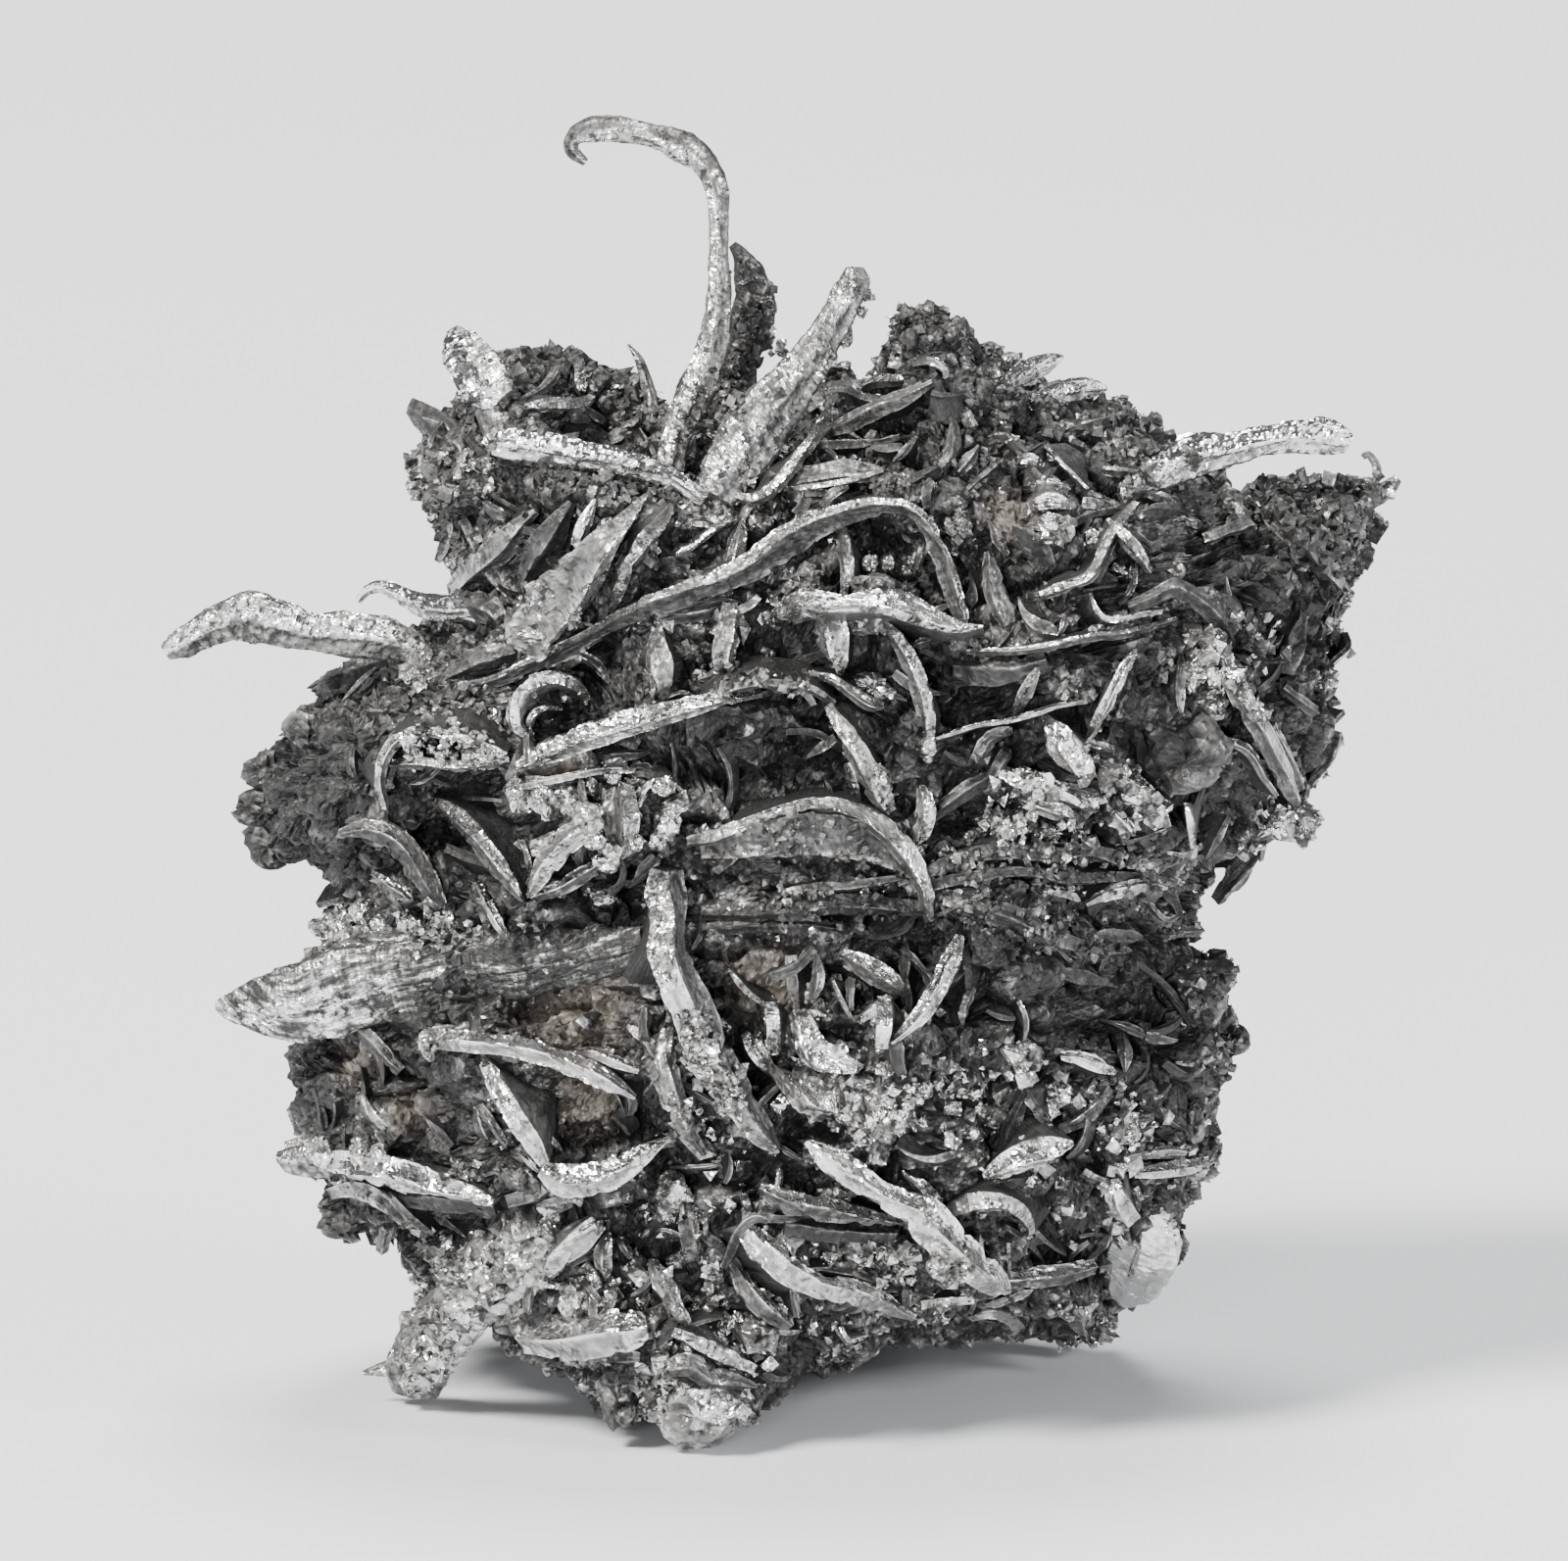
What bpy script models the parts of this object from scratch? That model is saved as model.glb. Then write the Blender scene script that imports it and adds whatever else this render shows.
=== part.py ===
# Native silver: a clump of wires, curled ribbons, blades, nuggets and grainy crust, grown as one piece.
# It stands on four small worn soles, and a hooked wire rises from its top.

import math
import random

import bmesh
import bpy
from mathutils import Vector

# Sizes and places are in millimetres. A place on the clump is given as it is seen from the front and
# viewTilt above the level: across from left to right, up from the surface it stands on. Its depth is
# along +Y, so the front is negative. A side is front or back. A belt runs from -1 at the front's
# middle, through 0 at the rim, to +1 at the back's middle.
mm = 0.001
viewTilt = math.radians(12)
boxCentreX = -0.1
boxCentreY = -0.79
frontThickness = 12.0
backThickness = 10.8
massCentre = (0.3, 19.0)
edgeRounding = 11.5
roundness = 2.1
massCells = 20
massRoughness = 0.55
front = -1
back = 1
bladeSink = 1.0
widestBase = 1.1
bladeTolerance = 0.24
wireTolerance = 0.14
wireFlatness = 0.8
nuggetRoughness = 0.1
scatteredBlades = 70
scatteredNuggets = 30
scatteredLengths = (3.0, 8.0)
scatteredWidths = (0.8, 1.6)
scatteredRises = (0.3, 2.0)
scatteredRadii = (0.7, 1.5)
turnLength = 20.0
beltLength = 24.0
farthestBelt = 0.92
growthSeed = 26
skinCell = 0.25
skinShare = 0.036

# The mass as seen from the front, clockwise from its top left.
massOutline = [
    (-11.8, 38), (-10.5, 38.0), (-8.4, 38.2), (-6.8, 37.4), (-5.2, 36.6), (-4, 35.8), (-2, 36.2), (0, 36),
    (1.5, 36.9), (3.4, 37.9), (4.6, 39.6), (6.2, 39.4), (7.6, 37.9), (9.6, 37), (11.5, 36.3), (13.4, 35.5),
    (14, 34.3), (16, 33.5), (18.2, 33), (20.6, 33), (21.6, 32), (21, 30.2), (20.2, 28.5), (20.2, 26.5),
    (20.2, 24.8), (19.6, 22.8), (18.7, 20.8), (16.9, 20), (15.2, 18.8), (14.9, 16.9), (15.6, 15.3),
    (16.2, 13.8), (16.3, 12.4), (15.6, 11), (15.9, 9), (15, 7.2), (14.3, 5.4), (13.1, 3.7), (11.4, 2.2),
    (9, 2.1), (6, 2.1), (3.6, 1.9), (1.4, 0.9), (-0.8, -0.2), (-2, -1.4), (-4.2, -1.4), (-6.4, -0.8),
    (-8.2, 0.8), (-10, 1.9), (-12.8, 4), (-14.3, 5.5), (-16.2, 6), (-16.6, 7.4), (-17.2, 8.8),
    (-17.9, 10.3), (-18.2, 12.2), (-17.6, 13.2), (-16.6, 16.6), (-15.9, 17.9), (-17, 19.3), (-18.8, 20.4),
    (-19, 22.3), (-18, 24.4), (-16.8, 26.2), (-14.8, 27), (-13, 28.2), (-11.8, 29.4), (-12.4, 31.2),
    (-13, 33), (-13.1, 34.8), (-11.9, 36.4)]

# Depth of the mass's rim near the surface it stands on, by the distance across.
rimDepths = [(-20, 0), (-13.2, -2.2), (-8, -6), (-3.2, -8), (1, -6), (5, 0), (10.5, 6.2), (16, 3), (22, 0)]
rimDepthFades = (1.0, 9.0)

# Hollows in the front: across, up, radius and depth.
hollows = [
    (-6.8, 35.4, 1.6, 2.2), (-9.7, 33.5, 1.0, 1.4), (-7, 26.8, 1.5, 1.5), (-0.8, 26.9, 1.6, 1.8),
    (-3, 23.9, 2.6, 1.3), (-12, 21.9, 1.8, 1.5), (-13.5, 13.7, 2.0, 1.8), (6.6, 25.5, 1.3, 1.2),
    (6.2, 22.6, 2.0, 1.7), (16.2, 30.7, 1.0, 1.4), (18.5, 28.3, 2.2, 2.6), (11.8, 15, 2.0, 1.8),
    (12.2, 12.7, 1.2, 1.8), (10, 5.2, 1.7, 2.6), (7.2, 10.2, 1.6, 1.5), (-13, 6.6, 1.1, 1.5),
    (-7.5, 18.1, 1.0, 1.0), (1.4, 19.8, 2.0, 1.5), (-1.7, 5, 1.1, 1.6)]

# Feet that meet the surface: centre across, along Y and above the surface, then three radii.
feet = [
    ((-3.2, -8.0, 1.0), (1.6, 1.4, 1.4)),
    ((-13.3, -2.2, 0.8), (1.2, 1.2, 1.2)),
    ((10.5, 6.0, 1.3), (1.7, 1.8, 1.8)),
    ((-3.0, 7.2, 1.8), (2.2, 2.0, 2.6))]

# Growths that stand clear of the mass. Each is (depth at its first point, depth at its last, points),
# and each point is across, up and full width. A depth of None is the surface of the mass.
freeGrowths = {
    "hook wire": (None, -1.0, [
        (-4.15, 33.8, 1.0), (-4.0, 35.0, 1.0), (-3.55, 36.0, 1.15), (-3.1, 37.0, 1.2), (-2.75, 38.0, 1.15),
        (-2.5, 39.0, 0.95), (-2.38, 40.0, 0.82), (-2.4, 41.0, 0.72), (-2.38, 42.0, 0.66),
        (-2.4, 43.0, 0.72), (-2.5, 44.1, 0.8), (-2.95, 45.0, 0.9), (-3.8, 45.6, 1.0), (-5.0, 46.05, 0.9),
        (-6.2, 46.25, 0.9), (-7.1, 46.22, 0.85), (-7.65, 45.95, 0.6), (-7.7, 45.5, 0.5), (-7.25, 45.1, 0.3)]),
    "side sprig": (-3.4, -2.2, [
        (-2.7, 35.0, 0.7), (-2.3, 36.5, 0.9), (-1.9, 37.8, 1.0), (-1.5, 39.0, 1.1), (-1.35, 40.0, 1.0),
        (-1.35, 40.9, 0.8), (-1.7, 41.7, 0.5), (-2.0, 42.1, 0.3)]),
    "sprig blade": (-3.0, -2.8, [(-1.9, 35.2, 0.6), (-1.4, 36.9, 0.7), (-1.1, 38.0, 0.2)]),
    "top left horn": (-4.6, -7.0, [
        (-12.05, 38.95, 0.5), (-11.7, 38.3, 1.35), (-11.2, 37.6, 1.6), (-10.5, 36.95, 1.35),
        (-9.95, 36.45, 0.5)]),
    "horn neck": (-6.0, -8.2, [
        (-10.9, 36.8, 0.6), (-10.5, 35.8, 0.9), (-10.0, 35.0, 1.0), (-9.3, 34.5, 0.8)]),
    "shelf arm": (-8.2, -8.6, [
        (-10.6, 34.7, 0.7), (-9.6, 34.65, 0.95), (-8.5, 34.5, 0.9), (-7.3, 34.3, 0.85), (-6.0, 34.1, 0.8),
        (-5.0, 33.85, 0.75), (-4.1, 33.6, 0.7), (-3.5, 33.2, 0.6), (-2.9, 32.7, 0.5)]),
    "big top spike": (-8.8, -4.6, [
        (-2.5, 32.8, 1.2), (-2.0, 33.8, 2.0), (-1.3, 34.9, 2.2), (-0.5, 36.0, 2.0), (0.3, 37.0, 1.6),
        (1.0, 38.0, 1.35), (1.6, 38.9, 1.2), (2.1, 39.8, 1.15), (2.5, 40.6, 1.1), (2.55, 41.2, 0.6)]),
    "right arm": (None, -3.0, [
        (12.2, 32.9, 0.8), (12.9, 33.3, 0.9), (13.9, 33.8, 1.1), (15.0, 34.4, 1.5), (16.2, 34.6, 1.1),
        (17.5, 34.9, 1.0), (18.8, 35.1, 1.05), (19.8, 35.1, 1.2), (20.6, 34.9, 0.8)]),
    "left arm": (-3.6, None, [
        (-22.6, 27.3, 0.8), (-21.7, 27.7, 0.9), (-20.7, 28.2, 1.1), (-19.5, 28.5, 1.5), (-18.3, 28.2, 1.5),
        (-17.0, 28.0, 1.2), (-15.8, 27.9, 1.4), (-14.6, 27.7, 1.2), (-13.4, 27.2, 0.8)]),
    "left horn": (-4.6, None, [
        (-20.6, 14.1, 0.5), (-19.5, 14.3, 1.8), (-18.0, 14.6, 2.7), (-16.5, 15.1, 2.4), (-15.0, 15.3, 2.2),
        (-13.0, 15.3, 2.1), (-11.0, 15.4, 1.8), (-9.0, 15.7, 1.6), (-7.0, 16.0, 1.5), (-5.2, 16.2, 1.3)]),
    "lower left foot": (None, -2.2, [
        (-8.4, 6.2, 2.2), (-9.0, 5.5, 2.4), (-10.5, 4.5, 2.6), (-11.8, 3.2, 2.4), (-12.8, 2.0, 2.2),
        (-13.4, 1.0, 2.2), (-13.5, 0.1, 1.6)]),
    "foot spur": (-2.4, -2.2, [(-13.6, 1.0, 0.8), (-14.3, 0.9, 0.7), (-15.5, 0.7, 0.15)]),
    "left finger": (-2.4, None, [
        (-18.6, 8.5, 0.9), (-17.5, 8.5, 0.9), (-16.2, 8.2, 0.8), (-15.0, 8.2, 1.2), (-13.0, 8.0, 0.9),
        (-11.5, 7.9, 0.8), (-10.6, 7.2, 0.7), (-10.0, 6.6, 0.5)]),
    "right horn": (-1.0, -0.4, [
        (18.8, 31.6, 1.0), (19.6, 32.2, 0.9), (20.8, 32.6, 0.9), (21.9, 33.1, 0.7), (22.5, 33.6, 0.3)]),
    "horn curl": (-0.8, -0.6, [
        (20.4, 32.9, 0.6), (21.0, 33.3, 0.5), (21.6, 33.5, 0.4), (21.7, 34.0, 0.3), (21.4, 34.45, 0.25),
        (21.2, 34.35, 0.2)]),
    "granular ridge": (-2.0, -0.7, [
        (17.2, 33.1, 0.8), (18.1, 33.3, 0.7), (19.5, 33.3, 0.7), (21.0, 33.4, 0.6)]),
    "far left blade": (-1.6, None, [
        (-13.6, 36.2, 0.6), (-12.6, 35.5, 1.0), (-11.8, 34.8, 1.0), (-10.8, 34.0, 0.8)]),
    "crest spike": (-2.6, -2.6, [(-4.5, 35.0, 0.6), (-5.2, 37.6, 0.35), (-5.7, 38.45, 0.1)]),
}

# Blades and ribs that lie on the mass. Each is (how far its ridge stands off, points), and each point
# is across, up and full width.
upperFaceBlades = [
    (1.3, [
        (-1.95, 33.0, 0.25), (-1.6, 32.8, 0.45), (-1.0, 32.75, 0.55), (-0.3, 33.2, 0.6), (0.3, 33.9, 0.6),
        (0.9, 34.7, 0.55), (1.35, 35.4, 0.5), (1.7, 36.2, 0.3)]),
    (1.1, [
        (-11.8, 25.9, 0.4), (-10.6, 26.1, 0.5), (-9.4, 26.6, 0.6), (-8.2, 27.2, 0.6), (-7.0, 27.8, 0.6),
        (-6.0, 28.35, 0.7), (-5.0, 28.8, 0.8), (-4.0, 29.1, 0.9), (-3.0, 29.5, 1.0), (-2.0, 29.9, 1.0),
        (-1.0, 30.4, 1.2), (0.0, 31.1, 1.3), (1.0, 31.7, 1.1), (2.0, 32.1, 0.9), (3.0, 32.4, 0.8),
        (4.0, 32.45, 0.7), (4.7, 32.2, 0.65), (5.2, 31.7, 0.6), (5.5, 31.1, 0.6), (5.8, 30.3, 0.7),
        (6.1, 29.4, 0.7), (6.4, 28.6, 0.6), (6.5, 28.1, 0.3)]),
    (0.5, [(-5.0, 28.3, 0.4), (-4.0, 28.5, 0.7), (-3.0, 28.7, 0.8), (-2.2, 28.9, 0.4)]),
    (1.9, [
        (-0.6, 28.25, 0.15), (0.0, 28.7, 0.8), (0.8, 29.0, 1.0), (1.6, 28.95, 0.8), (2.3, 28.9, 0.75),
        (3.2, 29.0, 1.1), (4.0, 28.95, 1.35), (4.8, 28.6, 1.3), (5.6, 28.25, 1.0), (6.4, 28.1, 0.6),
        (7.2, 28.2, 0.1)]),
    (1.4, [(1.6, 28.3, 1.5), (1.8, 27.4, 1.3), (1.95, 26.8, 0.8), (2.0, 26.35, 0.15)]),
    (1.2, [
        (0.05, 26.3, 0.25), (0.9, 26.35, 0.35), (1.7, 26.2, 0.4), (2.4, 25.75, 0.5), (3.1, 25.3, 0.6),
        (3.6, 25.2, 0.4)]),
    (1.2, [
        (3.7, 28.1, 0.4), (4.2, 27.5, 0.6), (4.6, 26.7, 0.7), (4.95, 25.8, 0.75), (5.15, 24.9, 0.7),
        (5.25, 24.0, 0.4)]),
    (0.7, [(2.1, 31.6, 0.45), (2.25, 30.7, 0.6), (2.35, 29.6, 0.5)]),
    (0.9, [(-1.5, 32.0, 0.15), (-1.6, 31.3, 0.5), (-1.8, 30.4, 0.7)]),
    (0.9, [(-1.9, 28.9, 0.7), (-2.0, 28.0, 0.95), (-2.15, 27.2, 0.95), (-2.2, 26.4, 0.6)]),
    (0.8, [(-4.6, 28.3, 0.5), (-4.6, 27.4, 0.9), (-4.5, 26.6, 1.25), (-4.35, 25.7, 0.5)]),
    (0.7, [(7.4, 30.8, 0.35), (7.5, 30.0, 0.75), (7.8, 29.0, 0.9), (8.1, 28.2, 0.6)]),
    (1.3, [
        (-9.5, 27.2, 1.4), (-9.1, 27.9, 2.2), (-8.5, 28.8, 2.4), (-7.8, 29.6, 2.1), (-7.1, 30.4, 1.6),
        (-6.3, 31.4, 1.0), (-5.5, 32.3, 0.5), (-5.0, 32.9, 0.15)]),
    (0.8, [
        (-12.1, 29.5, 0.7), (-11.2, 30.2, 1.2), (-10.3, 31.0, 1.1), (-9.6, 31.8, 0.7), (-9.0, 32.3, 0.3)]),
    (0.4, [(-9.3, 29.9, 0.9), (-8.7, 31.0, 1.3), (-8.0, 32.1, 0.8), (-7.7, 32.6, 0.4)]),
    (0.9, [(-5.6, 30.4, 0.5), (-5.1, 31.1, 0.9), (-4.5, 31.9, 0.8), (-4.1, 32.5, 0.3)]),
    (1.9, [
        (-15.8, 29.0, 0.25), (-15.3, 29.5, 0.3), (-14.7, 29.65, 0.4), (-14.0, 29.3, 0.55),
        (-13.2, 28.95, 0.7), (-12.4, 28.85, 0.75), (-11.7, 28.95, 0.6)]),
    (1.2, [(-11.7, 28.9, 0.9), (-11.1, 28.8, 1.2), (-10.6, 28.6, 1.1), (-10.4, 28.3, 0.6)]),
    (1.9, [
        (-7.1, 25.5, 0.3), (-7.5, 26.0, 0.5), (-8.2, 26.25, 0.55), (-9.0, 26.15, 0.6), (-9.6, 25.7, 0.6),
        (-9.85, 25.0, 0.6), (-9.75, 24.4, 0.5), (-9.4, 24.1, 0.35)]),
    (1.5, [
        (-9.4, 24.0, 0.45), (-8.0, 24.2, 0.55), (-7.0, 24.4, 0.6), (-6.0, 24.75, 0.6), (-5.0, 25.0, 0.6),
        (-4.0, 25.15, 0.55), (-3.3, 25.35, 0.5), (-2.7, 25.5, 0.4)]),
    (0.6, [(1.3, 35.2, 0.3), (2.3, 35.5, 0.7), (3.3, 36.0, 0.8), (4.3, 36.4, 0.7), (5.4, 37.0, 0.3)]),
    (0.5, [(3.2, 34.6, 0.3), (3.8, 34.5, 0.6), (4.3, 34.6, 0.4)]),
    (0.7, [(0.0, 33.25, 0.3), (0.9, 33.5, 0.8), (2.0, 33.75, 0.9), (3.0, 33.7, 0.7), (3.6, 33.75, 0.3)]),
    (0.6, [(8.3, 37.3, 0.3), (9.0, 37.6, 0.65), (9.6, 37.8, 0.6), (10.1, 37.95, 0.15)]),
    (0.7, [(9.6, 36.5, 0.4), (10.4, 36.7, 0.8), (11.2, 36.8, 0.7), (11.8, 36.8, 0.2)]),
    (0.8, [(-7.7, 38.3, 0.3), (-7.4, 37.6, 0.75), (-7.4, 36.7, 0.3)]),
    (0.8, [(-9.4, 36.1, 0.3), (-8.3, 36.2, 0.6), (-7.4, 36.2, 0.6), (-7.0, 36.5, 0.3)]),
    (0.6, [(-13.7, 36.1, 0.4), (-13.1, 35.7, 0.9), (-12.4, 35.4, 0.9), (-12.0, 35.0, 0.4)]),
    (0.5, [(10.9, 32.5, 0.7), (11.7, 32.4, 0.7)]),
    (0.5, [(-12.3, 26.2, 0.5), (-11.0, 26.9, 1.1), (-9.8, 27.2, 0.7)]),
    (0.5, [(6.2, 26.6, 0.8), (7.2, 26.5, 1.2), (8.3, 26.5, 1.0), (9.5, 26.9, 0.6)]),
    (0.4, [(-17.0, 25.9, 1.0), (-15.8, 26.4, 1.3), (-14.5, 26.8, 0.8)]),
]

rightFaceBlades = [
    (1.0, [
        (12.5, 28.8, 0.5), (13.5, 29.2, 0.65), (14.3, 29.5, 0.8), (15.2, 29.0, 0.8), (15.8, 28.4, 0.8),
        (16.2, 27.7, 0.6)]),
    (0.8, [(11.6, 33.8, 0.3), (12.6, 33.7, 0.5), (13.4, 33.6, 0.6)]),
    (1.5, [
        (15.4, 28.0, 0.7), (16.0, 26.8, 0.8), (16.6, 25.6, 0.8), (17.2, 24.6, 0.65), (17.9, 23.6, 0.6),
        (18.5, 22.6, 0.7), (18.8, 21.8, 0.5)]),
    (0.9, [(17.7, 24.5, 0.5), (18.3, 23.4, 0.6), (18.9, 22.2, 0.4)]),
    (1.6, [(9.5, 24.8, 0.3), (10.2, 23.6, 1.3), (10.9, 22.7, 0.9)]),
    (0.9, [(10.5, 24.0, 0.6), (11.9, 23.6, 0.4)]),
    (1.0, [(11.6, 22.9, 0.6), (12.6, 22.4, 0.75), (13.4, 21.8, 0.7), (13.8, 21.2, 0.5)]),
    (0.8, [(12.0, 21.2, 0.8), (12.6, 20.6, 0.6)]),
    (0.8, [(17.2, 19.8, 0.8), (16.6, 19.0, 0.9), (15.9, 18.1, 0.5)]),
    (0.8, [(11.1, 18.1, 0.2), (12.0, 18.5, 0.7), (13.5, 19.0, 0.25)]),
    (0.6, [(20.4, 24.2, 0.5), (19.9, 23.2, 0.65), (19.3, 22.4, 0.4)]),
    (0.5, [(18.9, 28.6, 0.6), (18.6, 27.4, 0.95), (18.4, 26.4, 0.6)]),
    (0.6, [(15.3, 31.3, 0.5), (17.0, 31.9, 0.6)]),
    (0.7, [(17.4, 32.5, 0.7), (18.5, 31.6, 1.0), (19.4, 30.6, 1.0), (20.6, 29.4, 0.5)]),
]

middleBlades = [
    (1.2, [
        (-3.5, 20.3, 0.4), (-2.5, 20.4, 0.6), (-1.2, 20.8, 0.5), (0.0, 21.3, 0.5), (1.3, 21.6, 0.5),
        (2.4, 21.3, 0.65), (3.4, 20.9, 0.9), (4.2, 20.2, 0.9), (4.9, 19.4, 0.8), (5.2, 18.5, 0.7),
        (5.3, 17.4, 0.3)]),
    (0.7, [(-3.0, 17.7, 0.4), (0.0, 17.8, 0.6), (2.0, 18.0, 0.6), (5.0, 17.9, 0.45)]),
    (0.8, [
        (5.5, 19.2, 0.6), (7.0, 19.5, 0.8), (9.0, 19.9, 0.8), (11.0, 20.0, 0.8), (13.0, 19.7, 0.8),
        (15.0, 19.5, 0.5)]),
    (0.5, [(8.0, 17.5, 0.7), (10.0, 16.8, 0.9), (12.6, 16.3, 0.7)]),
    (0.9, [(-6.0, 22.2, 1.2), (-5.9, 21.0, 1.3), (-5.9, 19.9, 0.8)]),
    (0.8, [(-3.8, 21.9, 0.6), (-4.4, 20.6, 0.7)]),
    (1.0, [(-9.1, 19.0, 0.3), (-8.2, 19.8, 0.7), (-7.5, 20.5, 0.85), (-6.8, 20.8, 0.35)]),
    (1.1, [
        (-12.8, 21.65, 0.3), (-11.8, 21.0, 0.7), (-11.0, 20.0, 0.85), (-10.2, 19.2, 0.7),
        (-9.45, 18.15, 0.2)]),
    (1.0, [
        (-16.0, 20.6, 0.35), (-15.0, 20.6, 0.6), (-14.0, 20.4, 0.9), (-13.2, 19.6, 0.9), (-12.8, 18.8, 0.6),
        (-12.4, 18.3, 0.35)]),
    (2.0, [
        (-4.2, 19.1, 1.0), (-4.35, 18.0, 1.3), (-4.3, 17.0, 1.3), (-4.0, 16.0, 1.4), (-3.5, 15.0, 1.4),
        (-3.0, 14.0, 1.5), (-2.6, 13.0, 1.5), (-2.3, 12.0, 1.5), (-1.6, 11.0, 1.15), (-1.0, 10.2, 1.1),
        (-0.5, 9.5, 1.0), (-0.1, 9.1, 0.4)]),
    (1.0, [(1.6, 25.2, 0.5), (2.2, 24.2, 0.7), (2.8, 23.2, 0.8), (3.2, 22.3, 0.9), (3.7, 21.4, 0.8)]),
    (1.2, [(5.0, 22.1, 0.55), (5.1, 21.2, 0.6), (4.9, 20.6, 0.45)]),
    (0.8, [(7.0, 23.3, 0.5), (7.5, 24.1, 0.7), (8.2, 24.3, 0.4)]),
    (0.8, [(8.1, 23.6, 0.6), (7.4, 22.4, 0.5)]),
    (0.6, [(5.3, 21.2, 0.5), (6.7, 22.2, 0.7), (8.0, 22.9, 0.4)]),
    (0.8, [(-16.0, 16.3, 0.45), (-15.0, 16.5, 0.6), (-13.2, 16.8, 0.5)]),
]

lowerFaceBlades = [
    (1.3, [
        (-13.2, 12.9, 0.9), (-12.2, 13.2, 0.6), (-11.0, 12.9, 0.45), (-10.0, 12.8, 0.45), (-9.0, 12.6, 0.6),
        (-8.0, 12.3, 0.8), (-7.2, 12.0, 0.9), (-6.2, 11.5, 0.7), (-5.4, 11.0, 0.3)]),
    (0.6, [(-15.8, 13.7, 0.5), (-15.0, 12.9, 0.7), (-14.0, 11.9, 0.5)]),
    (1.6, [(-10.7, 12.2, 0.5), (-10.2, 11.3, 0.8), (-9.6, 10.2, 1.1), (-9.0, 9.2, 1.0), (-8.6, 8.5, 0.4)]),
    (1.3, [
        (-8.7, 8.2, 0.8), (-7.8, 8.1, 1.0), (-6.8, 8.1, 1.15), (-5.8, 8.5, 1.0), (-5.0, 9.1, 0.6),
        (-4.3, 9.5, 0.2)]),
    (1.9, [
        (0.9, 9.1, 0.3), (1.6, 8.6, 0.8), (2.4, 8.1, 0.9), (3.2, 7.5, 0.8), (4.2, 7.3, 0.85),
        (5.0, 7.2, 1.2), (5.6, 6.6, 1.2), (6.2, 5.9, 1.2), (7.0, 5.2, 1.1), (7.5, 4.6, 0.7)]),
    (1.2, [(6.2, 6.9, 0.6), (7.2, 6.9, 0.75), (8.2, 6.9, 0.7), (8.9, 6.5, 0.5), (8.8, 5.9, 0.2)]),
    (1.3, [
        (-0.8, 7.7, 0.3), (-0.2, 7.3, 0.8), (0.8, 6.9, 0.75), (2.0, 6.6, 0.6), (3.0, 6.6, 0.5),
        (3.9, 6.4, 0.15)]),
    (0.6, [(0.0, 6.3, 0.8), (2.0, 6.1, 1.0), (4.0, 6.0, 0.7)]),
    (1.4, [
        (-1.3, 6.1, 0.8), (-0.7, 5.4, 1.1), (0.0, 4.8, 1.1), (0.7, 4.4, 0.75), (1.6, 4.2, 0.8),
        (2.6, 4.0, 0.75), (3.4, 3.5, 0.7), (4.9, 2.9, 0.3)]),
    (1.0, [(-4.2, 1.1, 0.7), (-3.4, 1.2, 0.9), (-2.6, 0.7, 0.9), (-1.8, 0.6, 0.7), (-1.0, 0.35, 0.15)]),
    (0.7, [(-4.0, 2.4, 0.7), (-2.6, 1.7, 0.95), (-1.2, 1.0, 0.6)]),
    (0.7, [(-9.5, 2.2, 1.4), (-8.0, 2.2, 1.9), (-6.3, 2.4, 2.0), (-5.0, 2.6, 1.2)]),
    (1.0, [(-8.4, 5.1, 0.7), (-8.0, 5.4, 1.0), (-7.4, 5.9, 1.1), (-6.7, 6.4, 0.6)]),
    (0.8, [(-7.2, 4.8, 0.6), (-6.8, 4.1, 0.5)]),
    (0.7, [(-3.5, 6.5, 0.8), (-3.3, 5.1, 0.7)]),
    (1.5, [
        (6.5, 16.6, 0.3), (6.0, 16.0, 0.65), (5.6, 15.2, 0.55), (5.2, 14.3, 0.45), (4.7, 13.6, 0.4),
        (3.9, 13.0, 0.15)]),
    (1.0, [(1.2, 16.2, 0.2), (1.2, 15.3, 0.6), (1.0, 14.5, 0.2)]),
    (1.2, [(2.5, 16.0, 0.5), (3.4, 15.5, 0.8), (4.5, 14.6, 0.2)]),
    (1.2, [(3.8, 14.1, 0.7), (3.6, 12.8, 0.8)]),
    (1.4, [(0.5, 14.0, 0.6), (0.7, 12.9, 0.9), (1.4, 12.4, 1.1), (2.5, 12.2, 0.6)]),
    (0.9, [(0.8, 12.0, 0.9), (0.3, 11.0, 0.6)]),
    (1.1, [(7.4, 8.0, 0.3), (8.5, 8.4, 1.1), (9.6, 8.6, 1.2), (10.3, 9.0, 0.5)]),
    (0.7, [(12.3, 3.8, 0.6), (13.0, 3.6, 0.6), (12.9, 3.0, 0.4)]),
    (0.8, [(8.2, 3.5, 0.6), (9.5, 3.8, 0.7), (11.5, 4.2, 0.6)]),
    (0.6, [(-16.7, 7.1, 0.6), (-15.5, 6.6, 0.85), (-14.0, 6.2, 0.6)]),
    (0.6, [(-14.6, 6.2, 0.6), (-14.8, 5.2, 0.45)]),
    (0.5, [(-14.0, 7.3, 0.8), (-12.2, 7.2, 1.0), (-10.5, 7.0, 0.7)]),
]

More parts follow.
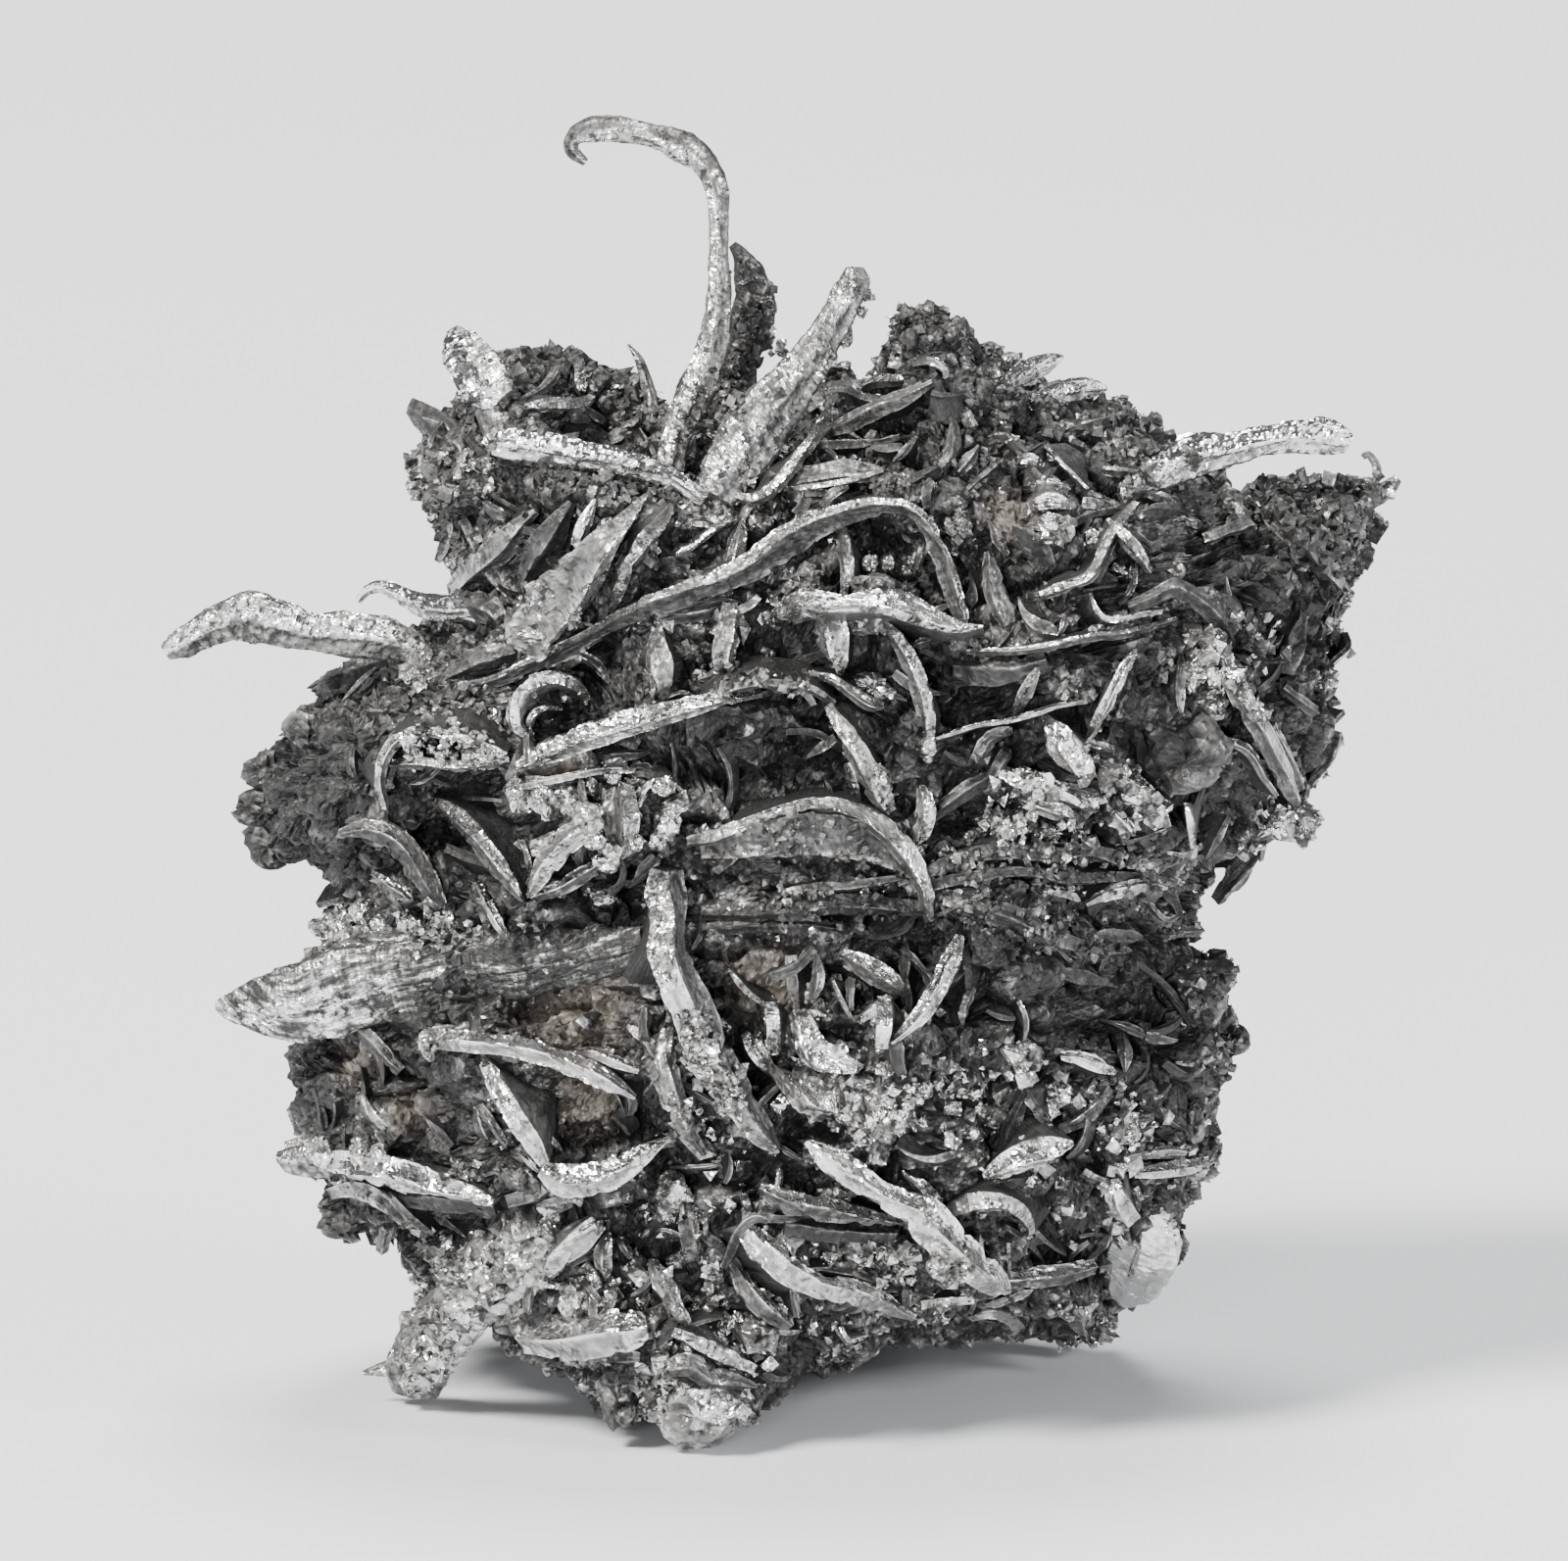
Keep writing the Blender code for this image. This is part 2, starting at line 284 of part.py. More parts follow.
# Nuggets on the mass: across, up and radius.
nuggets = [
    (8.7, 34.1, 0.4), (9.6, 33.2, 0.45), (9.3, 32.7, 0.45), (9.3, 31.9, 0.4), (9.8, 31.95, 0.45),
    (3.0, 26.1, 0.5), (6.4, 31.7, 0.4), (2.1, 37.4, 0.42), (14.6, 23.6, 1.4), (14.8, 26.2, 0.42),
    (18.4, 21.1, 0.9), (20.2, 26.2, 0.5), (17.5, 32.5, 0.5), (16.5, 10.0, 0.6), (-12.3, 34.3, 0.42),
    (-10.8, 34.0, 0.4), (-12.1, 33.4, 0.42), (-13.3, 34.3, 0.4), (-9.2, 27.8, 0.4), (16.5, 32.3, 0.4),
    (-13.4, 26.3, 0.65), (-19.0, 22.9, 0.8), (-19.1, 21.5, 0.9), (-18.9, 20.2, 0.8), (-17.4, 24.4, 0.9),
    (-13.5, 17.0, 0.4), (-17.2, 9.4, 0.55), (-16.2, 6.3, 0.9), (-9.6, 21.9, 0.6), (-8.5, 21.7, 0.5),
    (-7.1, 21.2, 0.5), (-6.4, 19.6, 0.4), (-6.6, 18.3, 0.4), (3.5, 22.5, 0.5), (-12.9, 12.9, 0.55),
    (-0.9, 2.3, 0.9), (-3.2, -0.4, 1.4), (-4.5, -0.4, 0.6), (-1.9, -0.6, 0.55), (-6.0, -0.2, 0.8),
    (-8.6, 1.0, 0.4), (-7.1, 0.5, 0.45), (-7.6, 3.7, 0.65), (-5.4, 4.8, 0.4), (-4.0, 7.6, 0.8),
    (2.9, 11.5, 0.4), (8.8, 12.4, 0.5), (12.9, 5.6, 1.0), (14.1, 5.6, 0.8), (10.3, 3.1, 0.4),
    (10.6, 1.9, 0.7), (11.8, 2.7, 0.5), (5.6, 4.8, 0.45), (6.5, 4.6, 0.4), (15.0, 14.6, 0.9),
    (15.8, 15.4, 0.7), (16.6, 13.0, 0.6), (15.0, 10.0, 0.6)]

# Nuggets on the growths that stand clear: depth, across, up and radius.
clearNuggets = [
    (-2.3, -0.75, 40.3, 0.28), (-2.3, -0.6, 39.9, 0.25), (-2.6, -1.2, 39.1, 0.25), (-2.6, -0.6, 38.7, 0.3),
    (-5.3, 2.25, 38.7, 0.34), (-5.0, 2.85, 39.6, 0.3), (-4.8, 2.95, 40.25, 0.26), (-6.2, 1.5, 37.9, 0.4),
    (-5.8, -0.1, 38.1, 0.22), (-0.1, 21.1, 32.0, 0.7), (-0.2, 20.8, 30.9, 0.7)]


def seenPlace(across, up, depth):
    # The point that is seen at (across, up) and lies at that depth.
    height = (up - depth * math.sin(viewTilt)) / math.cos(viewTilt)
    return Vector((across - boxCentreX, depth - boxCentreY, height)) * mm


def edgeRadius(angle):
    # How far the outline is from the centre in one direction.
    cx, cy = massCentre
    dx, dy = math.cos(angle), math.sin(angle)
    farthest = 0.0
    for (x1, y1), (x2, y2) in zip(massOutline, massOutline[1:] + massOutline[:1]):
        ex, ey = x2 - x1, y2 - y1
        cross = dx * ey - dy * ex
        if abs(cross) < 1e-9:
            continue
        along = ((x1 - cx) * ey - (y1 - cy) * ex) / cross
        share = ((x1 - cx) * dy - (y1 - cy) * dx) / cross
        if along > 0 and 0 <= share <= 1:
            farthest = max(farthest, along)
    return farthest


def rimDepth(across, up):
    low, high = rimDepthFades
    fade = min(1.0, max(0.0, (high - up) / (high - low)))
    fade = fade * fade * (3 - 2 * fade)
    for (x1, d1), (x2, d2) in zip(rimDepths, rimDepths[1:]):
        if x1 <= across <= x2:
            return fade * (d1 + (d2 - d1) * (across - x1) / (x2 - x1))
    return 0.0


def lumps(across, up, side):
    # Broad swells of the surface, from three crossing waves.
    first = math.sin(0.83 * across + 0.41 * up + 1.0 + side)
    second = math.sin(0.57 * up - 0.62 * across + 2.2 * side)
    third = math.sin(1.31 * up + 0.35 * across + 0.7)
    return 0.55 * first + 0.5 * second + 0.35 * third


def rimDistance(across, up):
    # How far inside the outline a place is, or 0 outside it.
    dx, dy = across - massCentre[0], up - massCentre[1]
    away = math.hypot(dx, dy)
    if away > 1e-6 and away >= edgeRadius(math.atan2(dy, dx)):
        return 0.0
    nearest = edgeRounding
    for (x1, y1), (x2, y2) in zip(massOutline, massOutline[1:] + massOutline[:1]):
        ex, ey = x2 - x1, y2 - y1
        share = ((across - x1) * ex + (up - y1) * ey) / (ex * ex + ey * ey)
        share = max(0.0, min(1.0, share))
        nearest = min(nearest, math.hypot(across - x1 - share * ex, up - y1 - share * ey))
    return nearest


def surfaceDepth(across, up, side):
    # Depth of the mass's surface, rounded over near the rim.
    rim = rimDepth(across, up)
    inward = rimDistance(across, up) / edgeRounding
    swell = (1 - (1 - inward) ** roundness) ** (1 / roundness)
    thickness = backThickness if side == back else -frontThickness
    depth = rim + (thickness - rim) * swell + side * swell * lumps(across, up, side)
    if side == front:
        for x, y, radius, deep in hollows:
            depth += deep * math.exp(-((across - x) ** 2 + (up - y) ** 2) / radius ** 2)
    return depth


def surfacePlace(angle, belt):
    # Across, up and depth of the surface.
    share = math.sin(0.5 * math.pi * (1 - abs(belt)))
    reach = share * edgeRadius(angle)
    x = massCentre[0] + reach * math.cos(angle)
    y = massCentre[1] + reach * math.sin(angle)
    if abs(belt) < 1e-9:
        return x, y, rimDepth(x, y)
    return x, y, surfaceDepth(x, y, back if belt > 0 else front)


def surfaceFrame(angle, belt):
    # A point on the surface and the outward direction there.
    step = 0.03
    x, y, depth = surfacePlace(angle, belt)
    around = seenPlace(*surfacePlace(angle + step, belt)) - seenPlace(*surfacePlace(angle - step, belt))
    along = seenPlace(*surfacePlace(angle, belt + step)) - seenPlace(*surfacePlace(angle, belt - step))
    outward = along.cross(around).normalized()
    point = seenPlace(x, y, depth)
    middle = seenPlace(massCentre[0], massCentre[1], 0.0)
    if outward.dot(point - middle) < 0:
        outward.negate()
    return point, outward


def squareAngle(p, q):
    # The direction that a place on a square takes when the square is drawn out to a disc.
    if abs(p) >= abs(q):
        return (0 if p >= 0 else math.pi) + (0.25 * math.pi * q / p if p else 0.0)
    return math.copysign(0.5 * math.pi, q) - 0.25 * math.pi * p / q


def massMesh(chance):
    # Two square grids drawn over the front and the back, joined at the rim. Each point is a little off.
    mesh = bmesh.new()
    grids = {}
    for side in (front, back):
        grid = {}
        for column in range(massCells + 1):
            for row in range(massCells + 1):
                p, q = 2 * column / massCells - 1, 2 * row / massCells - 1
                belt = side * (1 - max(abs(p), abs(q)))
                if side == back and abs(belt) < 1e-9:
                    grid[column, row] = grids[front][column, row]
                    continue
                point = seenPlace(*surfacePlace(squareAngle(p, q), belt))
                jog = Vector([chance.uniform(-massRoughness, massRoughness) * mm for _ in range(3)])
                grid[column, row] = mesh.verts.new(point + jog)
        grids[side] = grid
        for column in range(massCells):
            for row in range(massCells):
                a, b = grid[column, row], grid[column + 1, row]
                c, d = grid[column + 1, row + 1], grid[column, row + 1]
                cut = (a, b, c), (a, c, d)
                if (column + row) % 2:
                    cut = (a, b, d), (b, c, d)
                for corners in cut:
                    mesh.faces.new(corners)
    bmesh.ops.recalc_face_normals(mesh, faces=mesh.faces)
    return mesh


def directions(points):
    # Unit sideways direction at each point, across the path.
    sideways = []
    for index in range(len(points)):
        before = points[max(0, index - 1)]
        after = points[min(len(points) - 1, index + 1)]
        dx, dy = after[0] - before[0], after[1] - before[1]
        length = math.hypot(dx, dy)
        sideways.append((-dy / length, dx / length))
    return sideways


def sweptMesh(sections):
    # A closed skin over equal rings of points, with a face on each end.
    mesh = bmesh.new()
    rows = [[mesh.verts.new(point) for point in section] for section in sections]
    corners = len(rows[0])
    for first, second in zip(rows, rows[1:]):
        for index in range(corners):
            following = (index + 1) % corners
            mesh.faces.new((first[index], first[following], second[following], second[index]))
    mesh.faces.new(rows[0][::-1])
    mesh.faces.new(rows[-1])
    bmesh.ops.recalc_face_normals(mesh, faces=mesh.faces)
    return mesh


def thinned(points, tolerance):
    # The points that the bends and the changes of width need.
    if len(points) < 3:
        return points
    first, last = points[0], points[-1]
    chord = Vector(last) - Vector(first)
    worst, where = 0.0, 0
    for index in range(1, len(points) - 1):
        step = Vector(points[index]) - Vector(first)
        share = max(0.0, min(1.0, step.dot(chord) / chord.length_squared))
        off = (step - share * chord).length
        if off > worst:
            worst, where = off, index
    if worst <= tolerance:
        return [first, last]
    return thinned(points[:where + 1], tolerance)[:-1] + thinned(points[where:], tolerance)


def halfBase(width, above):
    # Half the width of a ridge's foot, sunk below the surface, from its width at the surface.
    return min(0.5 * width * (above + bladeSink) / above, widestBase * width)


def bladeMesh(lift, points):
    # A ridge with two sloping faces on the front. It bridges the hollows that it crosses.
    points = thinned(points, bladeTolerance)
    depths = [surfaceDepth(x, y, front) for x, y, _ in points]
    sections = []
    for index, ((x, y, width), (nx, ny)) in enumerate(zip(points, directions(points))):
        chord = depths[0] + (depths[-1] - depths[0]) * index / (len(points) - 1)
        surface = min(depths[index], chord)
        above = lift + 0.5 * width
        half = halfBase(width, above)
        base = depths[index] + bladeSink
        sections.append([
            seenPlace(x, y, surface - above),
            seenPlace(x + nx * half, y + ny * half, base),
            seenPlace(x - nx * half, y - ny * half, base)])
    return sweptMesh(sections)


def wireMesh(start, end, points):
    # A four-sided wire that stands clear. An end with no depth of its own is rooted in the mass.
    points = thinned(points, wireTolerance)
    if start is None:
        start = surfaceDepth(points[0][0], points[0][1], front)
    if end is None:
        end = surfaceDepth(points[-1][0], points[-1][1], front)
    reach = [0.0]
    for (x1, y1, _), (x2, y2, _) in zip(points, points[1:]):
        reach.append(reach[-1] + math.hypot(x2 - x1, y2 - y1))
    sections = []
    for (x, y, width), (nx, ny), run in zip(points, directions(points), reach):
        depth = start + (end - start) * run / reach[-1]
        half = 0.5 * width
        sections.append([
            seenPlace(x, y, depth - wireFlatness * half),
            seenPlace(x + nx * half, y + ny * half, depth),
            seenPlace(x, y, depth + wireFlatness * half),
            seenPlace(x - nx * half, y - ny * half, depth)])
    return sweptMesh(sections)


def nuggetMesh(centre, radii, chance):
    # A faceted lump with twenty faces, each corner a little in or out.
    mesh = bmesh.new()
    bmesh.ops.create_icosphere(mesh, subdivisions=1, radius=1.0)
    turn = Vector((chance.random(), chance.random(), chance.random())).normalized()
    for vert in mesh.verts:
        point = vert.co.reflect(turn) * (1 + chance.uniform(-nuggetRoughness, nuggetRoughness))
        vert.co = centre + Vector([p * r * mm for p, r in zip(point, radii)])
    bmesh.ops.recalc_face_normals(mesh, faces=mesh.faces)
    return mesh


def scatteredBladeMesh(chance):
    # A blade over the rim or the back. One end lies on the surface and the other rises from it.
    angle = chance.uniform(0, 2 * math.pi)
    belt = chance.choice((chance.uniform(-0.35, 0.3), chance.uniform(0.1, 0.88)))
    heading = chance.uniform(0, 2 * math.pi)
    length = chance.uniform(*scatteredLengths)
    width = chance.uniform(*scatteredWidths)
    rise = chance.uniform(*scatteredRises)
    share = math.sin(0.5 * math.pi * (1 - abs(belt)))
    turn = length * math.cos(heading) / (turnLength * max(share, 0.3))
    climb = length * math.sin(heading) / beltLength
    sections = []
    for part, taper, lift in ((0.0, 0.6, 0.3), (0.35, 1.0, 0.55), (0.7, 0.8, 0.8), (1.0, 0.2, 1.0)):
        place = max(-farthestBelt, min(farthestBelt, belt + climb * part))
        point, outward = surfaceFrame(angle + turn * part, place)
        sections.append((point, outward, width * taper, 0.5 + rise * lift * lift))
    skin = []
    for index, (point, outward, wide, above) in enumerate(sections):
        before = sections[max(0, index - 1)][0]
        after = sections[min(len(sections) - 1, index + 1)][0]
        sideways = (after - before).cross(outward).normalized()
        half = halfBase(wide, above) * mm
        foot = point - outward * bladeSink * mm
        skin.append([point + outward * above * mm, foot + sideways * half, foot - sideways * half])
    return sweptMesh(skin)


def scatteredGrowthMeshes(chance):
    meshes = [scatteredBladeMesh(chance) for _ in range(scatteredBlades)]
    for _ in range(scatteredNuggets):
        point, outward = surfaceFrame(chance.uniform(0, 2 * math.pi), chance.uniform(-0.25, 0.85))
        radius = chance.uniform(*scatteredRadii)
        centre = point - outward * 0.3 * radius * mm
        meshes.append(nuggetMesh(centre, (radius, radius, radius * 0.9), chance))
    return meshes


def frontGrowthMeshes(chance):
    meshes = []
    for start, end, points in freeGrowths.values():
        meshes.append(wireMesh(start, end, points))
    for lift, points in upperFaceBlades + rightFaceBlades + middleBlades + lowerFaceBlades:
        meshes.append(bladeMesh(lift, points))
    for x, y, radius in nuggets:
        meshes.append(nuggetMesh(seenPlace(x, y, surfaceDepth(x, y, front)), (radius,) * 3, chance))
    for depth, x, y, radius in clearNuggets:
        meshes.append(nuggetMesh(seenPlace(x, y, depth), (radius,) * 3, chance))
    return meshes


def footMeshes(chance):
    meshes = []
    for (x, y, z), radii in feet:
        centre = Vector((x - boxCentreX, y - boxCentreY, z)) * mm
        meshes.append(nuggetMesh(centre, radii, chance))
    return meshes


def groundMesh():
    # Everything below the surface that the clump stands on.
    mesh = bmesh.new()
    bmesh.ops.create_cube(mesh, size=1.0)
    for vert in mesh.verts:
        vert.co = Vector((vert.co.x * 0.08, vert.co.y * 0.08, (vert.co.z - 0.5) * 0.02))
    return mesh


def joinedMesh(meshes):
    # All the closed shells in one mesh, still crossing each other.
    whole = bmesh.new()
    for mesh in meshes:
        data = bpy.data.meshes.new("shell")
        mesh.to_mesh(data)
        mesh.free()
        whole.from_mesh(data)
        bpy.data.meshes.remove(data)
    return whole


def newObject(name, mesh):
    data = bpy.data.meshes.new(name)
    mesh.to_mesh(data)
    mesh.free()
    made = bpy.data.objects.new(name, data)
    bpy.context.scene.collection.objects.link(made)
    return made


def silverMaterial():
    material = bpy.data.materials.new("silver")
    material.use_nodes = True
    shader = material.node_tree.nodes["Principled BSDF"]
    shader.inputs["Base Color"].default_value = (0.62, 0.6, 0.57, 1.0)
    shader.inputs["Metallic"].default_value = 0.9
    shader.inputs["Roughness"].default_value = 0.4
    return material


def growTogether(silver):
    # One skin over all the shells, as coarse as the small growths allow, worn flat where it stands.
    skin = silver.modifiers.new("one skin", "REMESH")
    skin.mode = "VOXEL"
    skin.voxel_size = skinCell * mm
    coarse = silver.modifiers.new("coarser", "DECIMATE")
    coarse.ratio = skinShare
    ground = newObject("ground", groundMesh())
    ground.hide_render = True
    ground.display_type = "WIRE"
    worn = silver.modifiers.new("worn soles", "BOOLEAN")
    worn.operation = "DIFFERENCE"
    worn.object = ground


def main():
    for old in list(bpy.data.objects):
        bpy.data.objects.remove(old, do_unlink=True)
    chance = random.Random(growthSeed)
    meshes = [massMesh(chance)]
    meshes += frontGrowthMeshes(chance)
    meshes += footMeshes(chance)
    meshes += scatteredGrowthMeshes(chance)
    silver = newObject("native_silver", joinedMesh(meshes))
    silver.data.materials.append(silverMaterial())
    growTogether(silver)


main()
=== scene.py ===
import math

import bpy
import numpy as np
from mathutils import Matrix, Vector


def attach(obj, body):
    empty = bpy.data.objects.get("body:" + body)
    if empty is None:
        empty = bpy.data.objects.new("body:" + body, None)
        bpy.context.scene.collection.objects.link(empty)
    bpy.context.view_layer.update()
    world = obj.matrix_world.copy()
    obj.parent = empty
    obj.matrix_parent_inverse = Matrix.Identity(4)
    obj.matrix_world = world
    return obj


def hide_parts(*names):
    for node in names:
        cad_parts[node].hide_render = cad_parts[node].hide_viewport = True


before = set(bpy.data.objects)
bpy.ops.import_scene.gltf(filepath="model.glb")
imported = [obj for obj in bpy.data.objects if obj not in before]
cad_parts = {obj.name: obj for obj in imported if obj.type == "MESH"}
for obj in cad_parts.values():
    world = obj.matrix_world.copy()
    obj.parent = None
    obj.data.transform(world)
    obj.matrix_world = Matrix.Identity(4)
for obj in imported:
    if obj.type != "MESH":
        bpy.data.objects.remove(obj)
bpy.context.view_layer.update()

# Sizes and places are in millimetres. A place on the clump is given as it is seen from the front and
# viewTilt above the level: across from left to right, up from the surface it stands on. Its depth is
# along +Y, so the front is negative.
mm = 0.001
viewTilt = math.radians(12)
boxCentreX = -0.1
boxCentreY = -0.79
frontThickness = 12.0
backThickness = 10.8
massCentre = (0.3, 19.0)
edgeRounding = 11.5
roundness = 2.1

# The mass as seen from the front, clockwise from its top left.
massOutline = [
    (-11.8, 38), (-10.5, 38.0), (-8.4, 38.2), (-6.8, 37.4), (-5.2, 36.6), (-4, 35.8), (-2, 36.2), (0, 36),
    (1.5, 36.9), (3.4, 37.9), (4.6, 39.6), (6.2, 39.4), (7.6, 37.9), (9.6, 37), (11.5, 36.3), (13.4, 35.5),
    (14, 34.3), (16, 33.5), (18.2, 33), (20.6, 33), (21.6, 32), (21, 30.2), (20.2, 28.5), (20.2, 26.5),
    (20.2, 24.8), (19.6, 22.8), (18.7, 20.8), (16.9, 20), (15.2, 18.8), (14.9, 16.9), (15.6, 15.3),
    (16.2, 13.8), (16.3, 12.4), (15.6, 11), (15.9, 9), (15, 7.2), (14.3, 5.4), (13.1, 3.7), (11.4, 2.2),
    (9, 2.1), (6, 2.1), (3.6, 1.9), (1.4, 0.9), (-0.8, -0.2), (-2, -1.4), (-4.2, -1.4), (-6.4, -0.8),
    (-8.2, 0.8), (-10, 1.9), (-12.8, 4), (-14.3, 5.5), (-16.2, 6), (-16.6, 7.4), (-17.2, 8.8),
    (-17.9, 10.3), (-18.2, 12.2), (-17.6, 13.2), (-16.6, 16.6), (-15.9, 17.9), (-17, 19.3), (-18.8, 20.4),
    (-19, 22.3), (-18, 24.4), (-16.8, 26.2), (-14.8, 27), (-13, 28.2), (-11.8, 29.4), (-12.4, 31.2),
    (-13, 33), (-13.1, 34.8), (-11.9, 36.4)]

# Depth of the mass's rim near the surface it stands on, by the distance across.
rimDepths = [(-20, 0), (-13.2, -2.2), (-8, -6), (-3.2, -8), (1, -6), (5, 0), (10.5, 6.2), (16, 3), (22, 0)]
rimDepthFades = (1.0, 9.0)

# Hollows in the front: across, up, radius and depth.
hollows = [
    (-6.8, 35.4, 1.6, 2.2), (-9.7, 33.5, 1.0, 1.4), (-7, 26.8, 1.5, 1.5), (-0.8, 26.9, 1.6, 1.8),
    (-3, 23.9, 2.6, 1.3), (-12, 21.9, 1.8, 1.5), (-13.5, 13.7, 2.0, 1.8), (6.6, 25.5, 1.3, 1.2),
    (6.2, 22.6, 2.0, 1.7), (16.2, 30.7, 1.0, 1.4), (18.5, 28.3, 2.2, 2.6), (11.8, 15, 2.0, 1.8),
    (12.2, 12.7, 1.2, 1.8), (10, 5.2, 1.7, 2.6), (7.2, 10.2, 1.6, 1.5), (-13, 6.6, 1.1, 1.5),
    (-7.5, 18.1, 1.0, 1.0), (1.4, 19.8, 2.0, 1.5), (-1.7, 5, 1.1, 1.6)]

# Patches of the front that are brighter or darker than the rest: across, up, radius and change.
brightnessPatches = [
    (2.0, 10.0, 3.5, 0.2), (6.5, 10.5, 3.0, 0.14), (-12.5, 32.5, 3.0, -0.16), (19.0, 32.5, 3.0, -0.1),
    (-5.5, 3.5, 4.0, 0.1), (3.5, 8.0, 6.0, 0.08), (11.0, 9.0, 4.0, 0.08), (-3.0, 23.5, 5.0, 0.12),
    (9.5, 23.5, 4.0, 0.1), (-5.0, 11.0, 4.0, 0.06), (1.5, 29.0, 2.5, 0.1), (-9.5, 36.5, 5.0, -0.3),
    (6.0, 37.5, 4.0, -0.26), (11.5, 35.5, 4.0, -0.26), (18.0, 31.0, 4.0, -0.25), (-18.5, 22.0, 4.0, -0.3),
    (-10.0, 17.5, 4.5, -0.25), (6.0, 18.0, 5.0, -0.15), (14.0, 14.5, 4.0, -0.22), (-15.0, 11.0, 4.0, -0.15)]

# Brown stains on the front: across, up and radius.
stains = [
    (-0.6, 15.2, 1.1), (-7.5, 14.2, 1.5), (-7.2, 10.9, 1.0), (-13.8, 10.4, 0.7), (-15.8, 12, 0.5),
    (8.2, 32.2, 0.7), (-8, 23.2, 0.7)]
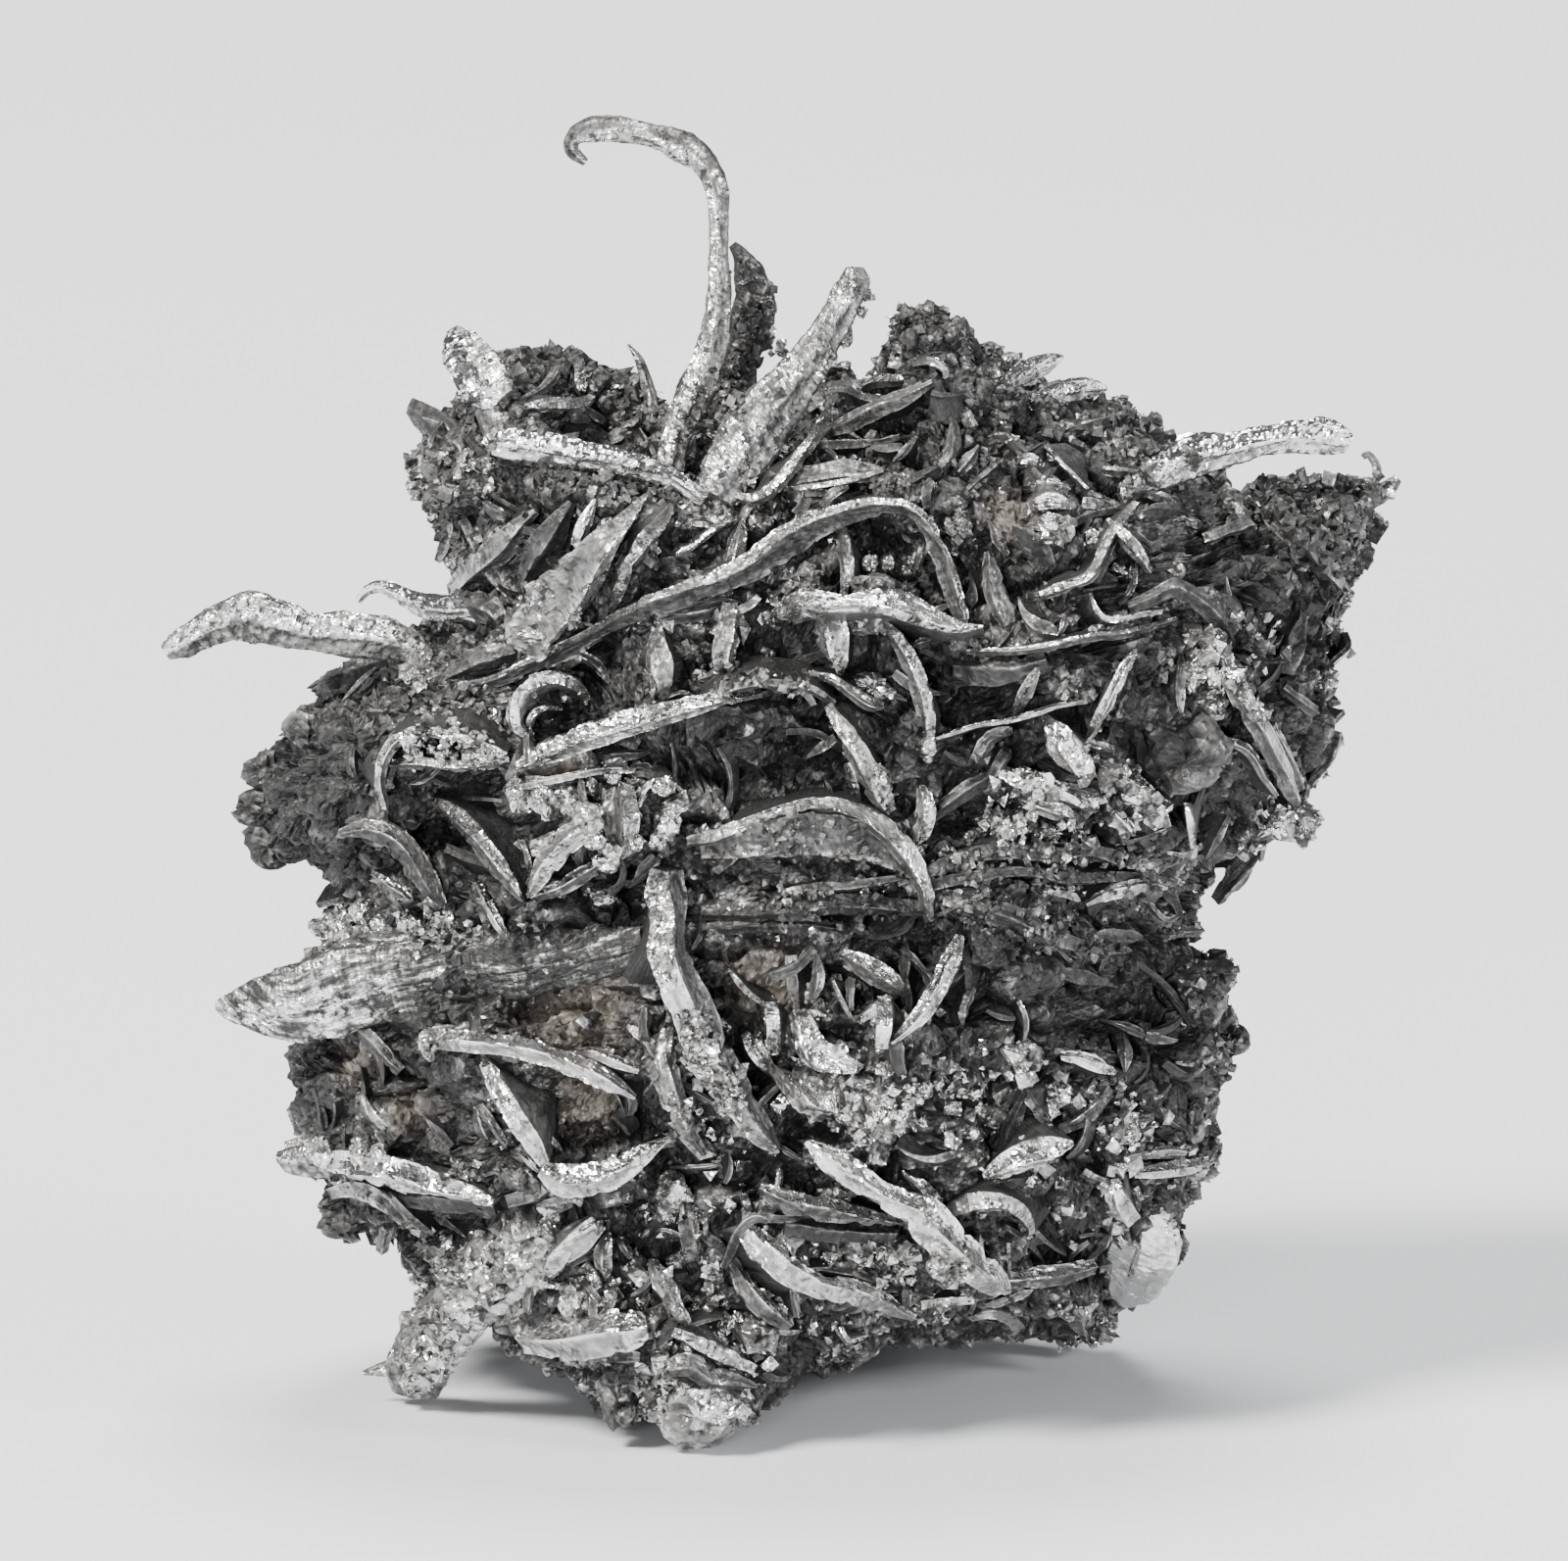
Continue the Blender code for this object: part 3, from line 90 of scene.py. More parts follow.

# Growths that stand clear of the mass. Each is (depth at its first point, depth at its last, tone,
# points), and each point is across, up and full width. A tone of several numbers gives the wire's two
# sides their own tones, and their difference is painted light and shade: one side painted lit, one shaded.
freeGrowths = {
    "hook wire": (None, -1, (0.82, 0.45, 0), [(-4.15, 33.8, 1), (-4, 35, 1), (-3.55, 36, 1.15),
     (-3.1, 37, 1.2), (-2.75, 38, 1.15), (-2.5, 39, 0.95), (-2.38, 40, 0.82), (-2.4, 41, 0.72),
     (-2.38, 42, 0.66), (-2.4, 43, 0.72), (-2.5, 44.1, 0.8), (-2.95, 45, 0.9), (-3.8, 45.6, 1),
     (-5, 46.05, 0.9), (-6.2, 46.25, 0.9), (-7.1, 46.22, 0.85), (-7.65, 45.95, 0.6), (-7.7, 45.5, 0.5),
     (-7.25, 45.1, 0.3)]),
    "side sprig": (-3, -1.6, (0.02, 0.14, 0.3), [(-2.6, 35, 0.8), (-2.1, 36.5, 1.1), (-1.7, 37.8, 1.3),
     (-1.3, 39, 1.4), (-1.15, 40, 1.4), (-1.25, 40.9, 1.1), (-1.6, 41.7, 0.6), (-1.9, 42.1, 0.3)]),
    "sprig blade": (-3, -2.8, 0.25, [(-1.9, 35.2, 0.6), (-1.4, 36.9, 0.7), (-1.1, 38, 0.2)]),
    "top left horn": (-4.6, -7.2, (0.7, 0.9, 0), [(-12.05, 38.95, 0.5), (-11.75, 38.35, 1.4),
     (-11.3, 37.7, 1.75), (-10.8, 37.1, 1.85), (-10.4, 36.65, 1.6), (-10.15, 36.35, 0.9)]),
    "horn neck": (-6, -8.2, 0.5, [(-11, 37, 0.8), (-10.6, 35.9, 1.15), (-10.1, 35.1, 1.3),
     (-9.3, 34.6, 1)]),
    "shelf arm": (-8.2, -8.6, (0.9, 0.5, 0.1), [(-10.6, 34.8, 0.8), (-9.6, 34.75, 1.15), (-8.5, 34.55, 1.1),
     (-7.3, 34.35, 1), (-6, 34.1, 0.9), (-5, 33.85, 0.8), (-4.1, 33.6, 0.7), (-3.5, 33.2, 0.6),
     (-2.9, 32.7, 0.5)]),
    "big top spike": (-8.8, -4.6, (0.85, 0.5, -0.1), [(-2.5, 32.8, 1.2), (-2, 33.8, 2), (-1.3, 34.9, 2.2),
     (-0.5, 36, 2), (0.3, 37, 1.6), (1, 38, 1.35), (1.6, 38.9, 1.2), (2.1, 39.8, 1.15), (2.5, 40.6, 1.1),
     (2.55, 41.2, 0.6)]),
    "right arm": (None, -3, 0.85, [(12.2, 32.9, 0.8), (12.9, 33.3, 0.9), (13.9, 33.8, 1.1), (15, 34.4, 1.5),
     (16.2, 34.6, 1.1), (17.5, 34.9, 1), (18.8, 35.1, 1.05), (19.8, 35.1, 1.2), (20.6, 34.9, 0.8)]),
    "left arm": (-3.6, None, (0.95, 0.4, 0.1), [(-22.6, 27.2, 0.6), (-22.1, 27.5, 1), (-21.4, 27.9, 1.15),
     (-20.5, 28.3, 1.3), (-19.5, 28.5, 1.7), (-18.4, 28.25, 1.6), (-17.3, 28, 1.3), (-16.2, 27.9, 1.5),
     (-15, 27.8, 1.5), (-13.9, 27.5, 1.2), (-12.9, 26.9, 0.8)]),
    "left horn": (-4.6, -9.6, (0.86, 0.9, -0.2, 0.5), [(-20.8, 14.3, 0.3), (-20.2, 14.25, 1.1),
     (-19.4, 14.3, 1.9), (-18.5, 14.35, 2.6), (-17.6, 14.5, 2.9), (-16.6, 14.8, 2.9), (-15.5, 15.1, 2.8),
     (-14.3, 15.35, 2.7), (-13, 15.5, 2.6), (-11.6, 15.65, 2.4), (-10.2, 15.8, 2.2), (-9, 15.9, 1.8)]),
    "horn band": (-9.4, None, (0.3, 0.22, 0.1), [(-11.4, 15.7, 2), (-9.6, 15.9, 2.3), (-7.8, 16.15, 2.1),
     (-6.2, 16.4, 1.7), (-5, 16.6, 1.2)]),
    "lower left foot": (None, -2.2, 0.85, [(-8.4, 6.2, 2.2), (-9, 5.5, 2.4), (-10.5, 4.5, 2.6),
     (-11.8, 3.2, 2.4), (-12.8, 2, 2.2), (-13.4, 1, 2.2), (-13.5, 0.1, 1.6)]),
    "foot spur": (-2.4, -2.2, 0.8, [(-13.6, 1, 0.8), (-14.3, 0.9, 0.7), (-15.5, 0.7, 0.15)]),
    "left finger": (-2.4, -4.6, (1, 0.6, 0), [(-18.6, 8.7, 0.4), (-18.1, 8.6, 0.9), (-17.2, 8.55, 1.1),
     (-16.2, 8.5, 1), (-15.4, 8.4, 0.6)]),
    "right horn": (-1, -0.4, 0.5, [(18.8, 31.6, 1), (19.6, 32.2, 0.9), (20.8, 32.6, 0.9), (21.9, 33.1, 0.7),
     (22.5, 33.6, 0.3)]),
    "horn curl": (-0.8, -0.6, 0.6, [(20.4, 32.9, 0.6), (21, 33.3, 0.5), (21.6, 33.5, 0.4), (21.7, 34, 0.3),
     (21.4, 34.45, 0.25), (21.2, 34.35, 0.2)]),
    "granular ridge": (-2, -0.7, 0.45, [(17.2, 33.1, 0.8), (18.1, 33.3, 0.7), (19.5, 33.3, 0.7),
     (21, 33.4, 0.6)]),
    "far left blade": (-1.6, None, 0.3, [(-13.6, 36.2, 0.6), (-12.6, 35.5, 1), (-11.8, 34.8, 1),
     (-10.8, 34, 0.8)]),
    "crest spike": (-2.6, -2.6, 0.6, [(-4.5, 35, 0.6), (-5.2, 37.6, 0.35), (-5.7, 38.45, 0.1)]),
    "barrel": (-5.9, -2, (1, 0.85, 0.1), [(13.35, 6.8, 0.9), (13.3, 6.2, 1.9), (13.2, 5.4, 2.5),
     (13, 4.6, 2.5), (12.75, 3.9, 2), (12.5, 3.4, 0.9)]),
    "left blade": (-1.6, None, (1, 0.6, 0.2), [(-15.6, 29.1, 0.25), (-15.2, 29.5, 0.35), (-14.6, 29.6, 0.5),
     (-14, 29.3, 0.65), (-13.2, 28.95, 0.8), (-12.3, 28.8, 0.85), (-11.5, 28.75, 0.7), (-10.8, 28.3, 0.4)]),
    "upper crest leaf": (None, -1.6, (1, 0.6, 0.2), [(7.9, 36.9, 0.4), (8.5, 37.3, 0.7), (9.1, 37.6, 0.85),
     (9.7, 37.8, 0.7), (10.2, 38, 0.15)]),
    "lower crest leaf": (None, -1.8, (1, 0.6, 0.2), [(9, 36.2, 0.4), (9.7, 36.55, 0.75), (10.5, 36.8, 0.9),
     (11.2, 36.85, 0.75), (11.8, 36.85, 0.15)])}
# Blades and ribs that lie on the mass. Each is (how far its ridge stands off, tone, points), and each
# point is across, up and full width. A tone of several numbers gives the two faces their own tones, and
# their difference is painted light and shade: one face painted lit, the other shaded.
upperFaceBlades = [
    (1.3, (0.95, 0.8, -0.3), [(-1.95, 33, 0.25), (-1.6, 32.8, 0.45), (-1, 32.75, 0.55), (-0.3, 33.2, 0.6),
     (0.3, 33.9, 0.6), (0.9, 34.7, 0.55), (1.35, 35.4, 0.5), (1.7, 36.2, 0.3)]),
    (1.1, (0.9, 0.38, -0.55), [(-11.8, 25.9, 0.4), (-10.6, 26.1, 0.5), (-9.4, 26.6, 0.6), (-8.2, 27.2, 0.6),
     (-7, 27.8, 0.6), (-6, 28.35, 0.7), (-5, 28.8, 0.8), (-4, 29.1, 0.9), (-3, 29.5, 1), (-2, 29.9, 1),
     (-1, 30.4, 1.2), (0, 31.1, 1.3), (1, 31.7, 1.1), (2, 32.1, 0.9), (3, 32.4, 0.8), (4, 32.45, 0.7),
     (4.7, 32.2, 0.65), (5.2, 31.7, 0.6), (5.5, 31.1, 0.6), (5.8, 30.3, 0.7), (6.1, 29.4, 0.7),
     (6.4, 28.6, 0.6), (6.5, 28.1, 0.3)]),
    (0.5, 0.35, [(-5, 28.3, 0.4), (-4, 28.5, 0.7), (-3, 28.7, 0.8), (-2.2, 28.9, 0.4)]),
    (1.9, (1, 1, 0.85), [(-0.6, 28.25, 0.15), (0, 28.7, 0.75), (0.8, 29, 0.95), (1.6, 28.95, 0.8),
     (2.3, 28.9, 0.7), (3.2, 29, 0.95), (4, 28.95, 1.15), (4.8, 28.65, 1.1), (5.6, 28.3, 0.8),
     (6.4, 28.1, 0.5), (7.2, 28.1, 0.1)]),
    (1.4, (0.9, 0.8, 0), [(1.6, 28.3, 1.5), (1.8, 27.4, 1.3), (1.95, 26.8, 0.8), (2, 26.35, 0.15)]),
    (1.2, (0.95, 0.5, 0), [(0.05, 26.3, 0.25), (0.9, 26.35, 0.35), (1.7, 26.2, 0.4), (2.4, 25.75, 0.5),
     (3.1, 25.3, 0.6), (3.6, 25.2, 0.4)]),
    (1.2, (0.9, 0.4, 0.1), [(3.7, 28.1, 0.4), (4.2, 27.5, 0.6), (4.6, 26.7, 0.7), (4.95, 25.8, 0.75),
     (5.15, 24.9, 0.7), (5.25, 24, 0.4)]),
    (0.7, 0.65, [(2.1, 31.6, 0.45), (2.25, 30.7, 0.6), (2.35, 29.6, 0.5)]),
    (0.9, (0.95, 0.75, 0.2), [(-1.5, 32, 0.15), (-1.6, 31.3, 0.5), (-1.8, 30.4, 0.7)]),
    (0.9, (0.9, 0.75, -0.2), [(-1.9, 28.9, 0.7), (-2, 28, 0.95), (-2.15, 27.2, 0.95), (-2.2, 26.4, 0.6)]),
    (0.8, (0.65, 0.6, -0.1), [(-4.6, 28.3, 0.5), (-4.6, 27.4, 0.9), (-4.5, 26.6, 1.25),
     (-4.35, 25.7, 0.5)]),
    (0.7, (0.55, 0.4, 0.3), [(7.4, 30.8, 0.35), (7.5, 30, 0.75), (7.8, 29, 0.9), (8.1, 28.2, 0.6)]),
    (1.3, (0.7, 0.9, 0.6), [(-9.5, 27.2, 1.4), (-9.1, 27.9, 2.2), (-8.5, 28.8, 2.4), (-7.8, 29.6, 2.1),
     (-7.1, 30.4, 1.6), (-6.3, 31.4, 1), (-5.5, 32.3, 0.5), (-5, 32.9, 0.15)]),
    (0.8, (0.65, 0.42, 0), [(-12.1, 29.5, 0.7), (-11.2, 30.2, 1.2), (-10.3, 31, 1.1), (-9.6, 31.8, 0.7),
     (-9, 32.3, 0.3)]),
    (0.4, 0.25, [(-9.3, 29.9, 0.9), (-8.7, 31, 1.3), (-8, 32.1, 0.8), (-7.7, 32.6, 0.4)]),
    (0.8, 0.85, [(-7.5, 31.1, 0.5), (-7.2, 31.9, 0.55), (-6.85, 32.7, 0.15)]),
    (0.9, (0.75, 0.3, 0), [(-5.6, 30.4, 0.5), (-5.1, 31.1, 0.9), (-4.5, 31.9, 0.8), (-4.1, 32.5, 0.3)]),
    (0.8, 0.9, [(-3.9, 30.7, 0.2), (-3.2, 31.1, 0.3), (-2.6, 31.6, 0.3), (-2.1, 31.9, 0.3),
     (-1.9, 32.4, 0.25)]),
    (0.6, 0.8, [(-3.5, 31.85, 0.2), (-3, 31.8, 0.3), (-2.4, 31.75, 0.2)]),
    (1.2, 0.45, [(-11.7, 28.9, 0.9), (-11.1, 28.8, 1.2), (-10.6, 28.6, 1.1), (-10.4, 28.3, 0.6)]),
    (1.9, (0.6, 0.97, 0), [(-7.1, 25.5, 0.3), (-7.5, 26, 0.5), (-8.2, 26.25, 0.55), (-9, 26.15, 0.6),
     (-9.6, 25.7, 0.6), (-9.85, 25, 0.6), (-9.75, 24.4, 0.5), (-9.4, 24.1, 0.35)]),
    (1.2, 0.9, [(-9.3, 24.3, 0.3), (-9.1, 24.9, 0.35), (-8.6, 25.15, 0.3), (-8.1, 25.1, 0.15)]),
    (1.2, 0.7, [(-9.3, 24.3, 0.5), (-9.2, 23, 0.35)]),
    (1.5, (0.97, 0.55, 0.25), [(-9.7, 23, 0.35), (-8.9, 23.4, 0.7), (-8, 23.75, 0.9), (-7, 24.15, 1),
     (-6, 24.5, 1), (-5, 24.8, 0.95), (-4, 25.05, 0.85), (-3, 25.3, 0.7), (-2, 25.5, 0.5),
     (-0.8, 25.7, 0.3)]),
    (1.2, (0.6, 0.3, -0.3), [(-3, 25.4, 0.5), (-2, 25.8, 0.5), (-1, 26, 0.5), (0, 25.95, 0.5),
     (1, 25.8, 0.4), (1.8, 25.3, 0.3)]),
    (1.3, (0.95, 0.6, 0), [(-14.5, 21.5, 0.3), (-14.7, 22.5, 0.45), (-14.5, 23.4, 0.5), (-13.9, 24.1, 0.5),
     (-13, 24.3, 0.45), (-12, 24.1, 0.45), (-11, 23.8, 0.45), (-10.1, 23.4, 0.4)]),
    (1.1, (0.95, 0.5, 0), [(-14.3, 23.1, 0.45), (-13.3, 23.15, 0.5), (-12.2, 23.05, 0.45),
     (-11, 23.1, 0.45), (-10, 23.25, 0.4)]),
    (0.7, 0.6, [(-14, 24.3, 0.3), (-12.7, 24.7, 0.35), (-11.2, 24.8, 0.25)]),
    (0.6, (0.5, 0.35, 0.2), [(1.3, 35.2, 0.3), (2.3, 35.5, 0.7), (3.3, 36, 0.8), (4.3, 36.4, 0.7),
     (5.4, 37, 0.3)]),
    (0.6, (0.75, 0.2, -0.5), [(1, 34.7, 0.3), (2, 34.75, 0.4), (3.2, 34.8, 0.3), (4.2, 35, 0.2)]),
    (0.5, 0.3, [(3.2, 34.6, 0.3), (3.8, 34.5, 0.6), (4.3, 34.6, 0.4)]),
    (0.7, 0.8, [(4, 34.1, 0.2), (4.4, 34.5, 0.3), (4.8, 35, 0.15)]),
    (0.7, (0.5, 0.6, 0.5), [(0, 33.25, 0.3), (0.9, 33.5, 0.8), (2, 33.75, 0.9), (3, 33.7, 0.7),
     (3.6, 33.75, 0.3)]),
    (0.9, 0.8, [(0, 33.1, 0.2), (1.2, 33.2, 0.25), (2.4, 33.4, 0.25), (3.4, 33.7, 0.2)]),
    (0.5, 0.45, [(0.2, 32.9, 0.3), (1, 33, 0.4), (1.7, 32.95, 0.3)]),
    (0.6, 0.5, [(1.4, 32.5, 0.3), (1.8, 32.9, 0.5), (2.3, 33.2, 0.3)]),
    (0.6, 0.6, [(5.2, 32.4, 0.3), (5.1, 32.9, 0.5), (5.3, 33.4, 0.3)]),
    (0.5, 0.45, [(5.7, 33.9, 0.3), (6, 34.3, 0.5), (6.1, 34.8, 0.3)]),
    (0.7, 0.8, [(5.05, 31.2, 0.2), (4.95, 30.7, 0.35), (4.8, 30.2, 0.3)]),
    (0.9, 0.9, [(1.5, 36.75, 0.3), (2.3, 36.75, 0.35), (3, 36.5, 0.4), (3.8, 36.45, 0.4), (4.5, 36.7, 0.3),
     (5, 37, 0.15)]),
    (0.6, (0.9, 0.3, -0.2), [(2.9, 36.8, 0.3), (3.3, 37.05, 0.5), (4, 37.1, 0.5), (4.5, 37.1, 0.3)]),
    (0.6, 0.9, [(4.1, 37.4, 0.2), (4.7, 37.75, 0.4), (5.3, 37.8, 0.4), (5.8, 37.5, 0.35),
     (5.9, 37.2, 0.2)]),
    (0.8, 0.95, [(-7.7, 38.3, 0.3), (-7.4, 37.6, 0.75), (-7.4, 36.7, 0.3)]),
    (0.8, (0.9, 0.6, 0.2), [(-9.4, 36.1, 0.3), (-8.3, 36.2, 0.6), (-7.4, 36.2, 0.6), (-7, 36.5, 0.3)]),
    (0.6, 0.6, [(-12.2, 32, 0.3), (-12.4, 31.3, 0.55), (-12.7, 30.6, 0.3)]),
    (0.7, 0.65, [(-10.9, 32.6, 0.3), (-10.5, 32.3, 0.5), (-10, 32.1, 0.3)]),
    (0.6, (0.3, 0.5, 0), [(-13.7, 36.1, 0.4), (-13.1, 35.7, 0.9), (-12.4, 35.4, 0.9), (-12, 35, 0.4)]),
    (0.9, 0.75, [(9.5, 34.7, 0.2), (10, 34.1, 0.25), (10.5, 33.6, 0.25), (11, 33.1, 0.2)]),
    (0.5, 0.5, [(10.9, 32.5, 0.7), (11.7, 32.4, 0.7)]),
    (0.5, 0.3, [(10.9, 35.4, 0.5), (11.8, 35.6, 0.5)]),
    (0.5, 0.4, [(-12.3, 26.2, 0.5), (-11, 26.9, 1.1), (-9.8, 27.2, 0.7)]),
    (0.5, 0.35, [(6.2, 26.6, 0.8), (7.2, 26.5, 1.2), (8.3, 26.5, 1), (9.5, 26.9, 0.6)]),
    (0.6, 0.7, [(4.6, 27.35, 0.2), (5, 27.5, 0.4), (5.3, 27.6, 0.2)]),
    (0.4, 0.25, [(-17, 25.9, 1), (-15.8, 26.4, 1.3), (-14.5, 26.8, 0.8)]),
    (1.3, (1, 0.9, 0.3), [(8.4, 34.1, 0.35), (8.9, 34.15, 0.55), (9.35, 33.95, 0.3)]),
    (1.4, (1, 0.9, 0.3), [(8.9, 33.2, 0.4), (9.6, 33.3, 0.65), (10.3, 33.1, 0.35)]),
    (1.5, (1, 0.9, 0.3), [(8.95, 32.5, 0.45), (9.7, 32.65, 0.7), (10.4, 32.5, 0.35)]),
    (1.4, (1, 0.9, 0.3), [(9.05, 31.8, 0.45), (9.7, 31.9, 0.75), (10.45, 31.8, 0.35)]),
    (1.2, (1, 0.9, 0.3), [(9.1, 31.3, 0.35), (9.6, 31.35, 0.5), (10.2, 31.4, 0.3)])]
rightFaceBlades = [
    (1, (0.85, 0.55, 0), [(9.3, 29.2, 0.45), (10.2, 29.55, 0.5), (11, 29.85, 0.5), (11.35, 30.3, 0.5),
     (11.6, 30.9, 0.5), (11.9, 31.5, 0.5), (12.3, 32, 0.5), (12.8, 32.6, 0.35)]),
    (1.2, (0.95, 0.5, 0.1), [(11.75, 32, 0.2), (12.2, 31.5, 0.5), (12.8, 30.8, 0.55), (13.3, 30.1, 0.2)]),
    (1, 0.9, [(11.1, 29.3, 0.2), (11.25, 28.9, 0.25), (11.6, 28.45, 0.3), (12.2, 28.4, 0.3),
     (13, 28.6, 0.3), (13.7, 28.7, 0.25)]),
    (1, 0.35, [(12.5, 28.8, 0.5), (13.5, 29.2, 0.65), (14.3, 29.5, 0.8), (15.2, 29, 0.8), (15.8, 28.4, 0.8),
     (16.2, 27.7, 0.6)]),
    (0.9, (0.85, 0.35, -0.3), [(6.6, 27.2, 0.2), (8, 27.2, 0.3), (9.5, 27.35, 0.35), (11, 27.7, 0.35),
     (12.2, 27.8, 0.35), (13.3, 28.1, 0.3), (14.3, 28.4, 0.25)]),
    (1.7, (0.6, 0.97, 0), [(12.7, 27.2, 0.25), (12.3, 26.5, 0.45), (11.9, 25.7, 0.45), (11.5, 24.9, 0.5),
     (11.2, 24.3, 0.4), (10.9, 23.9, 0.15)]),
    (1.2, (0.7, 0.95, 0), [(9.2, 26.6, 0.2), (8.9, 26, 0.5), (8.6, 25.4, 0.5), (8.35, 24.8, 0.25)]),
    (0.9, 0.85, [(5.5, 24.05, 0.14), (7, 24.5, 0.2), (8.2, 24.7, 0.2), (9.2, 25, 0.25), (10, 25.25, 0.2),
     (11, 25.4, 0.2)]),
    (0.7, 0.8, [(13, 33, 0.3), (13.8, 32.8, 0.5), (14.4, 32.5, 0.35)]),
    (0.8, 0.7, [(11.6, 33.8, 0.3), (12.6, 33.7, 0.5), (13.4, 33.6, 0.6)]),
    (1.6, (0.9, 0.5, 0), [(15.3, 28.1, 0.5), (15.8, 27.2, 0.8), (16.3, 26.2, 0.9), (16.8, 25.2, 0.8),
     (17.4, 24.3, 0.8), (17.9, 23.4, 0.8), (18.4, 22.4, 0.8), (18.8, 21.6, 0.4)]),
    (0.9, 0.6, [(17.7, 24.5, 0.5), (18.3, 23.4, 0.6), (18.9, 22.2, 0.4)]),
    (1.1, 0.8, [(16, 24, 0.3), (16.9, 23.6, 0.4), (17.5, 22.7, 0.4), (18, 22, 0.25)]),
    (1.7, (0.98, 0.7, 0), [(9.4, 24.9, 0.3), (10, 24, 1.2), (10.6, 23.2, 1.3), (11.1, 22.6, 0.6)]),
    (0.9, 0.7, [(10.5, 24, 0.6), (11.9, 23.6, 0.4)]),
    (1.3, (0.95, 0.6, 0), [(11.3, 23.1, 0.5), (12.2, 22.7, 0.9), (13, 22.1, 0.9), (13.6, 21.5, 0.8),
     (14, 20.9, 0.3)]),
    (0.7, 0.75, [(8, 22.4, 0.3), (9.5, 22.4, 0.45), (11.4, 22, 0.35)]),
    (0.7, 0.8, [(9, 21.5, 0.35), (10.3, 21.8, 0.5), (11.4, 21.5, 0.35)]),
    (0.8, 0.9, [(12, 21.2, 0.8), (12.6, 20.6, 0.6)]),
    (1.2, 0.95, [(14.6, 21.7, 0.15), (14.8, 20.9, 0.35), (14.9, 20.1, 0.25)]),
    (1, 0.7, [(16.2, 21.2, 0.25), (15.8, 20.4, 0.45), (15.4, 19.6, 0.25)]),
    (0.8, 0.8, [(13.8, 19.9, 0.15), (15, 19.7, 0.25)]),
    (0.8, 0.4, [(17.2, 19.8, 0.8), (16.6, 19, 0.9), (15.9, 18.1, 0.5)]),
    (0.8, 0.6, [(11.1, 18.1, 0.2), (12, 18.5, 0.7), (13.5, 19, 0.25)]),
    (0.5, 0.5, [(13.2, 18.1, 0.3), (13.9, 17.4, 0.35), (14.5, 17.6, 0.25)]),
    (0.5, 0.3, [(14, 17, 0.5), (15.3, 17, 0.45)]),
    (0.6, 0.7, [(20.6, 27.9, 0.35), (20.7, 27.4, 0.35), (20.1, 26.8, 0.3)]),
    (0.6, 0.6, [(20.5, 25, 0.3), (19.9, 24.5, 0.35), (19.3, 24.1, 0.25)]),
    (0.6, 0.55, [(20.4, 24.2, 0.5), (19.9, 23.2, 0.65), (19.3, 22.4, 0.4)]),
    (0.5, 0.3, [(18.9, 28.6, 0.6), (18.6, 27.4, 0.95), (18.4, 26.4, 0.6)]),
    (0.7, 0.7, [(16.7, 27.6, 0.5), (17.8, 27.2, 0.5)]),
    (0.5, 0.4, [(18.2, 25.9, 0.4), (19.4, 25, 0.5)]),
    (0.6, 0.45, [(15.3, 31.3, 0.5), (17, 31.9, 0.6)]),
    (0.7, 0.4, [(17.4, 32.5, 0.7), (18.5, 31.6, 1), (19.4, 30.6, 1), (20.6, 29.4, 0.5)])]
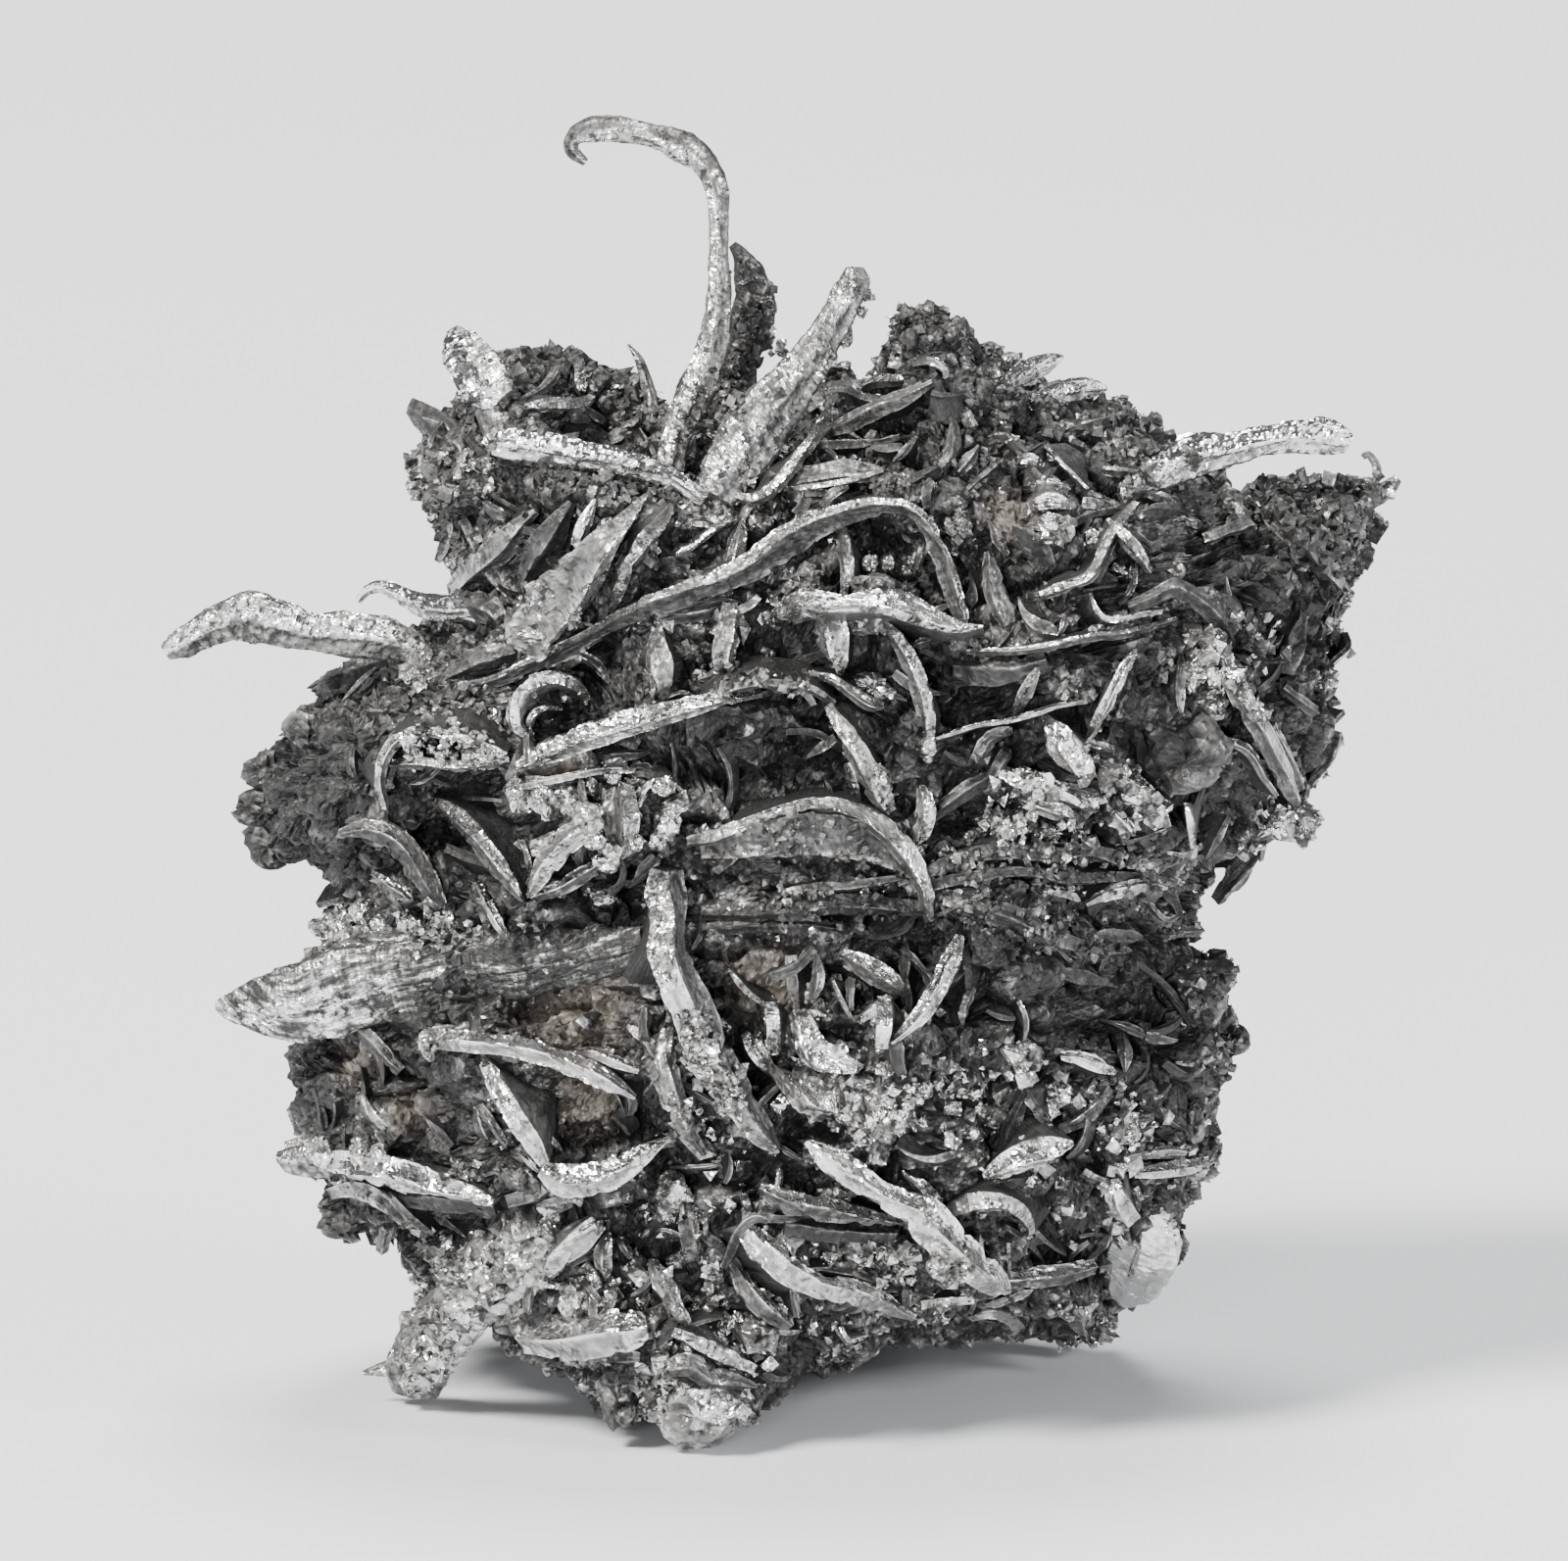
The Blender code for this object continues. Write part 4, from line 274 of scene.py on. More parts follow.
middleBlades = [
    (1.2, (0.8, 0.45, 0.2), [(-3.5, 20.3, 0.4), (-2.5, 20.5, 0.6), (-1.2, 21, 0.55), (0, 21.4, 0.6),
     (1.3, 21.65, 0.6), (2.4, 21.45, 0.75), (3.4, 20.95, 0.9), (4.2, 20.2, 0.9), (4.8, 19.3, 0.8),
     (5.15, 18.4, 0.7), (5.3, 17.4, 0.2)]),
    (0.5, (0.4, 0.15, 0.2), [(-0.1, 18.4, 0.3), (1, 18.6, 0.4), (2.5, 18.7, 0.4), (4.3, 19, 0.3)]),
    (0.7, (0.16, 0.06, 0.3), [(-3, 17.7, 0.5), (0, 17.8, 0.8), (2, 18, 0.8), (5, 17.9, 0.55)]),
    (0.5, (0.14, 0.05, 0.3), [(-3, 17.1, 0.45), (0, 17.3, 0.7), (3, 17, 0.45)]),
    (0.8, (0.3, 0.12, 0.1), [(5.1, 19.1, 0.6), (6.5, 19.7, 0.8), (8.1, 19.9, 0.8), (9.7, 19.75, 0.8),
     (11.2, 19.9, 0.7), (13.1, 19.5, 0.6), (15.2, 19.7, 0.3)]),
    (0.6, (0.22, 0.08, 0.2), [(5.3, 18.7, 0.5), (6.8, 19, 0.6), (8.5, 19.2, 0.5), (10.4, 18.95, 0.6),
     (12.5, 19, 0.5), (14.2, 18.8, 0.4), (15.2, 18.6, 0.3)]),
    (0.5, 0.5, [(5.6, 17.6, 0.25), (6.5, 18, 0.3), (7.4, 18.3, 0.2)]),
    (0.5, (0.26, 0.08, 0), [(5.8, 18.1, 0.5), (7.2, 17.9, 0.8), (8.6, 17.4, 0.9), (10.2, 16.6, 0.8),
     (12.4, 16.3, 0.5)]),
    (0.9, 0.8, [(-6, 22.2, 1.2), (-5.9, 21, 1.3), (-5.9, 19.9, 0.8)]),
    (0.8, 0.8, [(-3.8, 21.9, 0.6), (-4.4, 20.6, 0.7)]),
    (1.2, (0.65, 0.95, 0), [(-9.25, 18.3, 0.3), (-8.8, 19.2, 0.8), (-8.1, 20.1, 1), (-7.3, 20.8, 0.9),
     (-6.6, 21.1, 0.3)]),
    (1, (0.9, 0.5, 0), [(-9.1, 18.3, 0.35), (-8.2, 18.6, 0.6), (-7.3, 19.1, 0.6), (-6.5, 19.6, 0.3)]),
    (0.8, 0.7, [(-9.5, 20.3, 0.3), (-9.2, 19.2, 0.25)]),
    (1.3, (0.9, 0.3, -0.55), [(-12.9, 21.8, 0.3), (-12.1, 21.4, 0.9), (-11.3, 20.6, 1.1), (-10.6, 19.7, 1),
     (-10, 18.9, 0.7), (-9.5, 18.1, 0.15)]),
    (1.2, (0.75, 0.3, 0.1), [(-16.2, 20.6, 0.3), (-15.1, 20.75, 0.8), (-14.2, 20.4, 1), (-13.4, 19.5, 1),
     (-12.9, 18.7, 0.8), (-12.4, 18, 0.3)]),
    (0.9, 0.75, [(-15, 19.1, 0.35), (-14.2, 18.6, 0.55), (-13.6, 18.1, 0.3)]),
    (1.1, 0.95, [(-11.1, 18.7, 0.25), (-10.7, 17.9, 0.4), (-10.3, 17.2, 0.4), (-9.9, 16.7, 0.25)]),
    (2, (0.5, 0.95, 0.1, 0.7), [(-4.25, 19.3, 1.2), (-4.3, 18.6, 1.6), (-4.25, 17.4, 1.6),
     (-4.2, 16.2, 1.6), (-3.75, 15.1, 1.6), (-3.2, 14, 1.65), (-2.9, 12.9, 1.7), (-2.3, 11.9, 1.6),
     (-1.6, 10.9, 1.35), (-1.1, 10.1, 1.2), (-0.6, 9.5, 0.9), (-0.2, 9, 0.2)]),
    (0.9, 0.9, [(-4.1, 13.5, 0.35), (-4.2, 12.2, 0.3)]),
    (0.9, (0.5, 0.7, 0), [(-4.2, 13.5, 0.5), (-4.3, 12.4, 0.8), (-4, 11.2, 0.8), (-3.6, 10, 0.7),
     (-2.9, 8.9, 0.3)]),
    (1.2, (0.8, 0.4, 0), [(1.6, 25.2, 0.5), (2.2, 24.3, 0.8), (2.8, 23.3, 0.9), (3.3, 22.3, 1),
     (3.8, 21.4, 0.6)]),
    (1.3, (0.95, 0.7, 0), [(5, 22.3, 0.4), (5.15, 21.5, 0.75), (5, 20.7, 0.7), (4.8, 20.2, 0.3)]),
    (0.8, 0.6, [(7, 23.3, 0.5), (7.5, 24.1, 0.7), (8.2, 24.3, 0.4)]),
    (0.8, 0.6, [(8.1, 23.6, 0.6), (7.4, 22.4, 0.5)]),
    (0.6, 0.3, [(5.3, 21.2, 0.5), (6.7, 22.2, 0.7), (8, 22.9, 0.4)]),
    (0.7, 0.9, [(8.2, 20.3, 0.4), (8.4, 20.9, 0.3)]),
    (0.9, 0.9, [(-16.9, 17, 0.3), (-16.3, 17.5, 0.4), (-15.3, 17.7, 0.45), (-14.6, 17.5, 0.3)]),
    (0.8, 0.9, [(-16.7, 16.5, 0.3), (-15.9, 17, 0.35), (-15, 17.1, 0.3)]),
    (0.8, 0.9, [(-16, 16.3, 0.45), (-15, 16.5, 0.6), (-13.2, 16.8, 0.5)]),
    (0.5, 0.4, [(-17.1, 17.95, 0.3), (-16, 18.2, 0.3)]),
    (1.2, 0.95, [(-13.4, 24.2, 0.25), (-13.5, 23.7, 0.3), (-13.6, 23.2, 0.3)]),
    (1.2, 0.9, [(-12.8, 24.2, 0.22), (-12.9, 23.6, 0.28), (-13, 23.1, 0.3)]),
    (1.2, 0.95, [(-12.1, 24, 0.22), (-12.2, 23.5, 0.28), (-12.3, 23, 0.3)]),
    (1.2, 0.85, [(-11.5, 23.8, 0.22), (-11.6, 23.4, 0.28), (-11.7, 23, 0.3)]),
    (1.2, 0.9, [(-10.8, 23.7, 0.2), (-10.9, 23.4, 0.25), (-11, 23, 0.3)]),
    (1, 1, [(-17, 16.9, 0.2), (-16.4, 17.3, 0.4), (-15.6, 17.6, 0.4), (-14.8, 17.5, 0.3)]),
    (0.9, 0.95, [(-16.6, 16.3, 0.2), (-15.8, 16.8, 0.4), (-14.9, 17, 0.4), (-14.1, 16.9, 0.2)]),
    (1.1, (0.6, 0.9, 0), [(11, 18, 0.15), (12, 18.45, 0.6), (13.4, 18.7, 0.5), (14, 18.6, 0.15)]),
    (0.9, 0.85, [(-3.6, 22, 0.2), (-4.3, 22.5, 0.25), (-5, 22.3, 0.25), (-5.3, 21.6, 0.25)]),
    (0.9, 0.85, [(-9.6, 22.3, 0.25), (-8.6, 22.5, 0.3), (-7.6, 22.7, 0.3), (-6.6, 22.9, 0.3),
     (-5.4, 22.9, 0.25)]),
    (0.9, 0.8, [(-7.4, 22.6, 0.25), (-7.2, 21.6, 0.3), (-6.6, 20.8, 0.25)]),
    (0.9, 0.8, [(-6.2, 22.8, 0.25), (-5.8, 21.9, 0.3), (-5.2, 21.2, 0.25)]),
    (1.3, (1, 0.8, 0.2), [(7.6, 22.9, 0.3), (8.4, 22.7, 0.8), (9.4, 22.4, 0.9), (10.3, 22, 0.6),
     (10.9, 21.6, 0.2)]),
    (1.2, (0.95, 0.6, 0.2), [(8.6, 21.9, 0.4), (9.4, 21.6, 0.7), (10.2, 21.3, 0.6), (10.9, 21, 0.2)]),
    (0.5, (0.4, 0.28, 0.3), [(-3, 20, 0.8), (-1, 20.4, 1.8), (1, 20.7, 2.2), (3, 20.3, 2),
     (4.4, 19.6, 1.2)])]
lowerFaceBlades = [
    (1.4, (0.97, 0.5, 0.1), [(-13.1, 13.2, 0.5), (-12.3, 13.15, 0.95), (-11.3, 13, 0.8),
     (-10.2, 12.9, 0.75), (-9, 12.65, 0.85), (-8, 12.3, 0.9), (-7, 11.9, 0.9), (-6.2, 11.5, 0.7),
     (-5.4, 11, 0.2)]),
    (0.6, 0.35, [(-15.8, 13.7, 0.5), (-15, 12.9, 0.7), (-14, 11.9, 0.5)]),
    (1.6, (0.6, 1, 0.1), [(-10.9, 12.3, 0.5), (-10.5, 11.5, 0.9), (-9.95, 10.5, 1.1), (-9.3, 9.5, 1.1),
     (-8.75, 8.6, 0.6)]),
    (1, 0.95, [(-9.6, 8.9, 0.25), (-8.9, 8.3, 0.2)]),
    (0.8, 0.6, [(-11.1, 10.7, 0.3), (-10.6, 10, 0.35), (-10.1, 9.2, 0.25)]),
    (0.8, 0.85, [(-15.4, 11, 0.3), (-15, 10.3, 0.4), (-14.5, 9.8, 0.3)]),
    (1.4, (0.97, 0.65, -0.1), [(-8.8, 8.4, 0.6), (-8.1, 8, 1.2), (-7.1, 8, 1.2), (-6.1, 8.3, 1.1),
     (-5.2, 8.9, 0.8), (-4.2, 9.5, 0.15)]),
    (2.6, (1, 0.8, -0.1), [(0.8, 9.4, 0.2), (1.6, 8.8, 0.9), (2.5, 8.2, 1.15), (3.3, 7.6, 1),
     (4.1, 7.2, 1.1), (5, 6.75, 1.5), (5.6, 6.1, 1.6), (6.3, 5.4, 1.5), (7.1, 4.7, 1.3), (7.8, 4.1, 1),
     (8.2, 3.8, 0.4)]),
    (1.3, (0.9, 0.55, 0), [(5.9, 6.7, 0.6), (6.8, 7.1, 0.9), (7.8, 7.15, 0.9), (8.6, 6.8, 0.7),
     (9, 6.2, 0.4), (8.9, 5.8, 0.2)]),
    (0.8, 0.6, [(8.1, 5.6, 0.3), (8.2, 4.6, 0.25)]),
    (1.4, (0.95, 0.5, -0.1), [(-0.9, 7.7, 0.3), (-0.2, 7.35, 0.9), (0.8, 7, 0.95), (2, 6.8, 0.85),
     (3.2, 6.6, 0.7), (4.3, 6.35, 0.2)]),
    (0.6, 0.3, [(0, 6.3, 0.8), (2, 6.1, 1), (4, 6, 0.7)]),
    (1.6, (1, 0.65, -0.1), [(-1.5, 6.2, 0.7), (-0.9, 5.6, 1.2), (-0.1, 4.9, 1.2), (0.7, 4.35, 1),
     (1.6, 4, 1), (2.6, 3.8, 0.95), (3.6, 3.4, 0.8), (4.8, 2.8, 0.25)]),
    (0.9, 0.8, [(0.3, 4.2, 0.4), (0.5, 3, 0.35)]),
    (1.2, 0.7, [(-2.2, 4.8, 0.35), (-1.9, 5.5, 0.45), (-1.6, 6.2, 0.45), (-1.1, 6.6, 0.4),
     (-0.6, 6.5, 0.25)]),
    (1, 0.6, [(-4.2, 1.1, 0.7), (-3.4, 1.2, 0.9), (-2.6, 0.7, 0.9), (-1.8, 0.6, 0.7), (-1, 0.35, 0.15)]),
    (0.7, 0.8, [(-4, 2.4, 0.7), (-2.6, 1.7, 0.95), (-1.2, 1, 0.6)]),
    (0.9, 0.85, [(-9.5, 2.2, 1.3), (-8, 2.2, 1.7), (-6.3, 2.4, 1.8), (-5, 2.6, 1.1)]),
    (1, 0.9, [(-8.4, 5.1, 0.7), (-8, 5.4, 1), (-7.4, 5.9, 1.1), (-6.7, 6.4, 0.6)]),
    (0.8, 0.8, [(-7.2, 4.8, 0.6), (-6.8, 4.1, 0.5)]),
    (0.8, 0.8, [(-6, 5.8, 0.4), (-5.6, 5.2, 0.35)]),
    (0.8, 0.8, [(-4.7, 4.6, 0.5), (-4.3, 3.8, 0.4)]),
    (0.7, 0.8, [(-5.2, 5.9, 0.2), (-4.8, 6.2, 0.2)]),
    (0.7, 0.6, [(-3.5, 6.5, 0.8), (-3.3, 5.1, 0.7)]),
    (0.8, 0.8, [(-1.5, 7.4, 0.3), (-1.3, 6.9, 0.3)]),
    (0.8, 0.9, [(2, 2.5, 0.3), (2.3, 2, 0.35), (2.9, 2.1, 0.25)]),
    (1.6, (0.65, 0.98, 0), [(6.4, 16.9, 0.3), (6.1, 16.1, 0.7), (5.6, 15.1, 0.75), (5.1, 14.2, 0.7),
     (4.5, 13.5, 0.5), (3.9, 13, 0.15)]),
    (1, 0.8, [(1.2, 16.2, 0.2), (1.2, 15.3, 0.6), (1, 14.5, 0.2)]),
    (0.9, 0.7, [(1.7, 15.3, 0.2), (2.4, 13.9, 0.2)]),
    (0.9, 0.7, [(2.4, 15.3, 0.35), (2.4, 14.2, 0.3)]),
    (1.3, (0.9, 0.45, 0), [(2.1, 16.2, 0.4), (2.9, 15.8, 0.9), (3.7, 15.3, 0.9), (4.5, 14.7, 0.2)]),
    (0.9, 0.7, [(4, 14.8, 0.5), (2.7, 13.8, 0.4)]),
    (1.3, (1, 0.9, 0), [(3.6, 14.5, 0.7), (3.55, 13.8, 0.9), (3.5, 13, 0.8)]),
    (1.2, (0.8, 1, 0), [(-0.5, 14.4, 0.6), (-0.45, 13.6, 0.85), (-0.4, 12.7, 0.6)]),
    (0.8, 0.8, [(-1, 13.3, 0.5), (-0.8, 12.3, 0.4)]),
    (1.5, 1, [(0.5, 14.1, 0.7), (0.8, 13.3, 1), (1.2, 12.6, 1.2), (1.9, 12.3, 1.1), (2.6, 12.1, 0.6)]),
    (0.9, 0.75, [(0.8, 12, 0.9), (0.3, 11, 0.6)]),
    (1.4, (1, 0.6, -0.1), [(7.3, 8.1, 0.3), (8.2, 8.5, 1.2), (9.1, 8.9, 1.5), (9.9, 9.1, 1.1),
     (10.5, 9.3, 0.3)]),
    (0.8, 0.8, [(8.5, 9.7, 0.5), (9.3, 9.6, 0.4)]),
    (1.2, (1, 0.7, 0), [(12.8, 8.15, 0.3), (13.7, 8.25, 0.55), (14.7, 8.35, 0.6), (15.7, 8.5, 0.4)]),
    (0.8, 0.7, [(15.4, 8.2, 0.4), (15.9, 9, 0.3)]),
    (0.7, 0.7, [(13, 8.85, 0.3), (14.6, 8.8, 0.25)]),
    (1.2, (1, 0.85, 0), [(10.1, 12.5, 0.3), (10.8, 12.4, 0.6), (11.5, 12.15, 0.6), (12.1, 11.9, 0.25)]),
    (0.8, 0.6, [(12, 7.4, 0.45), (12.3, 6.6, 0.5)]),
    (0.7, 0.6, [(12.3, 3.8, 0.6), (13, 3.6, 0.6), (12.9, 3, 0.4)]),
    (1, (0.85, 0.5, 0), [(7.9, 4.2, 0.5), (9, 4.3, 0.8), (10.2, 4.4, 0.8), (11.4, 4.7, 0.6)]),
    (1.1, (0.8, 0.5, 0), [(6.9, 2.8, 0.4), (7.6, 2.95, 0.6), (8.3, 2.7, 0.7), (8.6, 2.2, 0.7),
     (8.3, 1.8, 0.5)]),
    (0.8, 0.8, [(4.5, 3.9, 0.5), (4.5, 3.3, 0.4)]),
    (0.8, 0.8, [(5.1, 3.3, 0.5), (6.9, 3.5, 0.45)]),
    (0.8, (0.6, 0.3, 0), [(-16.8, 7.3, 0.5), (-15.6, 7.5, 0.9), (-14.5, 7, 1), (-13.4, 6.3, 0.7),
     (-12.8, 5.9, 0.3)]),
    (0.8, 0.55, [(-14.5, 7.4, 0.4), (-13.8, 6.6, 0.5), (-13, 6, 0.35)]),
    (0.6, 0.5, [(-14.6, 6.2, 0.6), (-14.8, 5.2, 0.45)]),
    (0.5, 0.25, [(-14, 7.3, 0.8), (-12.2, 7.2, 1), (-10.5, 7, 0.7)]),
    (1.7, (1, 0.7, 0.1, 0.8), [(-17.6, 8.6, 0.9), (-16.4, 8.5, 1.2), (-15.2, 8.35, 1.4), (-14, 8.1, 1.3),
     (-12.8, 7.8, 1.1), (-11.6, 7.5, 0.8), (-10.6, 7.1, 0.4)]),
    (1.1, (0.9, 0.6, 0), [(-0.4, 12.1, 0.5), (0.3, 11.4, 0.9), (1, 10.7, 1), (1.5, 10.3, 0.5)]),
    (1.1, (1, 0.7, 0), [(-1.4, 13.3, 0.4), (-1, 12.7, 0.7), (-0.5, 12, 0.5)]),
    (1, 0.9, [(8.5, 12.9, 0.4), (8.9, 12.5, 0.8), (9, 12, 0.5)]),
    (1.1, (0.95, 0.6, 0), [(13.3, 8.9, 0.3), (14, 9, 0.4), (14.7, 8.9, 0.25)]),
    (1.2, (0.75, 1, 0), [(12, 7.9, 0.5), (12.2, 7.2, 0.9), (12.6, 6.5, 0.9)]),
    (1, (0.95, 0.6, 0), [(10.3, 3.4, 0.5), (10.8, 2.8, 0.9), (11.1, 2.1, 0.5)]),
    (1, (0.95, 0.5, 0), [(-7, 6.6, 0.3), (-7.7, 5.9, 0.9), (-8.4, 5.1, 1), (-8.7, 4.5, 0.4)]),
    (1, (0.9, 0.6, 0.1), [(-6.4, 6, 0.3), (-6.6, 5.2, 0.7), (-6.5, 4.5, 0.5)]),
    (0.9, 0.9, [(-7.5, 12.7, 0.3), (-6.8, 12.6, 0.5), (-6.1, 12.3, 0.5), (-5.3, 12, 0.3)]),
    (1, (0.9, 0.5, 0), [(-1.9, 4.9, 0.4), (-1.3, 4, 0.9), (-0.6, 3.2, 0.9), (0.2, 2.6, 0.4)]),
    (1, (0.95, 0.6, 0.1), [(-4.8, 5, 0.4), (-4.4, 4.2, 0.8), (-3.9, 3.3, 0.7), (-3.5, 2.7, 0.3)]),
    (0.9, (0.9, 0.6, 0), [(5.6, 4.6, 0.3), (6.2, 5, 0.4), (6.6, 4.5, 0.4)])]

# Nuggets and knobs on the mass: across, up, radius and tone.
nuggets = [
    (10.25, 31.7, 0.35, 0.6), (3, 26.1, 0.5, 0.9), (3.55, 25.8, 0.38, 0.85), (5.25, 23.8, 0.25, 0.8),
    (3.1, 30.4, 0.36, 0.85), (3.75, 30.35, 0.34, 0.8), (6.4, 31.7, 0.4, 0.7), (4.5, 30.1, 0.22, 0.7),
    (2.1, 37.4, 0.42, 0.6), (11.1, 31.3, 0.3, 1), (12.15, 30.25, 0.25, 1), (12.6, 30, 0.22, 1),
    (8, 35.5, 0.28, 0.95), (8.3, 34.9, 0.22, 0.9), (7.5, 38.2, 0.36, 0.5), (8.3, 37.95, 0.3, 0.7),
    (14.6, 23.5, 1.75, 0.3), (14.8, 26.2, 0.42, 1), (15.4, 26.9, 0.38, 0.9), (15.4, 25.7, 0.35, 0.7),
    (15.7, 25.2, 0.35, 0.7), (18.4, 21.1, 0.9, 0.8), (19.8, 26.2, 0.5, 0.85), (17, 28.2, 0.3, 0.6),
    (17.5, 32.5, 0.5, 0.5), (-12.3, 34.3, 0.42, 0.8), (-11.5, 34.2, 0.36, 0.8), (-10.8, 34, 0.4, 0.8),
    (-12.1, 33.4, 0.42, 0.85), (-11.2, 33.2, 0.36, 0.8), (-10.6, 33.1, 0.36, 0.8), (-13.3, 34.3, 0.4, 0.75),
    (-13.4, 33.2, 0.34, 0.75), (-9.2, 27.8, 0.4, 0.95), (14.2, 30.1, 0.25, 0.5), (16.5, 32.3, 0.4, 0.5),
    (20.6, 29.2, 0.35, 0.9), (-13.4, 26.3, 0.65, 0.7), (-19, 22.9, 0.8, 0.3), (-19.1, 21.5, 0.9, 0.3),
    (-18.9, 20.2, 0.8, 0.3), (-17.4, 24.4, 0.9, 0.3), (-13.5, 17, 0.4, 0.8), (-12.5, 17.2, 0.3, 0.8),
    (-17.2, 9.4, 0.55, 0.8), (-13.4, 4.2, 0.3, 0.8), (-13.3, 3.4, 0.3, 0.8), (-16.2, 6.3, 0.9, 0.25),
    (-9.6, 21.9, 0.6, 0.8), (-8.5, 21.7, 0.5, 0.8), (-7.7, 21.8, 0.35, 0.8), (-7.1, 21.2, 0.5, 0.8),
    (-6.4, 19.6, 0.4, 0.95), (-6.6, 18.3, 0.4, 0.85), (3.5, 22.5, 0.5, 0.85), (-12.9, 12.9, 0.55, 0.8),
    (-0.9, 2.3, 0.9, 0.75), (-3.2, -0.4, 1.4, 0.85), (-4.5, -0.4, 0.6, 0.85), (-1.9, -0.6, 0.55, 0.85),
    (-6, -0.2, 0.8, 0.3), (-8.6, 1, 0.4, 0.7), (-7.1, 0.5, 0.45, 0.7), (-7.6, 3.7, 0.65, 0.8),
    (-6.6, 3.5, 0.3, 0.8), (-8.7, 4.2, 0.35, 0.8), (-5.4, 4.8, 0.4, 0.8), (-3.8, 3.2, 0.3, 0.8),
    (-4, 7.6, 0.8, 0.6), (3.7, 12, 0.3, 0.8), (2.9, 11.5, 0.4, 0.8), (8.8, 12.4, 0.5, 0.7),
    (10.3, 3.1, 0.4, 0.7), (10.6, 1.9, 0.7, 0.7), (11.8, 2.7, 0.5, 0.7), (5.6, 4.8, 0.45, 0.8),
    (6.5, 4.6, 0.4, 0.8), (15, 14.6, 0.9, 0.5), (15.8, 15.4, 0.7, 0.5), (16.6, 13, 0.6, 0.3),
    (15, 10, 0.6, 0.5), (-9.8, 22.2, 0.4, 0.95), (-9.4, 21.7, 0.42, 0.95), (-8.7, 21.8, 0.42, 0.9),
    (-7.9, 22.1, 0.38, 0.95), (-7.7, 21.5, 0.35, 0.9), (-7, 22.3, 0.36, 0.95), (-6.2, 22.6, 0.34, 0.95),
    (-5.3, 22.7, 0.34, 0.95), (-4.3, 22.3, 0.36, 0.95), (-3.9, 21.6, 0.36, 0.9), (-4.2, 20.9, 0.45, 1),
    (-4.6, 20.4, 0.36, 0.95), (-5.4, 20.3, 0.4, 1), (-6.2, 20.1, 0.42, 1), (-6.9, 20.3, 0.36, 0.95),
    (-6.5, 19.6, 0.34, 1), (-16.9, 8.9, 0.42, 1), (-15.5, 8.9, 0.5, 1), (-14.8, 9, 0.42, 1),
    (-17.3, 9.5, 0.32, 0.95), (-17, 17.1, 0.42, 1), (-16.2, 17.5, 0.45, 1), (-15.4, 17.8, 0.4, 1),
    (-14.7, 17.3, 0.4, 0.9), (-15.9, 16.8, 0.35, 0.9), (-13.9, 17.6, 0.32, 0.8), (6.8, 20.5, 0.3, 0.95),
    (8.3, 20.7, 0.28, 0.95), (9.4, 20.6, 0.32, 1), (10.8, 20.5, 0.26, 0.9), (-13.6, 23.8, 0.32, 0.95),
    (-12.8, 23.7, 0.3, 0.95), (-12.1, 23.55, 0.28, 0.95), (-11.4, 23.5, 0.25, 0.9),
    (-10.8, 23.4, 0.24, 0.9)]
# Knobs on the growths that stand clear: depth, across, up, radius and tone.
clearKnobs = [
    (-2.4, -0.7, 40.5, 0.36, 0.6), (-2.6, -0.55, 39.9, 0.34, 0.6), (-2.9, -1.2, 39.3, 0.3, 0.5),
    (-2.8, -0.7, 38.8, 0.36, 0.5), (-3.1, -1.5, 38.2, 0.34, 0.4), (-2.4, -1.3, 41.3, 0.3, 0.5),
    (-3.3, -1.9, 36.9, 0.3, 0.4), (-5.3, 2.25, 38.7, 0.34, 0.8), (-5, 2.85, 39.6, 0.3, 0.85),
    (-4.8, 2.95, 40.25, 0.26, 0.85), (-6.2, 1.5, 37.9, 0.4, 0.7), (-5.8, -0.1, 38.1, 0.22, 0.7),
    (-0.1, 21.1, 32, 0.7, 0.6), (-0.2, 20.8, 30.9, 0.7, 0.5)]

